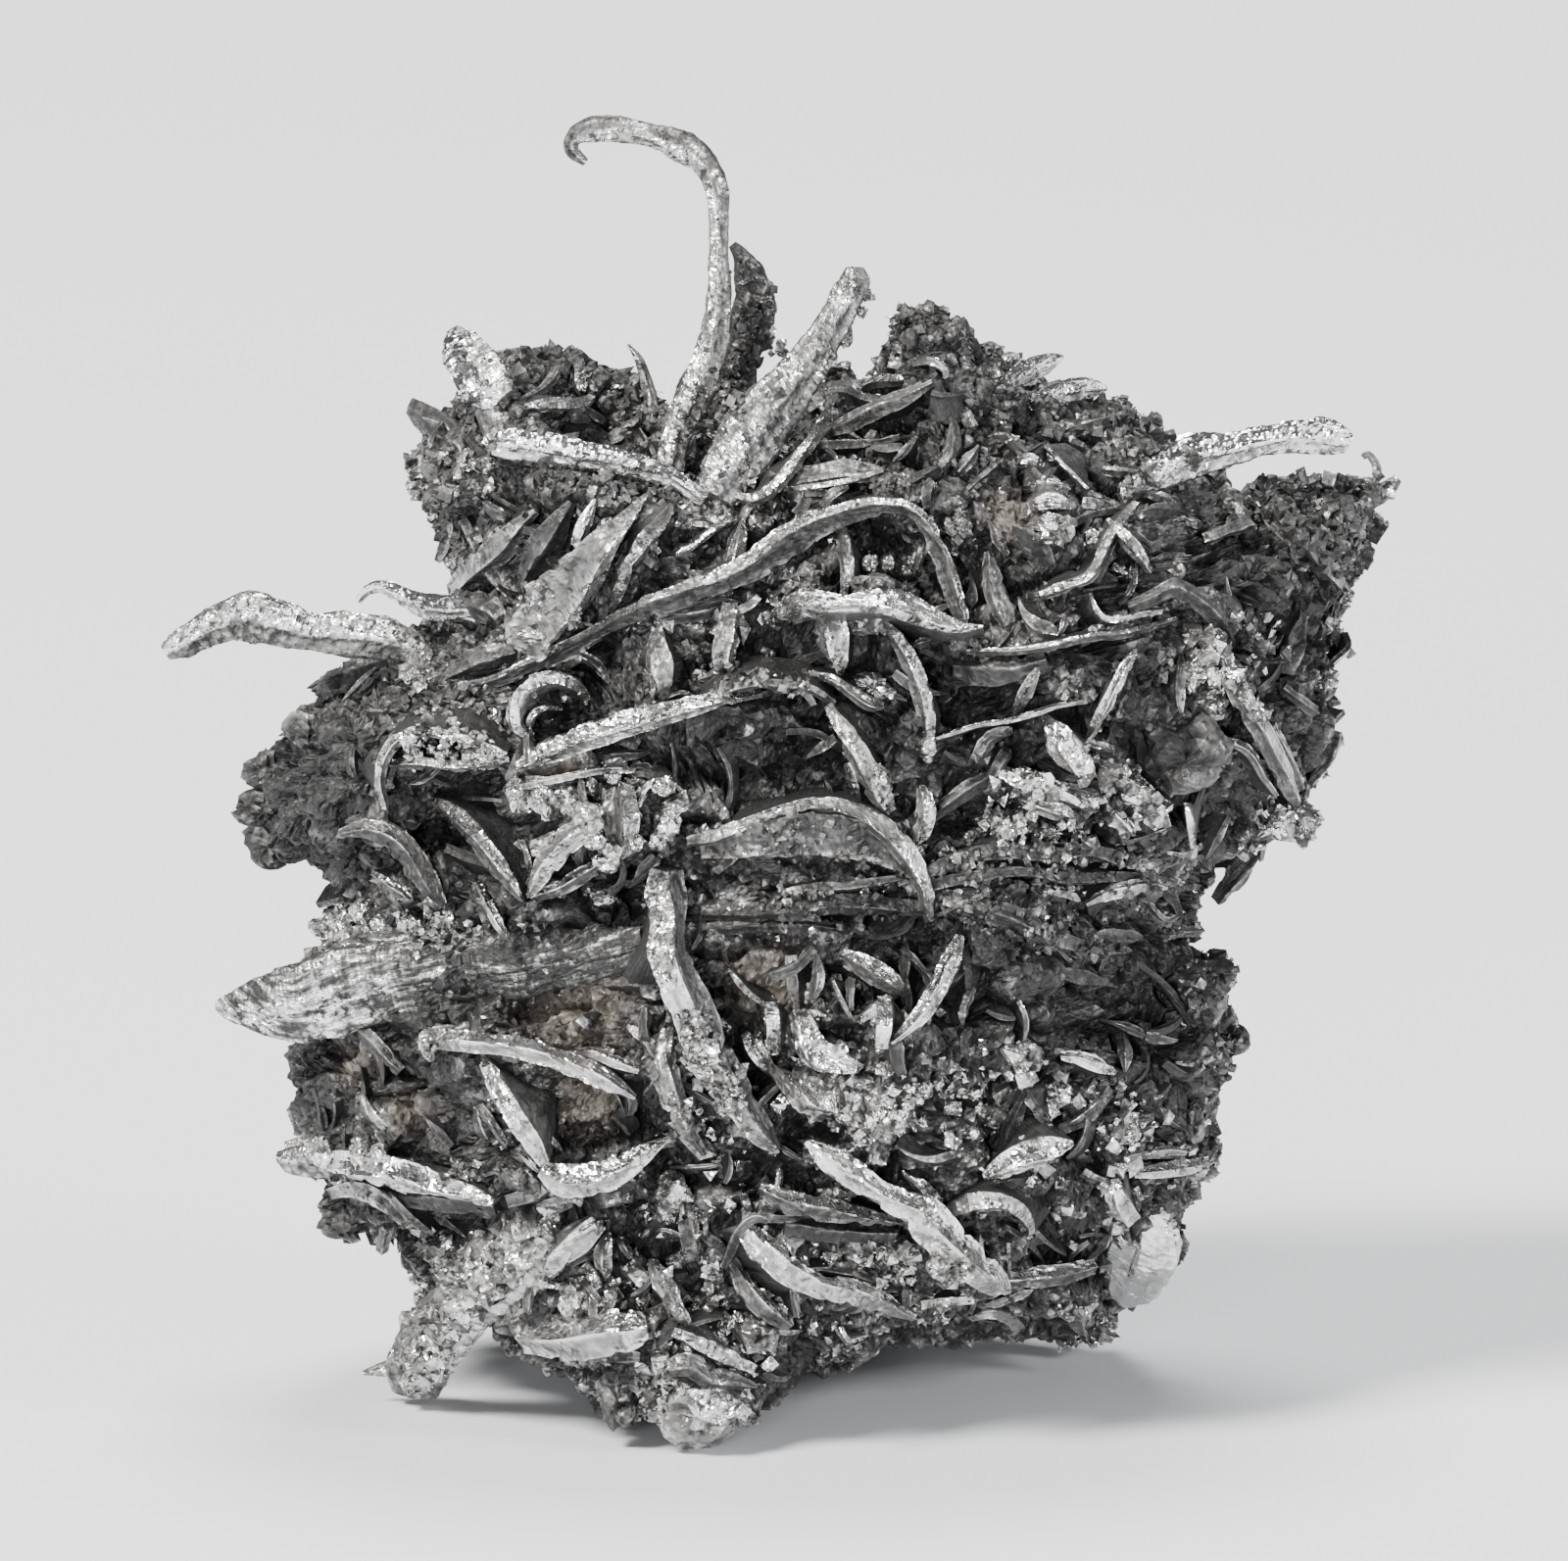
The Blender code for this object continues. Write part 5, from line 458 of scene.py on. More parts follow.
# Crowds of grains: across, up, radius of the crowd, how many, grain radius and tone.
grainClusters = [
    (-11.6, 38, 0.9, 26, 0.2, 0.5), (-12.1, 37.2, 0.6, 14, 0.2, 0.45), (-10.3, 38.1, 0.9, 34, 0.22, 0.3),
    (-9.2, 38, 0.8, 30, 0.22, 0.25), (-8.4, 38.2, 0.6, 20, 0.2, 0.25), (-8.9, 37.1, 0.8, 26, 0.24, 0.35),
    (-6.6, 37.2, 0.8, 30, 0.24, 0.3), (-5.6, 37, 0.8, 30, 0.24, 0.35), (-4.6, 37.2, 0.4, 10, 0.22, 0.5),
    (-5.4, 35.8, 0.9, 34, 0.2, 0.45), (-6.6, 36.6, 0.6, 18, 0.2, 0.6), (-4.4, 35.9, 0.6, 16, 0.2, 0.4),
    (-11.5, 36, 0.5, 14, 0.2, 0.5), (-9.6, 35.4, 0.7, 24, 0.2, 0.5), (-8.8, 35.2, 0.5, 14, 0.18, 0.5),
    (-6.4, 34.8, 0.5, 12, 0.18, 0.55), (-4.6, 34.6, 0.6, 20, 0.18, 0.35), (-9.4, 33.9, 0.6, 22, 0.17, 0.4),
    (-8.2, 33.6, 0.7, 26, 0.17, 0.4), (-7, 33.4, 0.7, 26, 0.17, 0.4), (-5.8, 33.2, 0.7, 26, 0.17, 0.4),
    (-4.6, 33, 0.6, 22, 0.17, 0.45), (-8.9, 33, 0.5, 14, 0.15, 0.45), (-7.6, 32.8, 0.5, 12, 0.15, 0.6),
    (-6.4, 32.7, 0.5, 12, 0.15, 0.6), (-4, 32.7, 0.5, 14, 0.17, 0.55), (-2.75, 37.6, 0.45, 26, 0.15, 0.4),
    (-2.9, 36.4, 0.5, 26, 0.16, 0.4), (-3.2, 35.6, 0.6, 24, 0.17, 0.35), (-2.5, 38.6, 0.35, 18, 0.13, 0.45),
    (-1.9, 38, 0.35, 12, 0.15, 0.3), (-2.1, 36.4, 0.5, 16, 0.17, 0.35), (-1.3, 41.2, 0.35, 10, 0.16, 0.3),
    (-1, 40.4, 0.4, 12, 0.2, 0.4), (-0.6, 40, 0.3, 8, 0.2, 0.6), (-1.4, 39.2, 0.4, 14, 0.2, 0.4),
    (-0.65, 38.8, 0.35, 10, 0.2, 0.5), (-1.4, 38.3, 0.3, 8, 0.17, 0.35), (-1.3, 34.4, 0.8, 34, 0.16, 0.7),
    (-0.6, 35.2, 0.7, 28, 0.17, 0.7), (-2, 33.6, 0.6, 20, 0.16, 0.6), (0.6, 36.6, 0.7, 30, 0.19, 0.45),
    (0.3, 35.6, 0.6, 22, 0.18, 0.45), (1, 37.5, 0.5, 16, 0.16, 0.5), (-0.1, 38, 0.25, 6, 0.17, 0.6),
    (2, 38.7, 0.4, 12, 0.16, 0.7), (2.8, 40.2, 0.4, 14, 0.15, 0.75), (-13.4, 34, 0.5, 16, 0.22, 0.75),
    (-13.2, 33.1, 0.5, 14, 0.2, 0.7), (-12.4, 34.2, 0.7, 24, 0.24, 0.75),
    (-11.5, 34.2, 0.6, 16, 0.24, 0.75), (-10.9, 33.9, 0.45, 12, 0.22, 0.8), (-12, 33.3, 0.7, 20, 0.24, 0.8),
    (-11, 33.1, 0.6, 14, 0.22, 0.75), (-12.7, 32.6, 0.5, 14, 0.22, 0.65), (-12.9, 35.2, 0.5, 14, 0.2, 0.4),
    (-12, 31.3, 0.5, 14, 0.2, 0.65), (-11.4, 31.2, 0.4, 10, 0.2, 0.7), (-12, 30.5, 0.5, 14, 0.19, 0.65),
    (-9.3, 29.1, 0.4, 12, 0.18, 0.8), (-8.8, 29.3, 0.4, 10, 0.16, 0.75), (-8.3, 28.8, 0.3, 8, 0.16, 0.7),
    (-9.5, 28.1, 0.4, 10, 0.16, 0.6), (-9.6, 32.3, 0.5, 14, 0.17, 0.6), (-5.2, 30.9, 0.5, 14, 0.17, 0.5),
    (-3.8, 30.8, 0.3, 8, 0.15, 0.7), (-4, 32.1, 0.35, 10, 0.15, 0.5), (-2.2, 32.4, 0.3, 8, 0.14, 0.7),
    (0.3, 29.9, 0.6, 20, 0.16, 0.65), (1, 30, 0.5, 14, 0.16, 0.6), (-0.6, 32.2, 0.8, 20, 0.15, 0.35),
    (-4.6, 27.6, 0.45, 14, 0.15, 0.6), (-3.2, 27.2, 0.4, 10, 0.15, 0.5), (-13.6, 26.4, 0.7, 22, 0.2, 0.75),
    (-12.9, 26.1, 0.5, 14, 0.2, 0.7), (-11.2, 25.9, 0.5, 14, 0.18, 0.65), (-13.4, 28, 0.5, 12, 0.18, 0.5),
    (-7.5, 25.8, 0.4, 12, 0.15, 0.7), (-9, 25.8, 0.4, 8, 0.13, 0.7), (3.6, 39.1, 0.4, 12, 0.2, 0.4),
    (4.3, 39.6, 0.5, 18, 0.2, 0.35), (5.1, 40, 0.45, 14, 0.19, 0.5), (5.9, 39.9, 0.4, 12, 0.2, 0.6),
    (6.5, 39.3, 0.35, 8, 0.18, 0.6), (5, 39.1, 0.8, 34, 0.18, 0.25), (4, 38.6, 0.6, 24, 0.18, 0.5),
    (5.9, 38.8, 0.5, 16, 0.18, 0.5), (6.6, 37.8, 0.5, 16, 0.2, 0.6), (7.4, 37.4, 0.5, 16, 0.2, 0.65),
    (9.2, 36.1, 0.5, 16, 0.22, 0.75), (10.4, 35.1, 0.5, 14, 0.18, 0.6), (11.4, 35.1, 0.5, 12, 0.2, 0.8),
    (12.4, 34.9, 0.5, 10, 0.18, 0.7), (12.4, 35.8, 0.45, 16, 0.2, 0.5), (13.4, 35.7, 0.45, 16, 0.2, 0.5),
    (12.6, 34.3, 0.7, 20, 0.17, 0.45), (6.3, 36.3, 0.6, 16, 0.17, 0.45), (8.4, 36.6, 0.5, 12, 0.18, 0.6),
    (7.4, 36.2, 0.8, 20, 0.16, 0.3), (3.9, 33.3, 0.6, 20, 0.16, 0.65), (6.4, 31.6, 0.5, 16, 0.18, 0.7),
    (6.4, 30.7, 0.5, 12, 0.15, 0.4), (10.4, 26.2, 0.7, 22, 0.17, 0.55), (13.7, 27, 0.6, 18, 0.16, 0.45),
    (12.8, 32.2, 0.4, 10, 0.16, 0.6), (14.2, 33.6, 0.5, 14, 0.16, 0.6), (6.8, 29.7, 0.2, 4, 0.17, 0.9),
    (7.2, 34, 1.2, 30, 0.14, 0.3), (7.5, 32.6, 1.2, 26, 0.14, 0.3), (-9, 6, 0.9, 40, 0.3, 0.8),
    (-10.2, 5, 1.1, 60, 0.3, 0.75), (-11.4, 3.9, 1.1, 60, 0.3, 0.8), (-12.5, 2.7, 1, 50, 0.28, 0.8),
    (-13.2, 1.5, 0.9, 44, 0.28, 0.75), (-13.5, 0.6, 0.7, 30, 0.26, 0.7), (-12.4, 4.8, 0.9, 30, 0.24, 0.5),
    (1.5, 12.3, 2.2, 60, 0.34, 0.9), (7.5, 10.6, 2.6, 60, 0.34, 0.85), (-3, 5, 2.4, 60, 0.32, 0.85),
    (3, 5.4, 2, 40, 0.32, 0.85), (12.5, 8, 2, 40, 0.3, 0.85), (-3.3, 10.3, 0.9, 26, 0.18, 0.8),
    (-12.3, 17.3, 1, 26, 0.2, 0.9), (-13.6, 16.9, 0.8, 20, 0.2, 0.95), (9, 21, 1.2, 36, 0.2, 0.95),
    (11, 20.4, 1.2, 30, 0.2, 0.95), (6.6, 11.6, 1.2, 36, 0.2, 0.85), (9.4, 11.2, 1.2, 36, 0.2, 0.85),
    (11.6, 11, 1.2, 36, 0.18, 0.8), (8.6, 10.2, 1, 26, 0.22, 0.9), (4.6, 11, 1.2, 30, 0.2, 0.8),
    (3.2, 10, 1.2, 30, 0.2, 0.85), (12.6, 9.6, 1.2, 30, 0.18, 0.85), (10.2, 6.8, 1, 20, 0.2, 0.5),
    (4.2, 4.4, 1.2, 40, 0.2, 0.85), (5.8, 3.6, 1, 26, 0.22, 0.85), (11.6, 2.4, 0.9, 26, 0.24, 0.85),
    (-2.4, 2.6, 1.4, 44, 0.26, 0.85), (-4.4, 1, 1.4, 44, 0.26, 0.85), (-1.8, 0.2, 1.2, 36, 0.26, 0.85),
    (-6.2, 4, 1.4, 40, 0.24, 0.85), (-4, 6.6, 1.2, 34, 0.2, 0.85), (-2, 9, 1, 26, 0.2, 0.8),
    (1.8, 2.6, 1, 26, 0.2, 0.8), (16.2, 16, 0.8, 30, 0.2, 0.35), (15.2, 14.6, 0.9, 36, 0.2, 0.35),
    (16, 12.6, 0.9, 30, 0.2, 0.3), (18.6, 21, 0.9, 40, 0.2, 0.9), (19.2, 20.4, 0.6, 20, 0.2, 0.8),
    (17.4, 20.6, 0.8, 20, 0.18, 0.8)]

# Crowds of grains on the growths themselves, in the same order.
growthClusters = [
    (-3.2, 13.6, 0.7, 46, 0.15, 0.5), (-2.9, 12.7, 0.8, 70, 0.17, 0.65), (-2.4, 11.8, 0.8, 70, 0.17, 0.65),
    (-1.9, 11, 0.6, 34, 0.15, 0.6), (-3.6, 10.6, 0.5, 24, 0.15, 0.7), (-13.2, 16.7, 0.8, 26, 0.22, 0.85),
    (-11.6, 16.8, 0.8, 24, 0.2, 0.7), (-9.6, 17, 0.8, 24, 0.18, 0.5), (-1.3, 33.9, 0.5, 20, 0.15, 0.7),
    (2.5, 40.5, 0.4, 14, 0.15, 0.8), (-7.5, 28.4, 0.4, 16, 0.14, 0.7), (14.8, 8.3, 0.6, 12, 0.14, 0.7),
    (-8.9, 29.2, 0.5, 24, 0.17, 0.85), (8, 20.6, 0.8, 22, 0.2, 0.95), (10.4, 20.5, 0.8, 20, 0.2, 0.95),
    (5.4, 6.6, 0.5, 14, 0.15, 0.7), (-11.8, 8.2, 0.6, 16, 0.2, 0.8), (-10.6, 34.9, 0.4, 12, 0.16, 0.8),
    (17.5, 33, 0.6, 24, 0.2, 0.45), (18.8, 33.2, 0.7, 30, 0.22, 0.45), (20, 33.1, 0.7, 30, 0.22, 0.5),
    (21.2, 32.9, 0.6, 22, 0.2, 0.65), (22, 33.2, 0.4, 14, 0.18, 0.7), (19.4, 32.3, 0.9, 36, 0.22, 0.45),
    (20.5, 31.5, 0.8, 30, 0.22, 0.5), (20.8, 30.6, 0.5, 16, 0.2, 0.5), (0.5, 17.9, 1.6, 60, 0.14, 0.3),
    (3.4, 17.8, 1.4, 50, 0.14, 0.35), (7, 19.6, 1.2, 50, 0.14, 0.45), (10, 19.5, 1.4, 60, 0.14, 0.45),
    (13, 19.3, 1.2, 44, 0.14, 0.45), (7.2, 17.9, 0.9, 40, 0.14, 0.4), (9.4, 17, 1, 44, 0.14, 0.35),
    (11.6, 16.5, 0.8, 24, 0.14, 0.35), (15, 34.3, 0.5, 14, 0.14, 0.6), (13, 33.2, 0.6, 24, 0.17, 0.6),
    (-1.3, 41.1, 0.4, 22, 0.16, 0.3), (-0.9, 40.3, 0.5, 28, 0.18, 0.45), (-1.3, 39.4, 0.5, 28, 0.18, 0.3),
    (-0.9, 38.6, 0.5, 26, 0.18, 0.4), (-1.6, 37.6, 0.6, 30, 0.17, 0.3), (-2, 36.5, 0.6, 26, 0.16, 0.3),
    (-2.9, 36.6, 0.4, 16, 0.12, 0.3), (-3.3, 35.4, 0.4, 16, 0.12, 0.3), (20.5, 32.2, 1.2, 24, 0.28, 0.4),
    (19.5, 31.2, 1.5, 34, 0.28, 0.35), (18.4, 32.4, 1.2, 24, 0.28, 0.35), (15.3, 27.3, 0.8, 24, 0.26, 0.85),
    (15.6, 26.3, 0.7, 18, 0.26, 0.85), (16.4, 26, 0.5, 10, 0.2, 0.7), (17.2, 24.9, 0.5, 10, 0.18, 0.6),
    (17.4, 27.4, 0.9, 20, 0.26, 0.75), (16.8, 28.2, 0.5, 10, 0.22, 0.7), (19.9, 28, 0.5, 10, 0.28, 0.6),
    (-13.3, 23.7, 0.6, 24, 0.17, 0.95), (-12.2, 23.6, 0.6, 24, 0.17, 0.95),
    (-11.2, 23.5, 0.5, 20, 0.16, 0.9), (10.8, 23.2, 0.7, 18, 0.22, 0.85), (11.8, 22.4, 0.7, 20, 0.24, 0.8),
    (13, 21.7, 0.7, 20, 0.24, 0.8), (9, 22, 1, 22, 0.28, 0.95), (8, 21, 0.9, 20, 0.28, 0.95),
    (6.2, 19.9, 0.6, 14, 0.2, 0.8), (-12, 24.7, 0.8, 30, 0.16, 0.5), (-13.1, 24.6, 0.6, 20, 0.16, 0.5),
    (-10.8, 24.4, 0.7, 24, 0.16, 0.5), (-2.4, 26.3, 0.8, 28, 0.16, 0.4), (-0.8, 26.4, 0.8, 28, 0.16, 0.4),
    (0.6, 26, 0.6, 16, 0.15, 0.4), (0.4, 20.3, 1.4, 40, 0.13, 0.4), (2.4, 20.2, 1, 24, 0.13, 0.4)]


def seenPlace(across, up, depth):
    # The points in millimetres that are seen at (across, up) and lie at that depth.
    height = (up - depth * math.sin(viewTilt)) / math.cos(viewTilt)
    return np.stack([across - boxCentreX, depth - boxCentreY, height], axis=-1)


def seenAt(points):
    # The reverse of seenPlace: across, up and depth of points.
    depth = points[..., 1] + boxCentreY
    up = points[..., 2] * math.cos(viewTilt) + depth * math.sin(viewTilt)
    return points[..., 0] + boxCentreX, up, depth


def unit(vectors):
    return vectors / np.maximum(np.linalg.norm(vectors, axis=-1, keepdims=True), 1e-9)


def smoothStep(low, high, value):
    # 0 below low, 1 above high, and 3 s^2 - 2 s^3 of the share s between them.
    share = np.clip((value - low) / (high - low), 0, 1)
    return share * share * (3 - 2 * share)


def bell(distance, width):
    # 1 at no distance, falling to 0 as e to the power of -(distance / width) squared.
    return np.exp(-(distance / width) ** 2)


def spot(across, up, x, y, radius):
    # A bell round (x, y): 1 in its middle, 0 well outside its radius.
    return np.exp(-((across - x) ** 2 + (up - y) ** 2) / radius ** 2)


def evened(values, reach):
    # Each value of a row of points replaced by the mean of those up to reach places to both sides.
    padded = np.concatenate([values[:1]] * reach + [values] + [values[-1:]] * reach)
    window = np.ones(2 * reach + 1) / (2 * reach + 1)
    if values.ndim == 1:
        return np.convolve(padded, window, mode="valid")
    return np.stack([np.convolve(column, window, mode="valid") for column in padded.T], axis=-1)


def outlineSides():
    # Start and run of each side of the outline.
    for (x1, y1), (x2, y2) in zip(massOutline, massOutline[1:] + massOutline[:1]):
        yield x1, y1, x2 - x1, y2 - y1


def edgeTable(steps=1440):
    # How far the outline is from the centre, in even steps of direction: the farthest crossing of a ray
    # with a side.
    angles = np.linspace(-math.pi, math.pi, steps + 1)
    dx, dy = np.cos(angles), np.sin(angles)
    farthest = np.zeros(steps + 1)
    cx, cy = massCentre
    for x1, y1, ex, ey in outlineSides():
        cross = dx * ey - dy * ex
        cross = np.where(np.abs(cross) < 1e-9, 1e-9, cross)
        along = ((x1 - cx) * ey - (y1 - cy) * ex) / cross
        share = ((x1 - cx) * dy - (y1 - cy) * dx) / cross
        hit = (along > 0) & (share >= 0) & (share <= 1)
        farthest = np.maximum(farthest, np.where(hit, along, 0))
    return angles, farthest


edgeAngles, edgeReaches = edgeTable()
massMiddle = seenPlace(*massCentre, 0.0)


def edgeRadius(angle):
    # How far the outline is from the centre in one direction, read from the table.
    return np.interp((angle + math.pi) % (2 * math.pi) - math.pi, edgeAngles, edgeReaches)


def rimDepth(across, up):
    # Depth of the rim: that of rimDepths at the surface it stands on, fading to 0 higher up.
    low, high = rimDepthFades
    fade = smoothStep(0, 1, (high - up) / (high - low))
    knots = np.array(rimDepths, float)
    return fade * np.interp(across, knots[:, 0], knots[:, 1])


def lumps(across, up, side):
    # Broad swells of the surface, from three crossing waves.
    first = np.sin(0.83 * across + 0.41 * up + 1.0 + side)
    second = np.sin(0.57 * up - 0.62 * across + 2.2 * side)
    third = np.sin(1.31 * up + 0.35 * across + 0.7)
    return 0.55 * first + 0.5 * second + 0.35 * third


def rimDistance(across, up):
    # How far inside the outline a place is, up to edgeRounding, or 0 outside it: the least distance to
    # a side.
    nearest = np.full(np.shape(across), edgeRounding)
    for x1, y1, ex, ey in outlineSides():
        share = np.clip(((across - x1) * ex + (up - y1) * ey) / (ex * ex + ey * ey), 0, 1)
        nearest = np.minimum(nearest, np.hypot(across - x1 - share * ex, up - y1 - share * ey))
    dx, dy = across - massCentre[0], up - massCentre[1]
    inside = np.hypot(dx, dy) < edgeRadius(np.arctan2(dy, dx))
    return np.where(inside, nearest, 0.0)


def surfaceDepth(across, up, side):
    # Depth of the mass's surface: a slab whose edge is rounded over as a superellipse of the rim's
    # distance, plus lumps and, in front, a bell for each hollow. Side is -1 at the front, +1 at the back.
    across, up = np.asarray(across, float), np.asarray(up, float)
    rim = rimDepth(across, up)
    inward = rimDistance(across, up) / edgeRounding
    swell = (1 - (1 - inward) ** roundness) ** (1 / roundness)
    thickness = np.where(np.asarray(side) > 0, backThickness, -frontThickness)
    depth = rim + (thickness - rim) * swell + side * swell * lumps(across, up, side)
    front = np.asarray(side) < 0
    for x, y, radius, deep in hollows:
        depth = depth + front * deep * spot(across, up, x, y, radius)
    return depth


def surfaceNormals(x, y, side, step=0.9):
    # The way out of the mass at places on it: the cross product of the steps beside and above each.
    here = seenPlace(x, y, surfaceDepth(x, y, side))
    beside = seenPlace(x + step, y, surfaceDepth(x + step, y, side)) - seenPlace(
        x - step, y, surfaceDepth(x - step, y, side))
    above = seenPlace(x, y + step, surfaceDepth(x, y + step, side)) - here
    return unit(-side * np.cross(beside, above))


def surfacePoints(angle, belt):
    # Points of the surface. Belt runs from -1 at the front's middle, through 0 at the rim, to +1 at the
    # back's middle.
    share = np.sin(0.5 * math.pi * (1 - np.abs(belt)))
    reach = share * edgeRadius(angle)
    x = massCentre[0] + reach * np.cos(angle)
    y = massCentre[1] + reach * np.sin(angle)
    return seenPlace(x, y, surfaceDepth(x, y, np.where(belt > 0, 1, -1)))


def surfaceFrames(angle, belt, step=0.03):
    # Points of the surface and the outward directions there.
    around = surfacePoints(angle + step, belt) - surfacePoints(angle - step, belt)
    along = surfacePoints(angle, belt + step) - surfacePoints(angle, belt - step)
    outward = unit(np.cross(along, around))
    points = surfacePoints(angle, belt)
    flip = np.sum(outward * (points - massMiddle), axis=-1, keepdims=True) < 0
    return points, np.where(flip, -outward, outward)


def scramble(cells, salt):
    # A whole number from 0 to 2^30 for each cell, always the same for the same cell and salt.
    cells = cells.astype(np.int64)
    mixed = cells[..., 0] * 73856093 ^ cells[..., 1] * 19349663 ^ cells[..., 2] * 83492791
    mixed = (mixed ^ (salt * 2654435761)) & 0xffffffff
    mixed = ((mixed ^ (mixed >> 15)) * 2246822519) & 0xffffffff
    mixed = ((mixed ^ (mixed >> 13)) * 3266489917) & 0xffffffff
    return (mixed ^ (mixed >> 16)) & 0x3fffffff


def threeNumbers(cells, salt):
    # Three numbers from 0 to 1 for each cell.
    mixed = scramble(cells, salt)
    return np.stack([mixed & 1023, (mixed >> 10) & 1023, mixed >> 20], axis=-1) / 1023


def cloud(points, size, salt):
    # Smooth noise from 0 to 1: the cell corners' numbers blended across each cell.
    scaled = points / size
    cell = np.floor(scaled)
    share = scaled - cell
    share = share * share * (3 - 2 * share)
    total = np.zeros(points.shape[:-1])
    for corner in np.ndindex(2, 2, 2):
        weight = np.prod(np.where(np.array(corner) == 1, share, 1 - share), axis=-1)
        total = total + weight * scramble(cell + np.array(corner), salt)
    return total / 2 ** 30


def facets(points, size, salt, tilt=1.0):
    # Crystal faces. Each point takes the plane of its nearest seed: the seed's own height plus its tilt
    # times the distance from the seed. Also gives how far the point is from its face's edge.
    scaled = points / size
    cell = np.floor(scaled)
    best = np.full(points.shape[:-1], 9.0)
    second = best.copy()
    nearCell = cell.copy()
    away = np.zeros_like(scaled)
    for offset in np.ndindex(3, 3, 3):
        near = cell + np.array(offset) - 1
        apart = scaled - near - threeNumbers(near, salt)
        distance = np.sum(apart * apart, axis=-1)
        closer = distance < best
        second = np.where(closer, best, np.minimum(second, distance))
        nearCell = np.where(closer[..., None], near, nearCell)
        away = np.where(closer[..., None], apart, away)
        best = np.where(closer, distance, best)
    slope = threeNumbers(nearCell, salt + 1) - 0.5
    height = (threeNumbers(nearCell, salt + 2)[..., 0] - 0.5) + 2 * tilt * np.sum(away * slope, axis=-1)
    return height, np.sqrt(second) - np.sqrt(best)


def gridFaces(rows, columns, closedRound):
    # Quads of a grid of points, numbered row by row.
    strips = columns if closedRound else columns - 1
    row, column = np.meshgrid(np.arange(rows - 1), np.arange(strips), indexing="ij")
    following = (column + 1) % columns
    quads = np.stack([
        row * columns + column, row * columns + following,
        (row + 1) * columns + following, (row + 1) * columns + column], axis=-1)
    return quads.reshape(-1, 4)


def addMesh(name, points, faces, facts):
    # A mesh from points in millimetres, faces as arrays of equal-sided rows, and named values per point.
    mesh = bpy.data.meshes.new(name)
    loops = np.concatenate([rows.reshape(-1) for rows in faces]).astype(np.int32)
    totals = np.concatenate([np.full(len(rows), rows.shape[1]) for rows in faces])
    starts = np.concatenate([[0], np.cumsum(totals)[:-1]]).astype(np.int32)
    mesh.vertices.add(len(points))
    mesh.vertices.foreach_set("co", (points * mm).astype(np.float32).reshape(-1))
    mesh.loops.add(len(loops))
    mesh.loops.foreach_set("vertex_index", loops)
    mesh.polygons.add(len(starts))
    mesh.polygons.foreach_set("loop_start", starts)
    mesh.polygons.foreach_set("use_smooth", np.zeros(len(starts), bool))
    for key, values in facts.items():
        layer = mesh.attributes.new(key, "FLOAT", "POINT")
        layer.data.foreach_set("value", np.asarray(values, np.float32))
    mesh.update(calc_edges=True)
    mesh.validate()
    made = bpy.data.objects.new(name, mesh)
    bpy.context.scene.collection.objects.link(made)
    return made


def stainOf(points):
    # How brown a place is: 1 in the middle of a stain on the front, fading out over its radius.
    across, up, depth = seenAt(points)
    brown = np.zeros(len(points))
    for x, y, radius in stains:
        brown = np.maximum(brown, spot(across, up, x, y, radius))
    return brown * (depth < -2)


def lightOf(points):
    # How much brighter or darker than the rest a place of the front is, from the listed patches.
    across, up, depth = seenAt(points)
    change = np.zeros(points.shape[:-1])
    for x, y, radius, amount in brightnessPatches:
        change += amount * spot(across, up, x, y, radius)
    return change * (depth < 0)


def hollowOf(points):
    # How deep in a hollow of the front a place is: 1 in its middle, 0 well outside it.
    across, up, depth = seenAt(points)
    inside = np.zeros(points.shape[:-1])
    for x, y, radius, _ in hollows:
        inside = np.maximum(inside, spot(across, up, x, y, 0.75 * radius))
    return inside * (depth < 0)


def pointsOf(piece):
    # The piece's points in millimetres.
    flat = np.empty(3 * len(piece.data.vertices), np.float32)
    piece.data.vertices.foreach_get("co", flat)
    return flat.reshape(-1, 3).astype(float) / mm


# The nearest depth of the growths, on a grid over the front.
depthGrid = {"cell": 0.12, "low": (-25.0, -4.0), "size": (416, 448)}


def gridCells(points):
    across, up, depth = seenAt(points)
    low, cell = depthGrid["low"], depthGrid["cell"]
    column = np.clip(((across - low[0]) / cell).astype(int), 1, depthGrid["size"][0] - 2)
    row = np.clip(((up - low[1]) / cell).astype(int), 1, depthGrid["size"][1] - 2)
    return column, row, depth


def nearestDepths(pieces):
    # For each cell of the grid, the depth of the growth that is seen there, or 99 where there is none.
    nearest = np.full(depthGrid["size"], 99.0)
    for piece in pieces:
        column, row, depth = gridCells(pointsOf(piece))
        np.minimum.at(nearest, (column, row), depth)
    beside = [np.roll(nearest, step, axis) for axis in (0, 1) for step in (-1, 1)]
    return np.minimum.reduce([nearest, *beside])


def hidesGrowth(points, nearest, margin=0.15):
    # Whether each place would stand in front of a growth.
    column, row, depth = gridCells(points)
    return depth < nearest[column, row] + margin

# The mass: two crusted skins that meet at the rim.
massSkin = {
    "frontCells": 270, "backCells": 200, "sole": 0.0, "inside": 19.0,
    "plate": 2.1, "chip": 0.85, "grain": 0.36, "heights": (0.62, 0.26, 0.12), "crack": (0.12, 0.45),
    "wearAndLight": (0.34, 0.35, 0.3, 0.5), "bright": (0.22, 0.3), "bend": 0.9, "stretch": (0.55, 1.0, 1.35)}


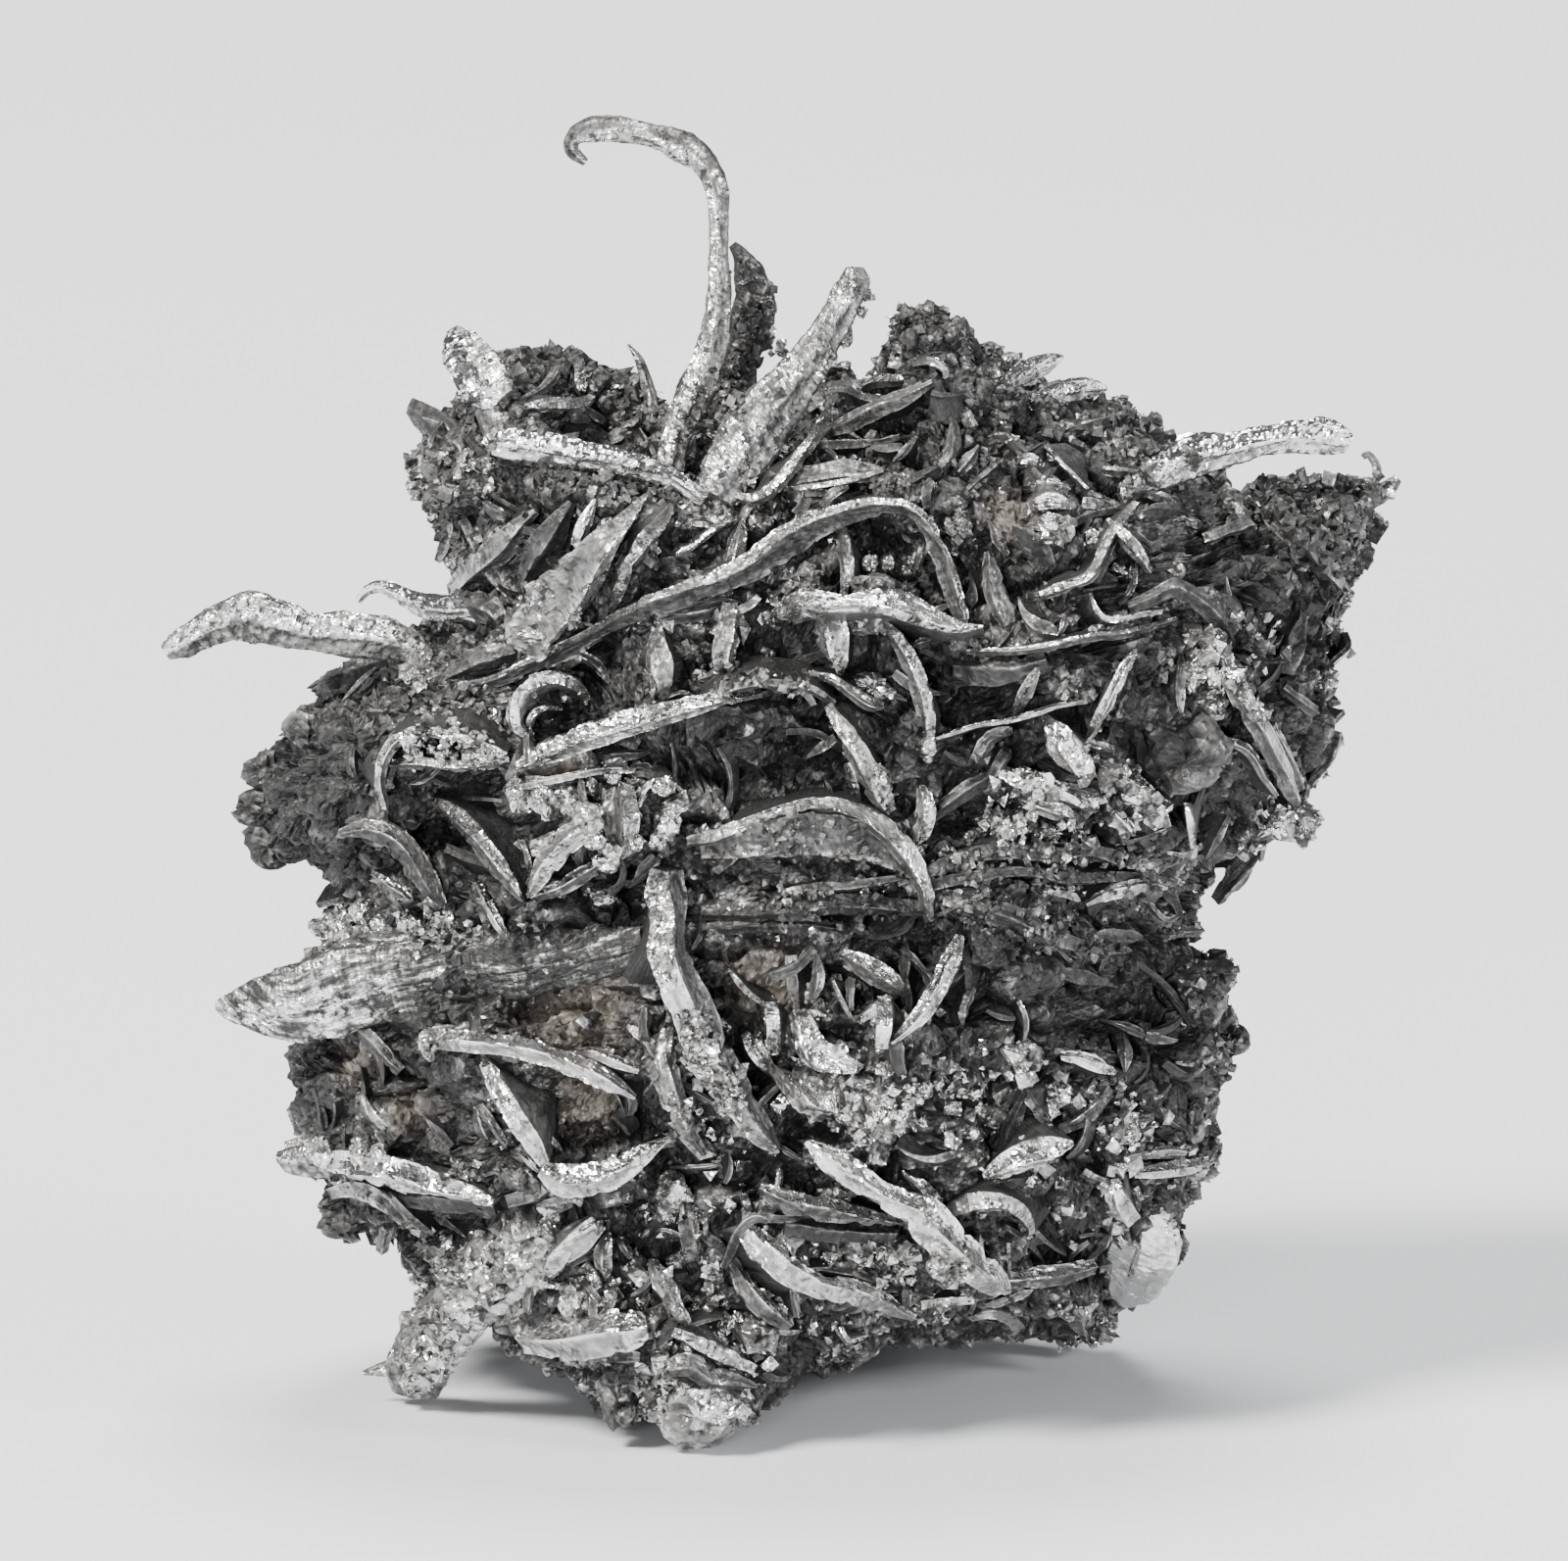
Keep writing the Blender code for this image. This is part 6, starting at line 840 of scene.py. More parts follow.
def squareAngle(p, q):
    # The direction that a place on a square takes when the square is drawn out to a disc.
    wide = np.abs(p) >= np.abs(q)
    sideOn = np.where(p >= 0, 0.0, math.pi) + 0.25 * math.pi * q / np.where(p == 0, 1.0, p)
    upright = np.copysign(0.5 * math.pi, q) - 0.25 * math.pi * p / np.where(q == 0, 1.0, q)
    return np.where(wide, sideOn, upright)


def crustHeight(points):
    # The crust over the bare mass, and how raised each place is, from 0 to 1. Height = 0.62 plates +
    # 0.26 chips + 0.12 grains, which are crystal faces of three sizes, - 0.45 cracks at the plates' edges.
    wander = np.stack([cloud(points, 1.6, 40 + k) for k in range(3)], axis=-1) - 0.5
    bent = points + massSkin["bend"] * wander
    plate, plateEdge = facets(bent * np.array(massSkin["stretch"]), massSkin["plate"], 3, 0.9)
    chip, _ = facets(bent, massSkin["chip"], 13, 1.1)
    grain, _ = facets(points, massSkin["grain"], 23, 1.0)
    crackWidth, crackDepth = massSkin["crack"]
    crack = bell(plateEdge, crackWidth)
    tall, middling, low = massSkin["heights"]
    height = tall * plate + middling * chip + low * grain - crackDepth * crack
    # The higher a place, the brighter it is painted, as wear and as painted highlight; low places and the
    # cracks are darker, as tarnish and as painted shade.
    plateWearAndLight, chipWearAndLight, grainWearAndLight, crackTarnishAndShade = massSkin["wearAndLight"]
    raised = 0.5 + plateWearAndLight * plate + chipWearAndLight * chip + grainWearAndLight * grain - crackTarnishAndShade * crack
    return height, np.clip(raised, 0, 1)


def massSkinPiece(name, side, cells, material):
    # One side's square grid drawn out over the mass, then closed by a fan to a point inside.
    steps = np.linspace(-1, 1, cells + 1)
    p, q = np.meshgrid(steps, steps, indexing="ij")
    belt = side * (1 - np.maximum(np.abs(p), np.abs(q)))
    angle = squareAngle(p, q)
    _, outward = surfaceFrames(angle, np.clip(belt, -0.96, 0.96))
    points = surfacePoints(angle, belt)
    height, raised = crustHeight(points)
    points = (points + outward * height[..., None]).reshape(-1, 3)
    inner = np.array([[0.0, -0.5 * side, massSkin["inside"]]])
    quads = gridFaces(cells + 1, cells + 1, False)
    index = np.arange((cells + 1) ** 2).reshape(cells + 1, cells + 1)
    border = np.concatenate([index[:-1, 0], index[-1, :-1], index[:0:-1, -1], index[0, :0:-1]])
    fan = np.stack([border, np.full(len(border), len(points)), np.roll(border, -1)], axis=-1)
    if side > 0:
        quads, fan = quads[:, ::-1], fan[:, ::-1]
    raised = np.append(raised.reshape(-1), 0)
    points = np.vstack([points, inner])
    points[:, 2] = np.maximum(points[:, 2], massSkin["sole"])
    least, patchy = massSkin["bright"]
    # Inside the hollows the crust is painted up to 0.8 darker, a painted shade.
    bright = (least + patchy * cloud(points, 5.0, 61) + lightOf(points)) * (1 - 0.8 * hollowOf(points))
    facts = {"raised": raised, "bright": bright, "stain": stainOf(points)}
    piece = addMesh(name, points, [quads, fan], facts)
    dressPiece(piece, material)
    return piece


# Paths and the ribbons swept along them.
ribbonSweep = {
    "topPoints": 13, "ridgeHeight": 0.42, "sag": 0.18, "sink": (0.35, 0.45), "twist": 0.5, "wavy": 0.14,
    "notch": 0.42, "rimTurn": 0.6, "rimReach": (0.5, 3.0), "wearAndLight": (0.46, 0.5, 0.2), "sideTarnishAndShade": 0.35,
    "below": [(0.42, 0.06), (0.24, 0.28), (0.0, 1.0), (-0.24, 0.28), (-0.42, 0.06)],
    "belowTarnishAndShade": [0.3, 0.1, 0.0, 0.1, 0.3], "crumple": (0.07, 0.8, 0.22)}
wireSweep = {
    "spacing": 0.11, "roundPoints": 26, "thickness": 0.66, "wavy": 0.16, "crumple": (0.075, 1.2, 0.25),
    "ridges": [(0.5 * math.pi, 0.22, 0.36), (0.2 * math.pi, 0.18, 0.252)]}


def evenPath(points, spacing):
    # A smooth path through the points, which carry their widths, in even steps: a Catmull-Rom curve.
    given = np.array(points, float)
    if len(given) == 2:
        given = np.vstack([given[0], given.mean(axis=0), given[1]])
    held = np.vstack([2 * given[0] - given[1], given, 2 * given[-1] - given[-2]])
    run = np.linspace(0, len(given) - 1 - 1e-6, 20 * len(given))
    cell = run.astype(int)
    share = (run - cell)[:, None]
    a, b, c, d = held[cell], held[cell + 1], held[cell + 2], held[cell + 3]
    bend = (2 * a - 5 * b + 4 * c - d) * share ** 2 + (3 * b - 3 * c + d - a) * share ** 3
    dense = 0.5 * (2 * b + (c - a) * share + bend)
    reach = np.append(0, np.cumsum(np.linalg.norm(np.diff(dense[:, :2], axis=0), axis=1)))
    even = np.linspace(0, reach[-1], max(8, int(reach[-1] / spacing)))
    path = np.stack([np.interp(even, reach, dense[:, k]) for k in range(given.shape[1])], axis=-1)
    path[:, -1] = np.maximum(path[:, -1], 0.05)
    return path, even


def line(values, size, salt):
    # Smooth noise from 0 to 1 along a line.
    return cloud(np.stack([values, 0 * values + 1.7 * salt, 0 * values], axis=-1), size, salt)


def ragged(values, size, salt):
    # Noise along a line that stays near 0 and drops to -1 in short notches.
    return -smoothStep(0.62, 0.9, line(values, size, salt))


def sweep(centres, outward, widths, section):
    # Points of a section, given as sideways and outward shares of the width, along a path.
    along = unit(np.gradient(centres, axis=0))
    sideways = unit(np.cross(along, outward))
    outward = np.cross(sideways, along)
    across = section[..., 0] * widths[:, None]
    above = section[..., 1] * widths[:, None]
    made = centres[:, None] + across[..., None] * sideways[:, None] + above[..., None] * outward[:, None]
    return made, outward


def tubeFaces(rings, around):
    # Quads round a closed section, and a fan of triangles at each end.
    quads = gridFaces(rings, around, True)
    step = np.arange(1, around - 1)
    first = np.stack([np.zeros_like(step), step, step + 1], axis=-1)
    last = np.stack([np.zeros_like(step), step + 1, step], axis=-1) + (rings - 1) * around
    return quads, np.vstack([first, last])


def crumpled(reach, across, salt):
    # The beaten finish of a growth, on its own length and width. Height = 0.75 long plates + 0.38 small
    # chips + 0.14 of a wave across, from about -1 to 1, with how close each place is to a crease.
    place = np.stack([reach * 0.45, across * 1.25, 0 * across + 3.1 * salt], axis=-1)
    plate, plateEdge = facets(place, 0.5, salt, 1.1)
    small = np.stack([reach * 0.8, across * 1.2, 0 * across + 1.3 * salt], axis=-1)
    chip, chipEdge = facets(small, 0.24, salt + 5, 1.1)
    ribs = np.sin(2 * math.pi * (reach + 0.35 * across) / 0.34 + 4 * line(reach, 1.3, salt))
    height = 0.75 * plate + 0.38 * chip + 0.14 * ribs
    crease = bell(plateEdge, 0.09) + 0.5 * bell(chipEdge, 0.1)
    return height, np.clip(crease, 0, 1)


def toneAndFaceLight(tone, salt):
    # A growth's tone is one number, or the tones of its left and right faces and the place of its ridge
    # between its edges, from -1 to 1. The faces' two tones are painted light and shade, one face painted
    # lit and the other shaded; one number is split with the left face painted lit and the right shaded. A
    # fourth number is the share of the tone that is left at its end.
    if isinstance(tone, tuple):
        return tone if len(tone) == 4 else (*tone, 1.0)
    return min(1.15 * tone, 1.0), 0.6 * tone, 0.35 * math.sin(3.1 * salt), 1.0


def beaten(made, away, reach, width, across, salt, crumple, wornAndLit, tonesAndLight, endShare):
    # A growth's points moved along away by its beaten finish, and its values there: how raised, from how
    # worn it is and where highlight and shade are painted, with the finish and its creases, which are
    # painted darker as tarnish and as shade, and how bright, from its tones, which carry the painted light
    # of its faces and fade to their end share along it, with soft bands.
    strength, fullWidth, creaseTarnishAndShade = crumple
    along = np.broadcast_to(reach[:, None], across.shape)
    height, crease = crumpled(along, across, salt)
    strength = strength * smoothStep(0.1, fullWidth, width)[:, None]
    made = made + (strength * height)[..., None] * away
    raised = wornAndLit + 0.14 * height - creaseTarnishAndShade * crease
    fade = 1 + (endShare - 1) * smoothStep(0.25, 0.85, reach / reach[-1])
    bright = tonesAndLight * (fade * (0.84 + 0.32 * line(reach, 1.1, salt + 4)))[:, None]
    return made, np.clip(raised, 0, 1), np.clip(bright, 0, 1), along, across


def ribbonCourse(lift, path, reach, side, salt, roll, turned):
    # A ribbon's middle line, the way it faces and how far it stands off. The line lies on the mass or on
    # the chord between its ends, whichever is farther out, evened, and rises as a sine to its middle.
    x, y, _ = path.T
    share = reach / reach[-1]
    surface = surfaceDepth(x, y, side)
    chord = surface[0] + (surface[-1] - surface[0]) * share
    depth = evened(side * np.maximum(side * surface, side * chord), 3)
    rise = lift * (0.45 + 0.55 * np.sin(math.pi * np.clip(share, 0.02, 0.98)) ** 0.7)
    centres = seenPlace(x, y, depth + side * rise)
    viewed = np.array([0.0, side, 0.0])
    rimTurn = ribbonSweep["rimTurn"]
    fromRim = smoothStep(*ribbonSweep["rimReach"], rimDistance(x, y))
    follows = np.maximum(turned, rimTurn - rimTurn * fromRim)[:, None]
    outward = unit(evened(viewed + follows * (surfaceNormals(x, y, side) - viewed), 4))
    sideways = unit(np.cross(unit(np.gradient(centres, axis=0)), outward))
    twist = roll + ribbonSweep["twist"] * (line(reach, 2.6, salt + 2) - 0.5)
    return centres, unit(outward + np.tan(twist)[:, None] * sideways), rise


def ribbonEdge(reach, salt, notchSalt):
    # How far an edge stands out along a ribbon: 1, with waves and its own notches.
    wave = ribbonSweep["wavy"] * (line(reach, 0.5, salt) - 0.5)
    return (1 + wave + ribbonSweep["notch"] * ragged(reach, 0.42, notchSalt))[:, None]


def ribbonPart(lift, tone, points, side, salt, roll, spacing=0.14, turned=0.1):
    # A ribbon with a crisp ridge between two faces, whose sides go down into the crust. Turned is how far
    # its face follows the mass, from 0 for one that faces the viewer to 1, and is at least 0.6 at the rim.
    path, reach = evenPath(points, spacing)
    width = path[:, 2]
    centres, outward, rise = ribbonCourse(lift, path, reach, side, salt, roll, turned)

    # Across the top, the faces fall from the ridge to both edges.
    top = np.linspace(-1, 1, ribbonSweep["topPoints"])
    leftToneAndLight, rightToneAndLight, ridge, endShare = toneAndFaceLight(tone, salt)
    ridgeAt = np.clip(ridge + 0.4 * (line(reach, 2.0, salt + 3) - 0.5), -0.85, 0.85)[:, None]
    slope = np.where(top < ridgeAt, (top + 1) / (ridgeAt + 1), (1 - top) / (1 - ridgeAt))
    spread = np.where(top < 0, ribbonEdge(reach, salt, salt + 11), ribbonEdge(reach, salt + 1, salt + 12))
    below = np.array(ribbonSweep["below"])
    sink, wider = ribbonSweep["sink"]
    skirt = (rise + sink + wider * width) / width
    tops, sides = slice(0, len(top)), slice(len(top), None)
    section = np.zeros((len(reach), len(top) + len(below), 2))
    section[:, tops, 0] = 0.5 * top * spread
    section[:, tops, 1] = ribbonSweep["ridgeHeight"] * (slope - ribbonSweep["sag"] * np.sin(math.pi * slope))
    section[:, sides, 0] = below[:, 0]
    section[:, sides, 1] = -below[:, 1] * skirt[:, None]
    made, lifted = sweep(centres, outward, width, section)
    across = section[..., 0] * width[:, None]
    across[:, sides] += 0.7 * section[:, sides, 1] * width[:, None]

    # The ridge and both edges are the most worn and are painted brighter as a highlight, then the faces;
    # the sides keep their tarnish and are painted dark as the shade beneath the ribbon.
    faceWear, ridgeWearAndHighlight, edgeWearAndHighlight = ribbonSweep["wearAndLight"]
    wornAndLit = np.zeros(made.shape[:2])
    wornAndLit[:, tops] = faceWear + ridgeWearAndHighlight * bell(1 - slope, 0.13) + edgeWearAndHighlight * bell(slope, 0.1)
    wornAndLit[:, sides] = ribbonSweep["belowTarnishAndShade"]
    # Each face takes its own tone; on the listed blades one face is painted lit and the other painted in
    # shade.
    faceToneAndLight = np.where(np.append(top, 0.4 * np.ones(len(below))) < ridgeAt, leftToneAndLight, rightToneAndLight)
    # The sides' tones are cut to about a third, as tarnish and as painted shade beneath the ribbon.
    tonesAndLight = faceToneAndLight * np.where(np.arange(made.shape[1]) < len(top), 1.0, ribbonSweep["sideTarnishAndShade"])
    away = lifted[:, None]
    return beaten(made, away, reach, width, across, salt, ribbonSweep["crumple"], wornAndLit, tonesAndLight, endShare)


def wirePart(start, end, tone, points, salt):
    # A flattened wire with two ridges, free on all sides. An end with no depth is rooted in the mass.
    path, reach = evenPath(points, wireSweep["spacing"])
    x, y, width = path.T
    start = float(surfaceDepth(x[0], y[0], -1)) if start is None else start
    end = float(surfaceDepth(x[-1], y[-1], -1)) if end is None else end
    centres = seenPlace(x, y, start + (end - start) * reach / reach[-1])
    outward = np.zeros_like(centres)
    outward[:, 1] = -1
    turn = np.linspace(0, 2 * math.pi, wireSweep["roundPoints"], endpoint=False)

    # The section's radius is 1 + 0.1 cos 2t + 0.09 cos 3t - 0.06 cos 6t: a rounded lozenge with a second,
    # smaller ridge beside the first. It leans from side to side along the wire.
    bulge = 1 + 0.1 * np.cos(2 * turn) + 0.09 * np.cos(3 * turn + 0.6 * math.sin(salt))
    bulge = bulge - 0.06 * np.cos(6 * turn)
    bulge = bulge + 0.12 * (line(reach, 0.8, salt)[:, None] - 0.5) * np.cos(turn)
    section = 0.5 * np.stack([
        bulge * np.cos(turn), wireSweep["thickness"] * bulge * np.sin(turn)], axis=-1)
    notch = 1 + wireSweep["wavy"] * (line(reach, 0.7, salt + 2) - 0.5)
    made, _ = sweep(centres, outward, width * notch, section)
    away = unit(made - centres[:, None])
    across = 0.5 * width[:, None] * turn
    # Both ridges are worn and painted brighter, a painted highlight along the wire.
    wornAndLit = 0.5 + sum(share * bell(turn - at, wide) for at, wide, share in wireSweep["ridges"])
    # The wire's two sides take their own tones, one side painted lit and the other painted in shade.
    leftToneAndLight, rightToneAndLight, ridge, endShare = toneAndFaceLight(tone, salt)
    tonesAndLight = leftToneAndLight + (rightToneAndLight - leftToneAndLight) * smoothStep(ridge - 0.2, ridge + 0.2, np.cos(turn))
    return beaten(made, away, reach, width, across, salt, wireSweep["crumple"], wornAndLit, tonesAndLight, endShare)


def sweptPiece(name, parts, material):
    # Many swept parts in one mesh.
    quads, triangles = [], []
    count = 0
    for made, *_ in parts:
        square, fans = tubeFaces(*made.shape[:2])
        quads.append(square + count)
        triangles.append(fans + count)
        count += made.shape[0] * made.shape[1]
    made, *values = zip(*parts)
    points = np.vstack([rows.reshape(-1, 3) for rows in made])
    points[:, 2] = np.maximum(points[:, 2], massSkin["sole"])
    facts = {
        key: np.concatenate([rows.reshape(-1) for rows in value])
        for key, value in zip(("raised", "bright", "along", "across"), values)}
    piece = addMesh(name, points, [np.vstack(quads), np.vstack(triangles)], facts)
    dressPiece(piece, material)
    return piece


def clearGrowthPiece(name, wanted, material):
    # The wanted ones of the growths that stand clear, each a wire.
    parts = [wirePart(*row, salt) for salt, (growth, row) in enumerate(freeGrowths.items(), 1)
             if growth in wanted]
    return sweptPiece(name, parts, material)


def bladeParts(table, seed):
    # The ribbons of a table in two lists, those with a face of the brightest tone, a face painted lit, in
    # the second.
    chance = np.random.default_rng(seed)
    parts, brightest = [], []
    for index, (lift, tone, points) in enumerate(table):
        made = ribbonPart(lift, tone, points, -1, seed + 7 * index, chance.uniform(-0.55, 0.55))
        (brightest if max(toneAndFaceLight(tone, 0)[:2]) > 0.96 else parts).append(made)
    return parts, brightest

# Small growths between the large ones.
fillers = {
    "front ribbons": 300, "back ribbons": 200, "front shards": 9000, "back shards": 5600,
    "length": (0.8, 3.2), "width": (0.16, 0.66), "lift": (0.02, 0.55), "bare": (-16, -4.6, 14.2, 17.3),
    "spacing": 0.21, "turned": 0.95,
    "profiles": [(0.9, 1.0, 0.9, 0.6, 0.15), (0.15, 0.5, 0.9, 1.1, 0.8), (0.7, 0.9, 0.8, 0.9, 0.6),
                 (0.3, 1.0, 0.8, 0.9, 0.15)]}
shards = {
    "crowd": (4.2, 0.25, 0.7), "length": (0.2, 0.75), "width": (0.1, 0.38), "thickness": (0.07, 0.2),
    "bright": (0.04, 0.9), "standing": (-0.15, 0.45), "reach": 0.8}
grains = {
    "front": 12500, "back": 6000, "crowd": (3.2, 0.4, 0.75), "radius": (0.07, 0.24), "bright": (0.05, 0.75)}


def bladeDirections():
    # Places and directions of the blades' steps, for the fillers to follow.
    places, turns = [], []
    for table in (upperFaceBlades, rightFaceBlades, middleBlades, lowerFaceBlades):
        for _, _, points in table:
            steps = np.array(points)[:, :2]
            step = np.diff(steps, axis=0)
            places.append(steps[:-1] + 0.5 * step)
            turns.append(np.arctan2(step[:, 1], step[:, 0]))
    return np.vstack(places), np.concatenate(turns)


def backTurn(x, y):
    # The direction that growths follow on the back, which wanders over it.
    return 0.35 + 0.8 * np.sin(0.3 * x + 0.2 * y)


def onBare(ends):
    # Whether any of the places is on the area that's kept free of fillers.
    left, right, low, high = fillers["bare"]
    x, y = ends.T
    return np.any((x > left) & (x < right) & (y > low) & (y < high))


def fillerRibbons(count, side, seed, far=0.93):
    # Short curved ribbons over one side, in the direction of the closest blade, with some scatter.
    # Those on the back are longer, wider and straighter.
    chance = np.random.default_rng(seed)
    places, turns = bladeDirections()
    longer, wider, higher, bending = (1.9, 1.4, 1.5, 0.22) if side > 0 else (1, 1, 1, 0.5)
    parts = []
    while len(parts) < count:
        angle = chance.uniform(-math.pi, math.pi)
        reach = math.sqrt(chance.uniform(0, far)) * float(edgeRadius(angle))
        start = np.array(massCentre) + reach * np.array([math.cos(angle), math.sin(angle)])
        closest = np.argmin(np.hypot(*(places - start).T))
        turn = turns[closest] + chance.normal(0, 0.45)
        if side > 0:
            turn = backTurn(*start) + chance.normal(0, 0.7)
        long = chance.uniform(*fillers["length"]) * chance.uniform(0.6, 1.0) * longer
        wide = chance.uniform(*fillers["width"]) * wider
        bend = chance.normal(0, bending)
        profile = fillers["profiles"][chance.integers(0, len(fillers["profiles"]))]
        points = []
        for taper in profile:
            points.append((*start, wide * taper * chance.uniform(0.8, 1.2)))
            start = start + 0.25 * long * np.array([math.cos(turn), math.sin(turn)])
            turn += 0.4 * bend
        ends = np.array(points)[:, :2]
        if np.any(rimDistance(*ends.T) < 0.15) or side < 0 and onBare(ends):
            continue
        lift = chance.uniform(*fillers["lift"]) * higher
        tone = chance.uniform(0.06, 0.7) + float(lightOf(seenPlace(*ends[2], 5.0 * side)))
        faces = (tone, tone * chance.uniform(0.35, 1.3), chance.uniform(-0.5, 0.5))
        roll = chance.uniform(-0.8, 0.8)
        parts.append(ribbonPart(
            lift, faces, points, side, seed + len(parts), roll, fillers["spacing"], fillers["turned"]))
    return parts


# Corners of three small crystals, to be drawn out and turned: eight faces, a wedge and a broken block.
crystalShapes = [
    ([(0.9, 0.1, 0), (-0.9, -0.1, 0), (0.1, 1, 0), (0, -1, 0), (0.1, 0, 1), (0, 0, -1)],
     [(0, 2, 4), (2, 1, 4), (1, 3, 4), (3, 0, 4), (2, 0, 5), (1, 2, 5), (3, 1, 5), (0, 3, 5)]),
    ([(1, 0, 0.1), (-1, 0, 0.1), (0.4, 1, -0.2), (-0.6, 0.9, -0.2), (0.5, -1, -0.2), (-0.5, -0.8, -0.2),
      (0.35, 0.1, 1), (-0.45, -0.1, 0.8)],
     [(0, 2, 6), (2, 3, 7), (2, 7, 6), (3, 1, 7), (1, 5, 7), (5, 4, 6), (5, 6, 7), (4, 0, 6),
      (2, 0, 4), (3, 2, 4), (3, 4, 5), (1, 3, 5)]),
    ([(-0.9, -0.7, -1), (1, -0.8, -0.7), (0.8, 0.9, -1), (-1, 0.7, -0.8),
      (-0.8, -0.9, 0.8), (0.7, -0.6, 1), (1, 0.8, 0.6), (-0.7, 0.8, 1)],
     [(0, 2, 1), (0, 3, 2), (4, 5, 6), (4, 6, 7), (0, 1, 5), (0, 5, 4), (1, 2, 6), (1, 6, 5),
      (2, 3, 7), (2, 7, 6), (3, 0, 4), (3, 4, 7)])]


def crystalCrowd(places, frames, sizes, seed):
    # A small crystal at each place: a shape of the list with each corner moved a little, drawn out to its
    # own size and turned to its own frame. Gives points, faces and which crystal each point is on.
    chance = np.random.default_rng(seed)
    kind = chance.integers(0, len(crystalShapes), len(places))
    points, faces, owners = [], [], []
    count = 0
    for index, (corners, sides) in enumerate(crystalShapes):
        chosen = np.flatnonzero(kind == index)
        corners = np.array(corners, float)
        moved = corners + chance.uniform(-0.2, 0.2, (len(chosen), *corners.shape))
        drawn = moved * sizes[chosen][:, None]
        made = np.einsum("nij,nkj->nki", frames[chosen], drawn) + places[chosen][:, None]
        points.append(made.reshape(-1, 3))
        first = count + len(corners) * np.arange(len(chosen))
        faces.append((np.array(sides)[None] + first[:, None, None]).reshape(-1, 3))
        owners.append(np.repeat(chosen, len(corners)))
        count += len(corners) * len(chosen)
    return np.vstack(points), np.vstack(faces), np.concatenate(owners)


def crowdPiece(name, places, frames, sizes, shine, seed, material):
    # A crowd of crystals as one piece, each with its own shine and the light of its place.
    made, faces, owner = crystalCrowd(places, frames, sizes, seed)
    made[:, 2] = np.maximum(made[:, 2], massSkin["sole"])
    bright = np.clip(shine[owner] + lightOf(made), 0, 1)
    facts = {"raised": 0.6 + 0.4 * cloud(made, 0.4, 91), "bright": bright, "stain": stainOf(made)}
    piece = addMesh(name, made, [faces], facts)
    dressPiece(piece, material)
    return piece


def anyFrames(count, seed):
    # Turns in every direction.
    turn, _ = np.linalg.qr(np.random.default_rng(seed).normal(0, 1, (count, 3, 3)))
    return turn * np.sign(np.linalg.det(turn))[:, None, None]


def chosenPoints(skin, count, crowdSize, low, high, seed):
    # Points of a skin, more of them where the crowd noise is high.
    points = pointsOf(skin)[:-1]
    points = points[points[:, 2] > 0.5]
    crowd = (smoothStep(low, high, cloud(points, crowdSize, seed)) + 0.2) * (1.05 - hollowOf(points))
    chance = np.random.default_rng(seed)
    return points[chance.choice(len(points), count, replace=False, p=crowd / crowd.sum())]


def grainPiece(name, skin, count, nearest, seed, material):
    # Small crystals on a skin, turned every way, each size a skewed random share of the range.
    chance = np.random.default_rng(seed)
    places = chosenPoints(skin, count, *grains["crowd"], seed)
    places = places[~hidesGrowth(places, nearest)]
    count = len(places)
    low, high = grains["radius"]
    sizes = (low + (high - low) * chance.beta(1.3, 2.6, (count, 1))) * chance.uniform(0.7, 1.5, (count, 3))
    shine = chance.uniform(*grains["bright"], count)
    return crowdPiece(name, places, anyFrames(count, seed), sizes, shine, seed, material)


def shardPiece(name, skin, side, count, nearest, seed, material):
    # Long chips that stand out of the crust, in the direction of the closest blade.
    chance = np.random.default_rng(seed)
    places = chosenPoints(skin, count, *shards["crowd"], seed)
    across, up, _ = seenAt(places)
    blades, turns = bladeDirections()
    if side > 0:
        turn = backTurn(across, up)
    else:
        apart = (across[:, None] - blades[:, 0]) ** 2 + (up[:, None] - blades[:, 1]) ** 2
        turn = turns[np.argmin(apart, axis=1)]
    turn = turn + chance.normal(0, 0.5, count)
    outward = (places - massMiddle) * np.array([0.7, 1.0, 0.7])
    outward = unit(outward + chance.normal(0, 2.5, places.shape))
    ahead = np.stack([np.cos(turn), 0 * turn, np.sin(turn)], axis=-1)
    ahead = ahead * np.sign(chance.uniform(-1, 1, (count, 1)))
    ahead = ahead - 0.6 * outward * np.sum(ahead * outward, axis=-1, keepdims=True)
    ahead = unit(ahead + outward * chance.uniform(*shards["standing"], (count, 1)))
    wide = unit(np.cross(outward, ahead))
    frames = np.stack([ahead, wide, np.cross(ahead, wide)], axis=-1)

    # Each size is its least value plus a random share of the rest.
    (shortest, longer), (narrowest, wider) = shards["length"], shards["width"]
    (thinnest, thicker), (darkest, lighter) = shards["thickness"], shards["bright"]
    long = shortest + longer * chance.beta(1.3, 3.2, count)
    sizes = np.stack([
        long, narrowest + wider * long * chance.uniform(0.5, 1.2, count),
        thinnest + thicker * long * chance.uniform(0.5, 1.3, count)], axis=-1)
    shine = darkest + lighter * chance.beta(1.1, 1.9, count)
    places = places + 0.2 * long[:, None] * ahead
    tip = shards["reach"] * long[:, None] * ahead
    clear = ~np.any([hidesGrowth(places + step * tip, nearest) for step in (-1, 0, 1)], axis=0)
    return crowdPiece(name, places[clear], frames[clear], sizes[clear], shine[clear], seed, material)


nuggetLump = {"rings": 14, "around": 20, "tip": 0.06, "uneven": 0.28, "face": (0.3, 0.14), "fine": 0.09}


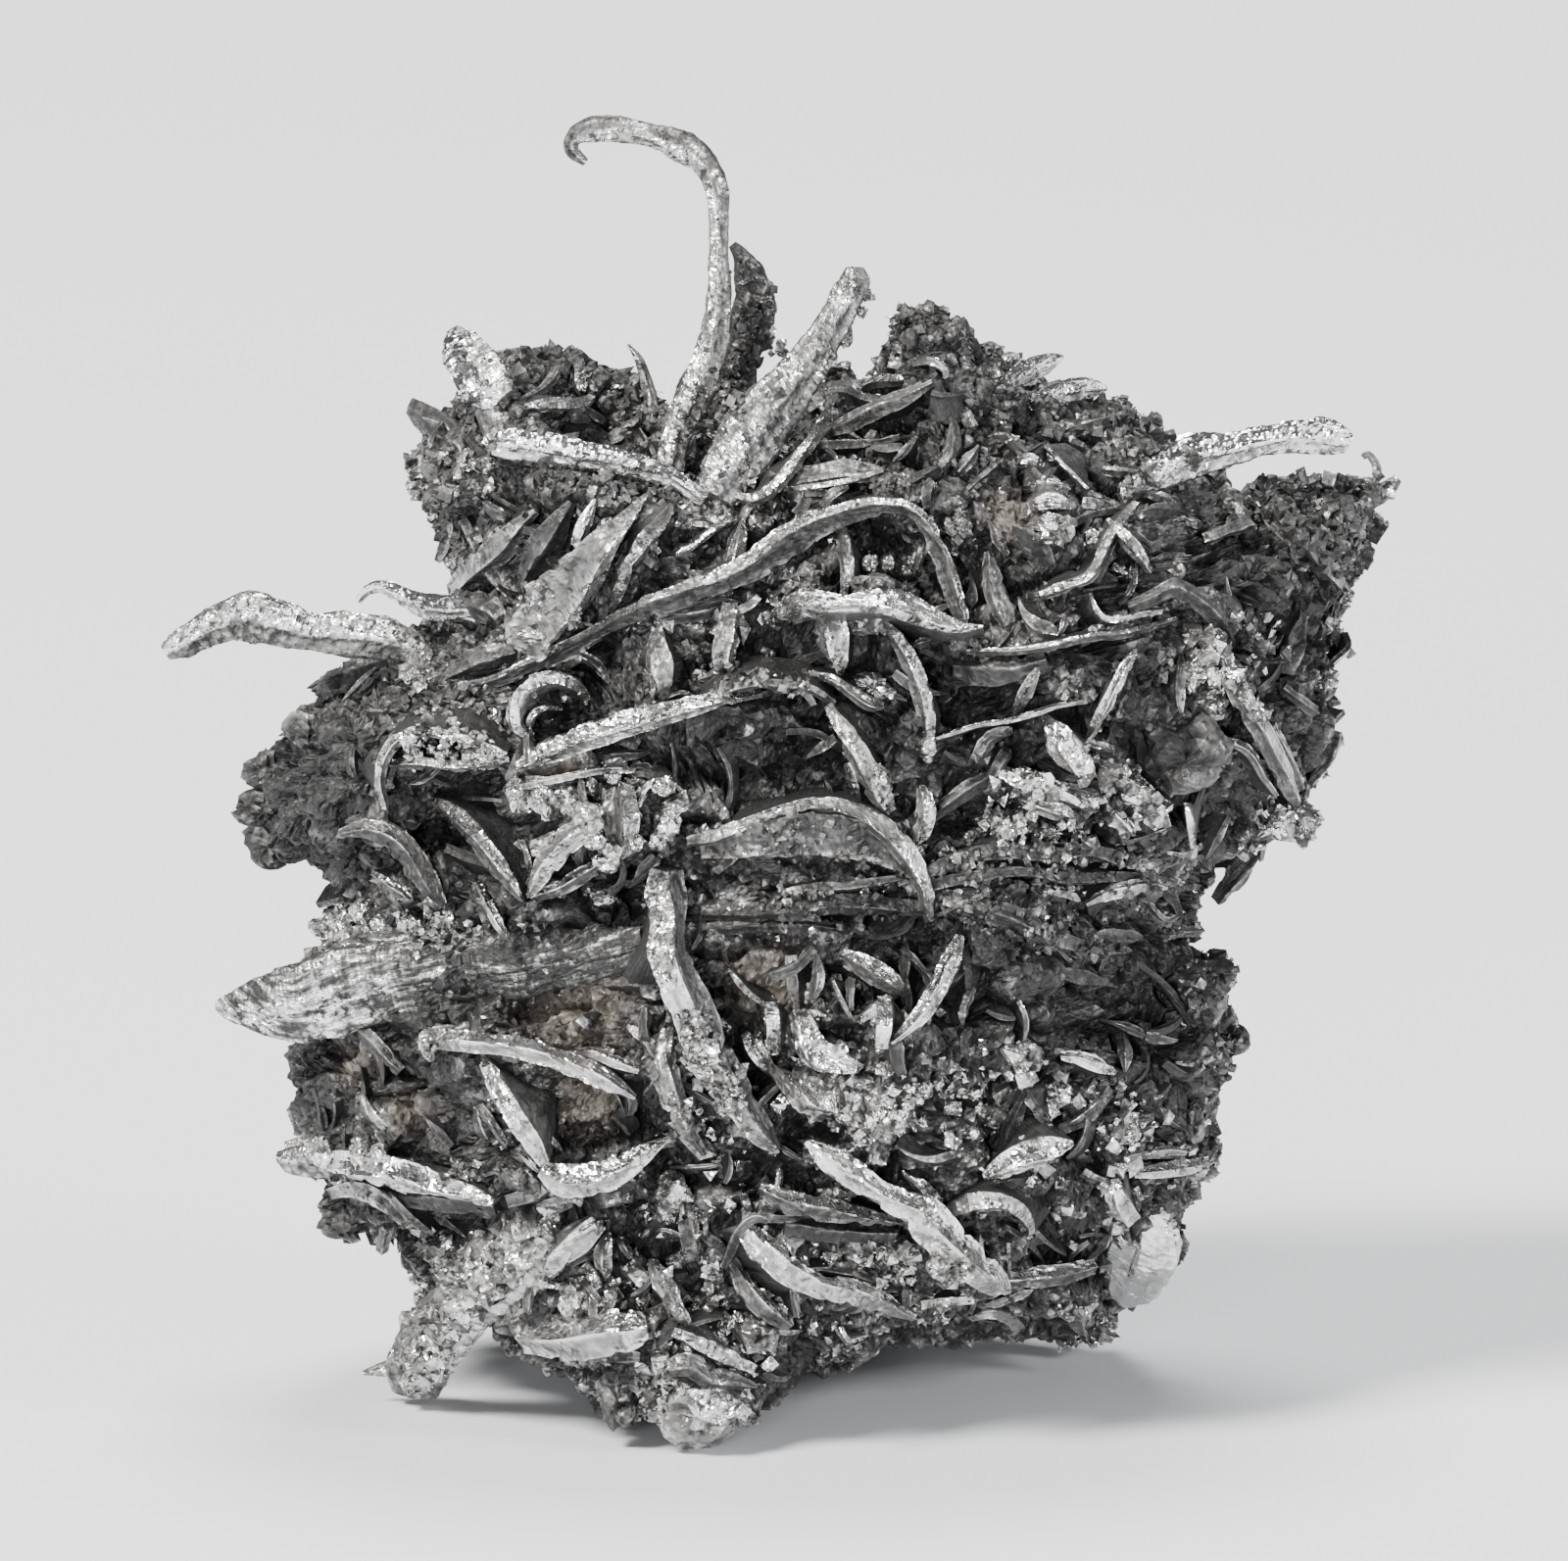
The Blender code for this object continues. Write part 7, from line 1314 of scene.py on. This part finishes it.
def nuggetPiece(name, nearest, material):
    # Lumps of crystal faces. Radius = 1 + 0.3 faces - 0.14 at the faces' edges, plus fine chips.
    turn = np.linspace(0, 2 * math.pi, nuggetLump["around"], endpoint=False)
    lean = np.linspace(nuggetLump["tip"], math.pi - nuggetLump["tip"], nuggetLump["rings"])[:, None]
    sphere = np.stack([
        np.sin(lean) * np.cos(turn), -np.cos(lean) + 0 * turn, np.sin(lean) * np.sin(turn)], axis=-1)
    parts = []
    listed = [(None, *row) for row in nuggets] + clearKnobs
    faceHeight, edgeDepth = nuggetLump["face"]
    for salt, (depth, x, y, radius, tone) in enumerate(listed):
        if depth is None:
            depth = min(frontDepth(x, y, nearest), float(surfaceDepth(x, y, -1))) - 0.2 * radius
        stretch = 1 + nuggetLump["uneven"] * np.array([math.sin(salt), 0.2, math.cos(2.2 * salt)])
        face, edge = facets(sphere * 1.1 + salt, 1.0, 300 + salt, 1.0)
        fine, fineEdge = facets(sphere * radius, 0.34, 400 + salt, 1.0)
        grow = radius * (1 + faceHeight * face - edgeDepth * bell(edge, 0.1)) + nuggetLump["fine"] * fine
        made = seenPlace(x, y, depth) + sphere * stretch * grow[..., None]
        # The edges between the nugget's faces are darker, as tarnish and as painted shade in the creases.
        raised = 0.6 + 0.4 * face - 0.3 * bell(edge, 0.12) - 0.25 * bell(fineEdge, 0.1)
        along = radius * turn + 0 * face
        parts.append((made, np.clip(raised, 0, 1), np.full(face.shape, tone), along, 0 * along))
    return sweptPiece(name, parts, material)


def frontDepth(x, y, nearest):
    # The depth of what is seen at a place on the front, or 99 where nothing is.
    low, cell = depthGrid["low"], depthGrid["cell"]
    return float(nearest[int((x - low[0]) / cell), int((y - low[1]) / cell)])


grainCrowd = {
    "spread": 0.5, "size": (0.6, 1.25), "shape": (0.65, 1.3), "keptGap": 1.2, "keptOff": 0.93, "sunk": 0.15,
    "shine": (-0.1, 0.2), "empty": 20}


def clusterPiece(name, rows, nearest, kept, seed, material):
    # Crowds of grains on whatever is seen at their place, few of them on the kept growths.
    chance = np.random.default_rng(seed)
    places, sizes, shine = [], [], []
    for x, y, radius, count, size, tone in rows:
        for _ in range(count):
            px = x + chance.normal(0, grainCrowd["spread"]) * radius
            py = y + chance.normal(0, grainCrowd["spread"]) * radius
            grain = size * chance.uniform(*grainCrowd["size"])
            depth = frontDepth(px, py, nearest)
            if depth > grainCrowd["empty"]:
                continue
            onKept = frontDepth(px, py, kept) < depth + grainCrowd["keptGap"]
            if onKept and chance.random() < grainCrowd["keptOff"]:
                continue
            places.append((px, py, depth - grainCrowd["sunk"] * grain))
            sizes.append(grain * chance.uniform(*grainCrowd["shape"], 3))
            shine.append(np.clip(tone + chance.normal(*grainCrowd["shine"]), 0.02, 1))
    places = np.array(places)
    frames = anyFrames(len(places), seed)
    return crowdPiece(name, seenPlace(*places.T), frames, np.array(sizes), np.array(shine), seed, material)

# The silver: bright where it's worn and where highlights are painted, dark where tarnish has stayed
# and where shade is painted.
silverFinish = {
    "bendScale": 1500, "bend": 0.0005, "blotchScale": 420, "speckScale": 3000, "flakeScale": 2500,
    "fleckScale": 6400, "ribScale": (6.0, 0.9, 1.0), "streakScale": (0.85, 3.0, 1.0), "clean": (0.44, 1.86),
    "rough": (0.56, 0.15), "metal": (0.5, 1.0), "ribHeight": 0.00005, "pitDepth": 0.00004,
    "tarnish": (0.029, 0.0284, 0.028, 1), "film": (0.124, 0.121, 0.118, 1),
    "dull": (0.36, 0.354, 0.345, 1), "bright": (0.95, 0.94, 0.925, 1), "brown": (0.29, 0.255, 0.212, 1)}
nodeGap = {"across": 190, "down": 320, "row": 12}


def placed(tree, kind, **values):
    # A new node, laid out in rows in the order in which they're made.
    count = len(tree.nodes)
    node = tree.nodes.new(kind)
    node.location = (
        nodeGap["across"] * (count % nodeGap["row"]), -nodeGap["down"] * (count // nodeGap["row"]))
    for key, value in values.items():
        setattr(node, key, value)
    return node


class Signal:
    # A node's output. Its sums, differences and products with other signals, numbers or vectors are Math
    # nodes, or Vector Math nodes where it's a vector or a colour.
    def __init__(self, tree, socket):
        self.tree = tree
        self.socket = socket

    def into(self, socket):
        self.tree.links.new(self.socket, socket)

    def joined(self, operation, other):
        kind = "ShaderNodeMath" if self.socket.type == "VALUE" else "ShaderNodeVectorMath"
        node = placed(self.tree, kind, operation=operation)
        self.into(node.inputs[0])
        if isinstance(other, Signal):
            other.into(node.inputs[1])
        else:
            node.inputs[1].default_value = other
        return Signal(self.tree, node.outputs["Value" if operation == "DOT_PRODUCT" else 0])

    def __add__(self, other):
        return self.joined("ADD", other)

    def __sub__(self, other):
        return self.joined("SUBTRACT", other)

    def __mul__(self, other):
        return self.joined("MULTIPLY", other)

    def stepped(self, low, high, toLow=0.0, toHigh=1.0, smooth=True):
        # Low and high become toLow and toHigh, with a smooth or straight run between them.
        kind = "SMOOTHSTEP" if smooth else "LINEAR"
        node = placed(self.tree, "ShaderNodeMapRange", interpolation_type=kind)
        for key, number in (("From Min", low), ("From Max", high), ("To Min", toLow), ("To Max", toHigh)):
            node.inputs[key].default_value = number
        self.into(node.inputs["Value"])
        return Signal(self.tree, node.outputs["Result"])

    def noise(self, scale, detail, rough=0.6, output="Fac"):
        node = placed(self.tree, "ShaderNodeTexNoise")
        for key, number in (("Scale", scale), ("Detail", detail), ("Roughness", rough)):
            node.inputs[key].default_value = number
        self.into(node.inputs["Vector"])
        return Signal(self.tree, node.outputs[output])

    def flakes(self, scale):
        # Flat flakes, each tilted its own way: its own tone, its height above its middle, and how far from
        # its middle a place is.
        node = placed(self.tree, "ShaderNodeTexVoronoi", feature="F1")
        node.inputs["Scale"].default_value = scale
        self.into(node.inputs["Vector"])
        colour, middle, reach = (
            Signal(self.tree, node.outputs[key]) for key in ("Color", "Position", "Distance"))
        red = placed(self.tree, "ShaderNodeSeparateColor")
        colour.into(red.inputs["Color"])
        height = (self - middle).joined("DOT_PRODUCT", colour - (0.5, 0.5, 0.5))
        return Signal(self.tree, red.outputs[0]) - 0.5, height, reach


def tarnishGroup():
    # Shared by every finish. From how raised and bright a place is, with blotches, flakes, creases and
    # pits, it gives the metal's colour, roughness and cleanness, and a bump height in metres.
    finish = silverFinish
    group = bpy.data.node_groups.new("silver tarnish", "ShaderNodeTree")
    for name, start in (("Raised", 0.5), ("Bright", 0.5), ("Stain", 0.0), ("Along", 0.0), ("Across", 0.0),
                        ("Cover", 0.0), ("Flakes", 0.5), ("Tilt", 0.5), ("Pits", 0.5), ("Ribs", 0.3)):
        socket = group.interface.new_socket(name, in_out="INPUT", socket_type="NodeSocketFloat")
        socket.default_value = start
    group.interface.new_socket("Colour", in_out="OUTPUT", socket_type="NodeSocketColor")
    for name in ("Roughness", "Metal", "Height"):
        group.interface.new_socket(name, in_out="OUTPUT", socket_type="NodeSocketFloat")
    given = {socket.name: Signal(group, socket) for socket in placed(group, "NodeGroupInput").outputs}
    place = Signal(group, placed(group, "ShaderNodeTexCoord").outputs["Object"])

    # Places are bent a little, so that the flakes' outlines aren't straight.
    bend = place.noise(finish["bendScale"], 1, output="Color") - (0.5, 0.5, 0.5)
    bent = place + bend * (finish["bend"], finish["bend"], finish["bend"])
    flakeTone, flakeHeight, fromMiddle = bent.flakes(finish["flakeScale"])
    fleckTone, fleckHeight, _ = bent.flakes(finish["fleckScale"])
    blotch = place.noise(finish["blotchScale"], 3)
    speck = place.noise(finish["speckScale"], 3, 0.7)
    crease = fromMiddle.stepped(0.42, 0.68) * blotch.stepped(0.38, 0.66)
    pit = speck.stepped(0.54, 0.66) * blotch.stepped(0.4, 0.62)

    # Ribs run across each growth, and streaks along it.
    ribPlace = placed(group, "ShaderNodeCombineXYZ")
    given["Along"].into(ribPlace.inputs[0])
    given["Across"].into(ribPlace.inputs[1])
    onGrowth = Signal(group, ribPlace.outputs[0])
    ribs = (onGrowth * finish["ribScale"]).noise(1.0, 2)
    streaks = (onGrowth * finish["streakScale"]).noise(1.0, 3)
    ribbed = (ribs * 0.4 + streaks * 1.6 - 1.0) * given["Ribs"]

    # Clean = 0.95 raised + 1.05 bright + blotches + flakes + ribs - creases - pits - cover.
    total = given["Raised"] * 0.95 + given["Bright"] * 1.05 + (blotch - 0.5) * 0.9
    total = total + (flakeTone * 0.7 + fleckTone * 0.6) * given["Flakes"] - crease * 0.42
    total = total + ribbed * 0.9 - pit * given["Pits"] - given["Cover"]
    clean = total.stepped(*finish["clean"])

    ramp = placed(group, "ShaderNodeValToRGB")
    ramp.color_ramp.elements[0].color = finish["tarnish"]
    ramp.color_ramp.elements[1].color = finish["bright"]
    for where, key in ((0.26, "film"), (0.6, "dull")):
        ramp.color_ramp.elements.new(where).color = finish[key]
    clean.into(ramp.inputs["Fac"])
    stained = placed(group, "ShaderNodeMix", data_type="RGBA")
    (given["Stain"] * 0.5).into(stained.inputs["Factor"])
    group.links.new(ramp.outputs["Color"], stained.inputs["A"])
    stained.inputs["B"].default_value = finish["brown"]

    out = placed(group, "NodeGroupOutput")
    group.links.new(stained.outputs["Result"], out.inputs["Colour"])
    (clean.stepped(0, 1, *finish["rough"], smooth=False) + fleckTone * 0.16).into(out.inputs["Roughness"])
    clean.stepped(0, 0.7, *finish["metal"], smooth=False).into(out.inputs["Metal"])
    height = (flakeHeight * 1.1 + fleckHeight * 1.3) * given["Tilt"]
    (height + ribbed * finish["ribHeight"] - pit * finish["pitDepth"]).into(out.inputs["Height"])
    return group


def silverMaterial(name, group, **values):
    # One finish: the shared tarnish with this finish's own values, on a metal shader.
    material = bpy.data.materials.new(name)
    material.use_nodes = True
    tree = material.node_tree
    shader = tree.nodes["Principled BSDF"]
    effect = placed(tree, "ShaderNodeGroup", node_tree=group)
    for key in ("Raised", "Bright", "Stain", "Along", "Across"):
        reader = placed(tree, "ShaderNodeAttribute", attribute_name=key.lower())
        tree.links.new(reader.outputs["Fac"], effect.inputs[key])
    for key, value in values.items():
        effect.inputs[key.capitalize()].default_value = value
    relief = placed(tree, "ShaderNodeBump")
    relief.inputs["Strength"].default_value = 1.0
    relief.inputs["Distance"].default_value = 1.0
    tree.links.new(effect.outputs["Height"], relief.inputs["Height"])
    tree.links.new(relief.outputs["Normal"], shader.inputs["Normal"])
    for key, socket in (("Colour", "Base Color"), ("Roughness", "Roughness"), ("Metal", "Metallic")):
        tree.links.new(effect.outputs[key], shader.inputs[socket])
    return material


def dressPiece(piece, material):
    # What every piece of the clump has in common.
    piece.data.materials.append(material)
    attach(piece, "root")
    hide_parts("native_silver")


# Floor, lights and camera: each light's place, size, power and colour, all in metres.
studio = {
    "floorHalf": 3.0, "floor": (0.70, 0.71, 0.73, 1), "floorRough": 0.6, "world": (0.62, 0.64, 0.67, 1),
    "worldPower": 0.15, "camera": 1.0, "lens": 625.0, "sensor": 36.0, "aimUp": 22.52, "lampAim": 0.02}
lamps = {
    "key": ((-0.75, -0.65, 1.05), 0.36, 57.0, (1.0, 0.99, 0.97)),
    "top": ((0.1, 0.35, 1.3), 0.5, 24.0, (1, 1, 1)),
    "right fill": ((1.15, -0.6, 0.5), 0.3, 16.0, (0.96, 0.98, 1.0)),
    "front fill": ((-0.25, -1.3, 0.25), 0.3, 13.0, (1, 1, 1))}


def paleFloor():
    half = studio["floorHalf"]
    mesh = bpy.data.meshes.new("floor")
    corners = [(-half, -half, 0), (half, -half, 0), (half, half, 0), (-half, half, 0)]
    mesh.from_pydata(corners, [], [(0, 1, 2, 3)])
    floor = bpy.data.objects.new("floor", mesh)
    bpy.context.scene.collection.objects.link(floor)
    material = bpy.data.materials.new("pale floor")
    material.use_nodes = True
    shader = material.node_tree.nodes["Principled BSDF"]
    shader.inputs["Base Color"].default_value = studio["floor"]
    shader.inputs["Roughness"].default_value = studio["floorRough"]
    floor.data.materials.append(material)


def softLight(name, place, size, power, colour):
    # A square lamp that faces the clump's middle.
    lamp = bpy.data.lights.new(name, "AREA")
    lamp.shape, lamp.size, lamp.energy, lamp.color = "SQUARE", size, power, colour
    made = bpy.data.objects.new(name, lamp)
    made.location = place
    away = Vector(place) - Vector((0, 0, studio["lampAim"]))
    made.rotation_euler = away.to_track_quat("Z", "Y").to_euler()
    bpy.context.scene.collection.objects.link(made)


def lightAndCamera():
    for name, values in lamps.items():
        softLight(name, *values)
    world = bpy.data.worlds.new("studio")
    world.use_nodes = True
    background = world.node_tree.nodes["Background"]
    background.inputs["Color"].default_value = studio["world"]
    background.inputs["Strength"].default_value = studio["worldPower"]
    bpy.context.scene.world = world
    lens = bpy.data.cameras.new("camera")
    lens.lens, lens.sensor_width = studio["lens"], studio["sensor"]
    lens.clip_start, lens.clip_end = 0.05, 20
    camera = bpy.data.objects.new("camera", lens)
    aim = Vector(seenPlace(0.0, studio["aimUp"], 0.0) * mm)
    back = Vector((0, -math.cos(viewTilt), math.sin(viewTilt)))
    camera.location = aim + studio["camera"] * back
    camera.rotation_euler = back.to_track_quat("Z", "Y").to_euler()
    bpy.context.scene.collection.objects.link(camera)
    bpy.context.scene.camera = camera


print("building the finishes")
tarnish = tarnishGroup()
crustSilver = silverMaterial("crusted silver", tarnish, cover=0.22, flakes=0.6, tilt=0.7, pits=0.3, ribs=0.0)
ribbonSilver = silverMaterial(
    "ribbon silver", tarnish, cover=-0.04, flakes=0.16, tilt=0.24, pits=0.65, ribs=0.6)
# The white finish is cleaner silver and also paints a highlight on the brightest growths.
whiteSilver = silverMaterial("white silver", tarnish, cover=-0.4, flakes=0.1, tilt=0.14, pits=0.4, ribs=0.5)
streakedSilver = silverMaterial(
    "streaked silver", tarnish, cover=0.12, flakes=0.3, tilt=0.3, pits=2.2, ribs=3.2)
grainSilver = silverMaterial("grain silver", tarnish, cover=0.14, flakes=0.35, tilt=0.45, pits=0.3, ribs=0.0)

print("building the mass")
frontSkin = massSkinPiece("mass_front", -1, massSkin["frontCells"], crustSilver)
backSkin = massSkinPiece("mass_back", 1, massSkin["backCells"], crustSilver)

print("building the growths")
horns = {"left horn", "horn band"}
# The growths in white silver are the cleanest and also carry a painted highlight.
whiteGrowths = {
    "top left horn", "shelf arm", "left blade", "upper crest leaf", "lower crest leaf", "right arm",
    "barrel"}
feetGrowths = {"lower left foot", "foot spur"}
otherGrowths = set(freeGrowths) - horns - feetGrowths - whiteGrowths
footGrowths = clearGrowthPiece("foot_growths", feetGrowths, ribbonSilver)
growths = [
    clearGrowthPiece("clear_growths", otherGrowths, ribbonSilver),
    clearGrowthPiece("white_growths", whiteGrowths, whiteSilver),
    clearGrowthPiece("streaked_growths", horns, streakedSilver)]
bladeTables = {
    "upper_blades": (upperFaceBlades, 100), "right_blades": (rightFaceBlades, 200),
    "middle_blades": (middleBlades, 300), "lower_blades": (lowerFaceBlades, 400)}
whiteParts = []
for name, (table, seed) in bladeTables.items():
    parts, brightest = bladeParts(table, seed)
    growths.append(sweptPiece(name, parts, ribbonSilver))
    whiteParts += brightest
growths.append(sweptPiece("white_blades", whiteParts, whiteSilver))
keptClear = nearestDepths(growths)

print("building the fillers and nuggets")
sweptPiece("front_fillers", fillerRibbons(fillers["front ribbons"], -1, 500), ribbonSilver)
sweptPiece("back_fillers", fillerRibbons(fillers["back ribbons"], 1, 1500), ribbonSilver)
growths.append(nuggetPiece("nuggets", keptClear, ribbonSilver))
seen = nearestDepths([*growths, footGrowths, frontSkin])
bare = nearestDepths([footGrowths, frontSkin])
growths.append(clusterPiece("grain_clusters", grainClusters, seen, keptClear, 61, grainSilver))
growths.append(clusterPiece("growth_grains", growthClusters, seen, bare + 30, 62, grainSilver))
growths.append(footGrowths)
nearest = nearestDepths(growths)

print("building the shards and grains")
shardPiece("front_shards", frontSkin, -1, fillers["front shards"], nearest, 51, grainSilver)
shardPiece("back_shards", backSkin, 1, fillers["back shards"], nearest, 52, grainSilver)
grainPiece("front_grains", frontSkin, grains["front"], nearest, 31, grainSilver)
grainPiece("back_grains", backSkin, grains["back"], nearest, 32, grainSilver)

print("setting the studio")
paleFloor()
lightAndCamera()
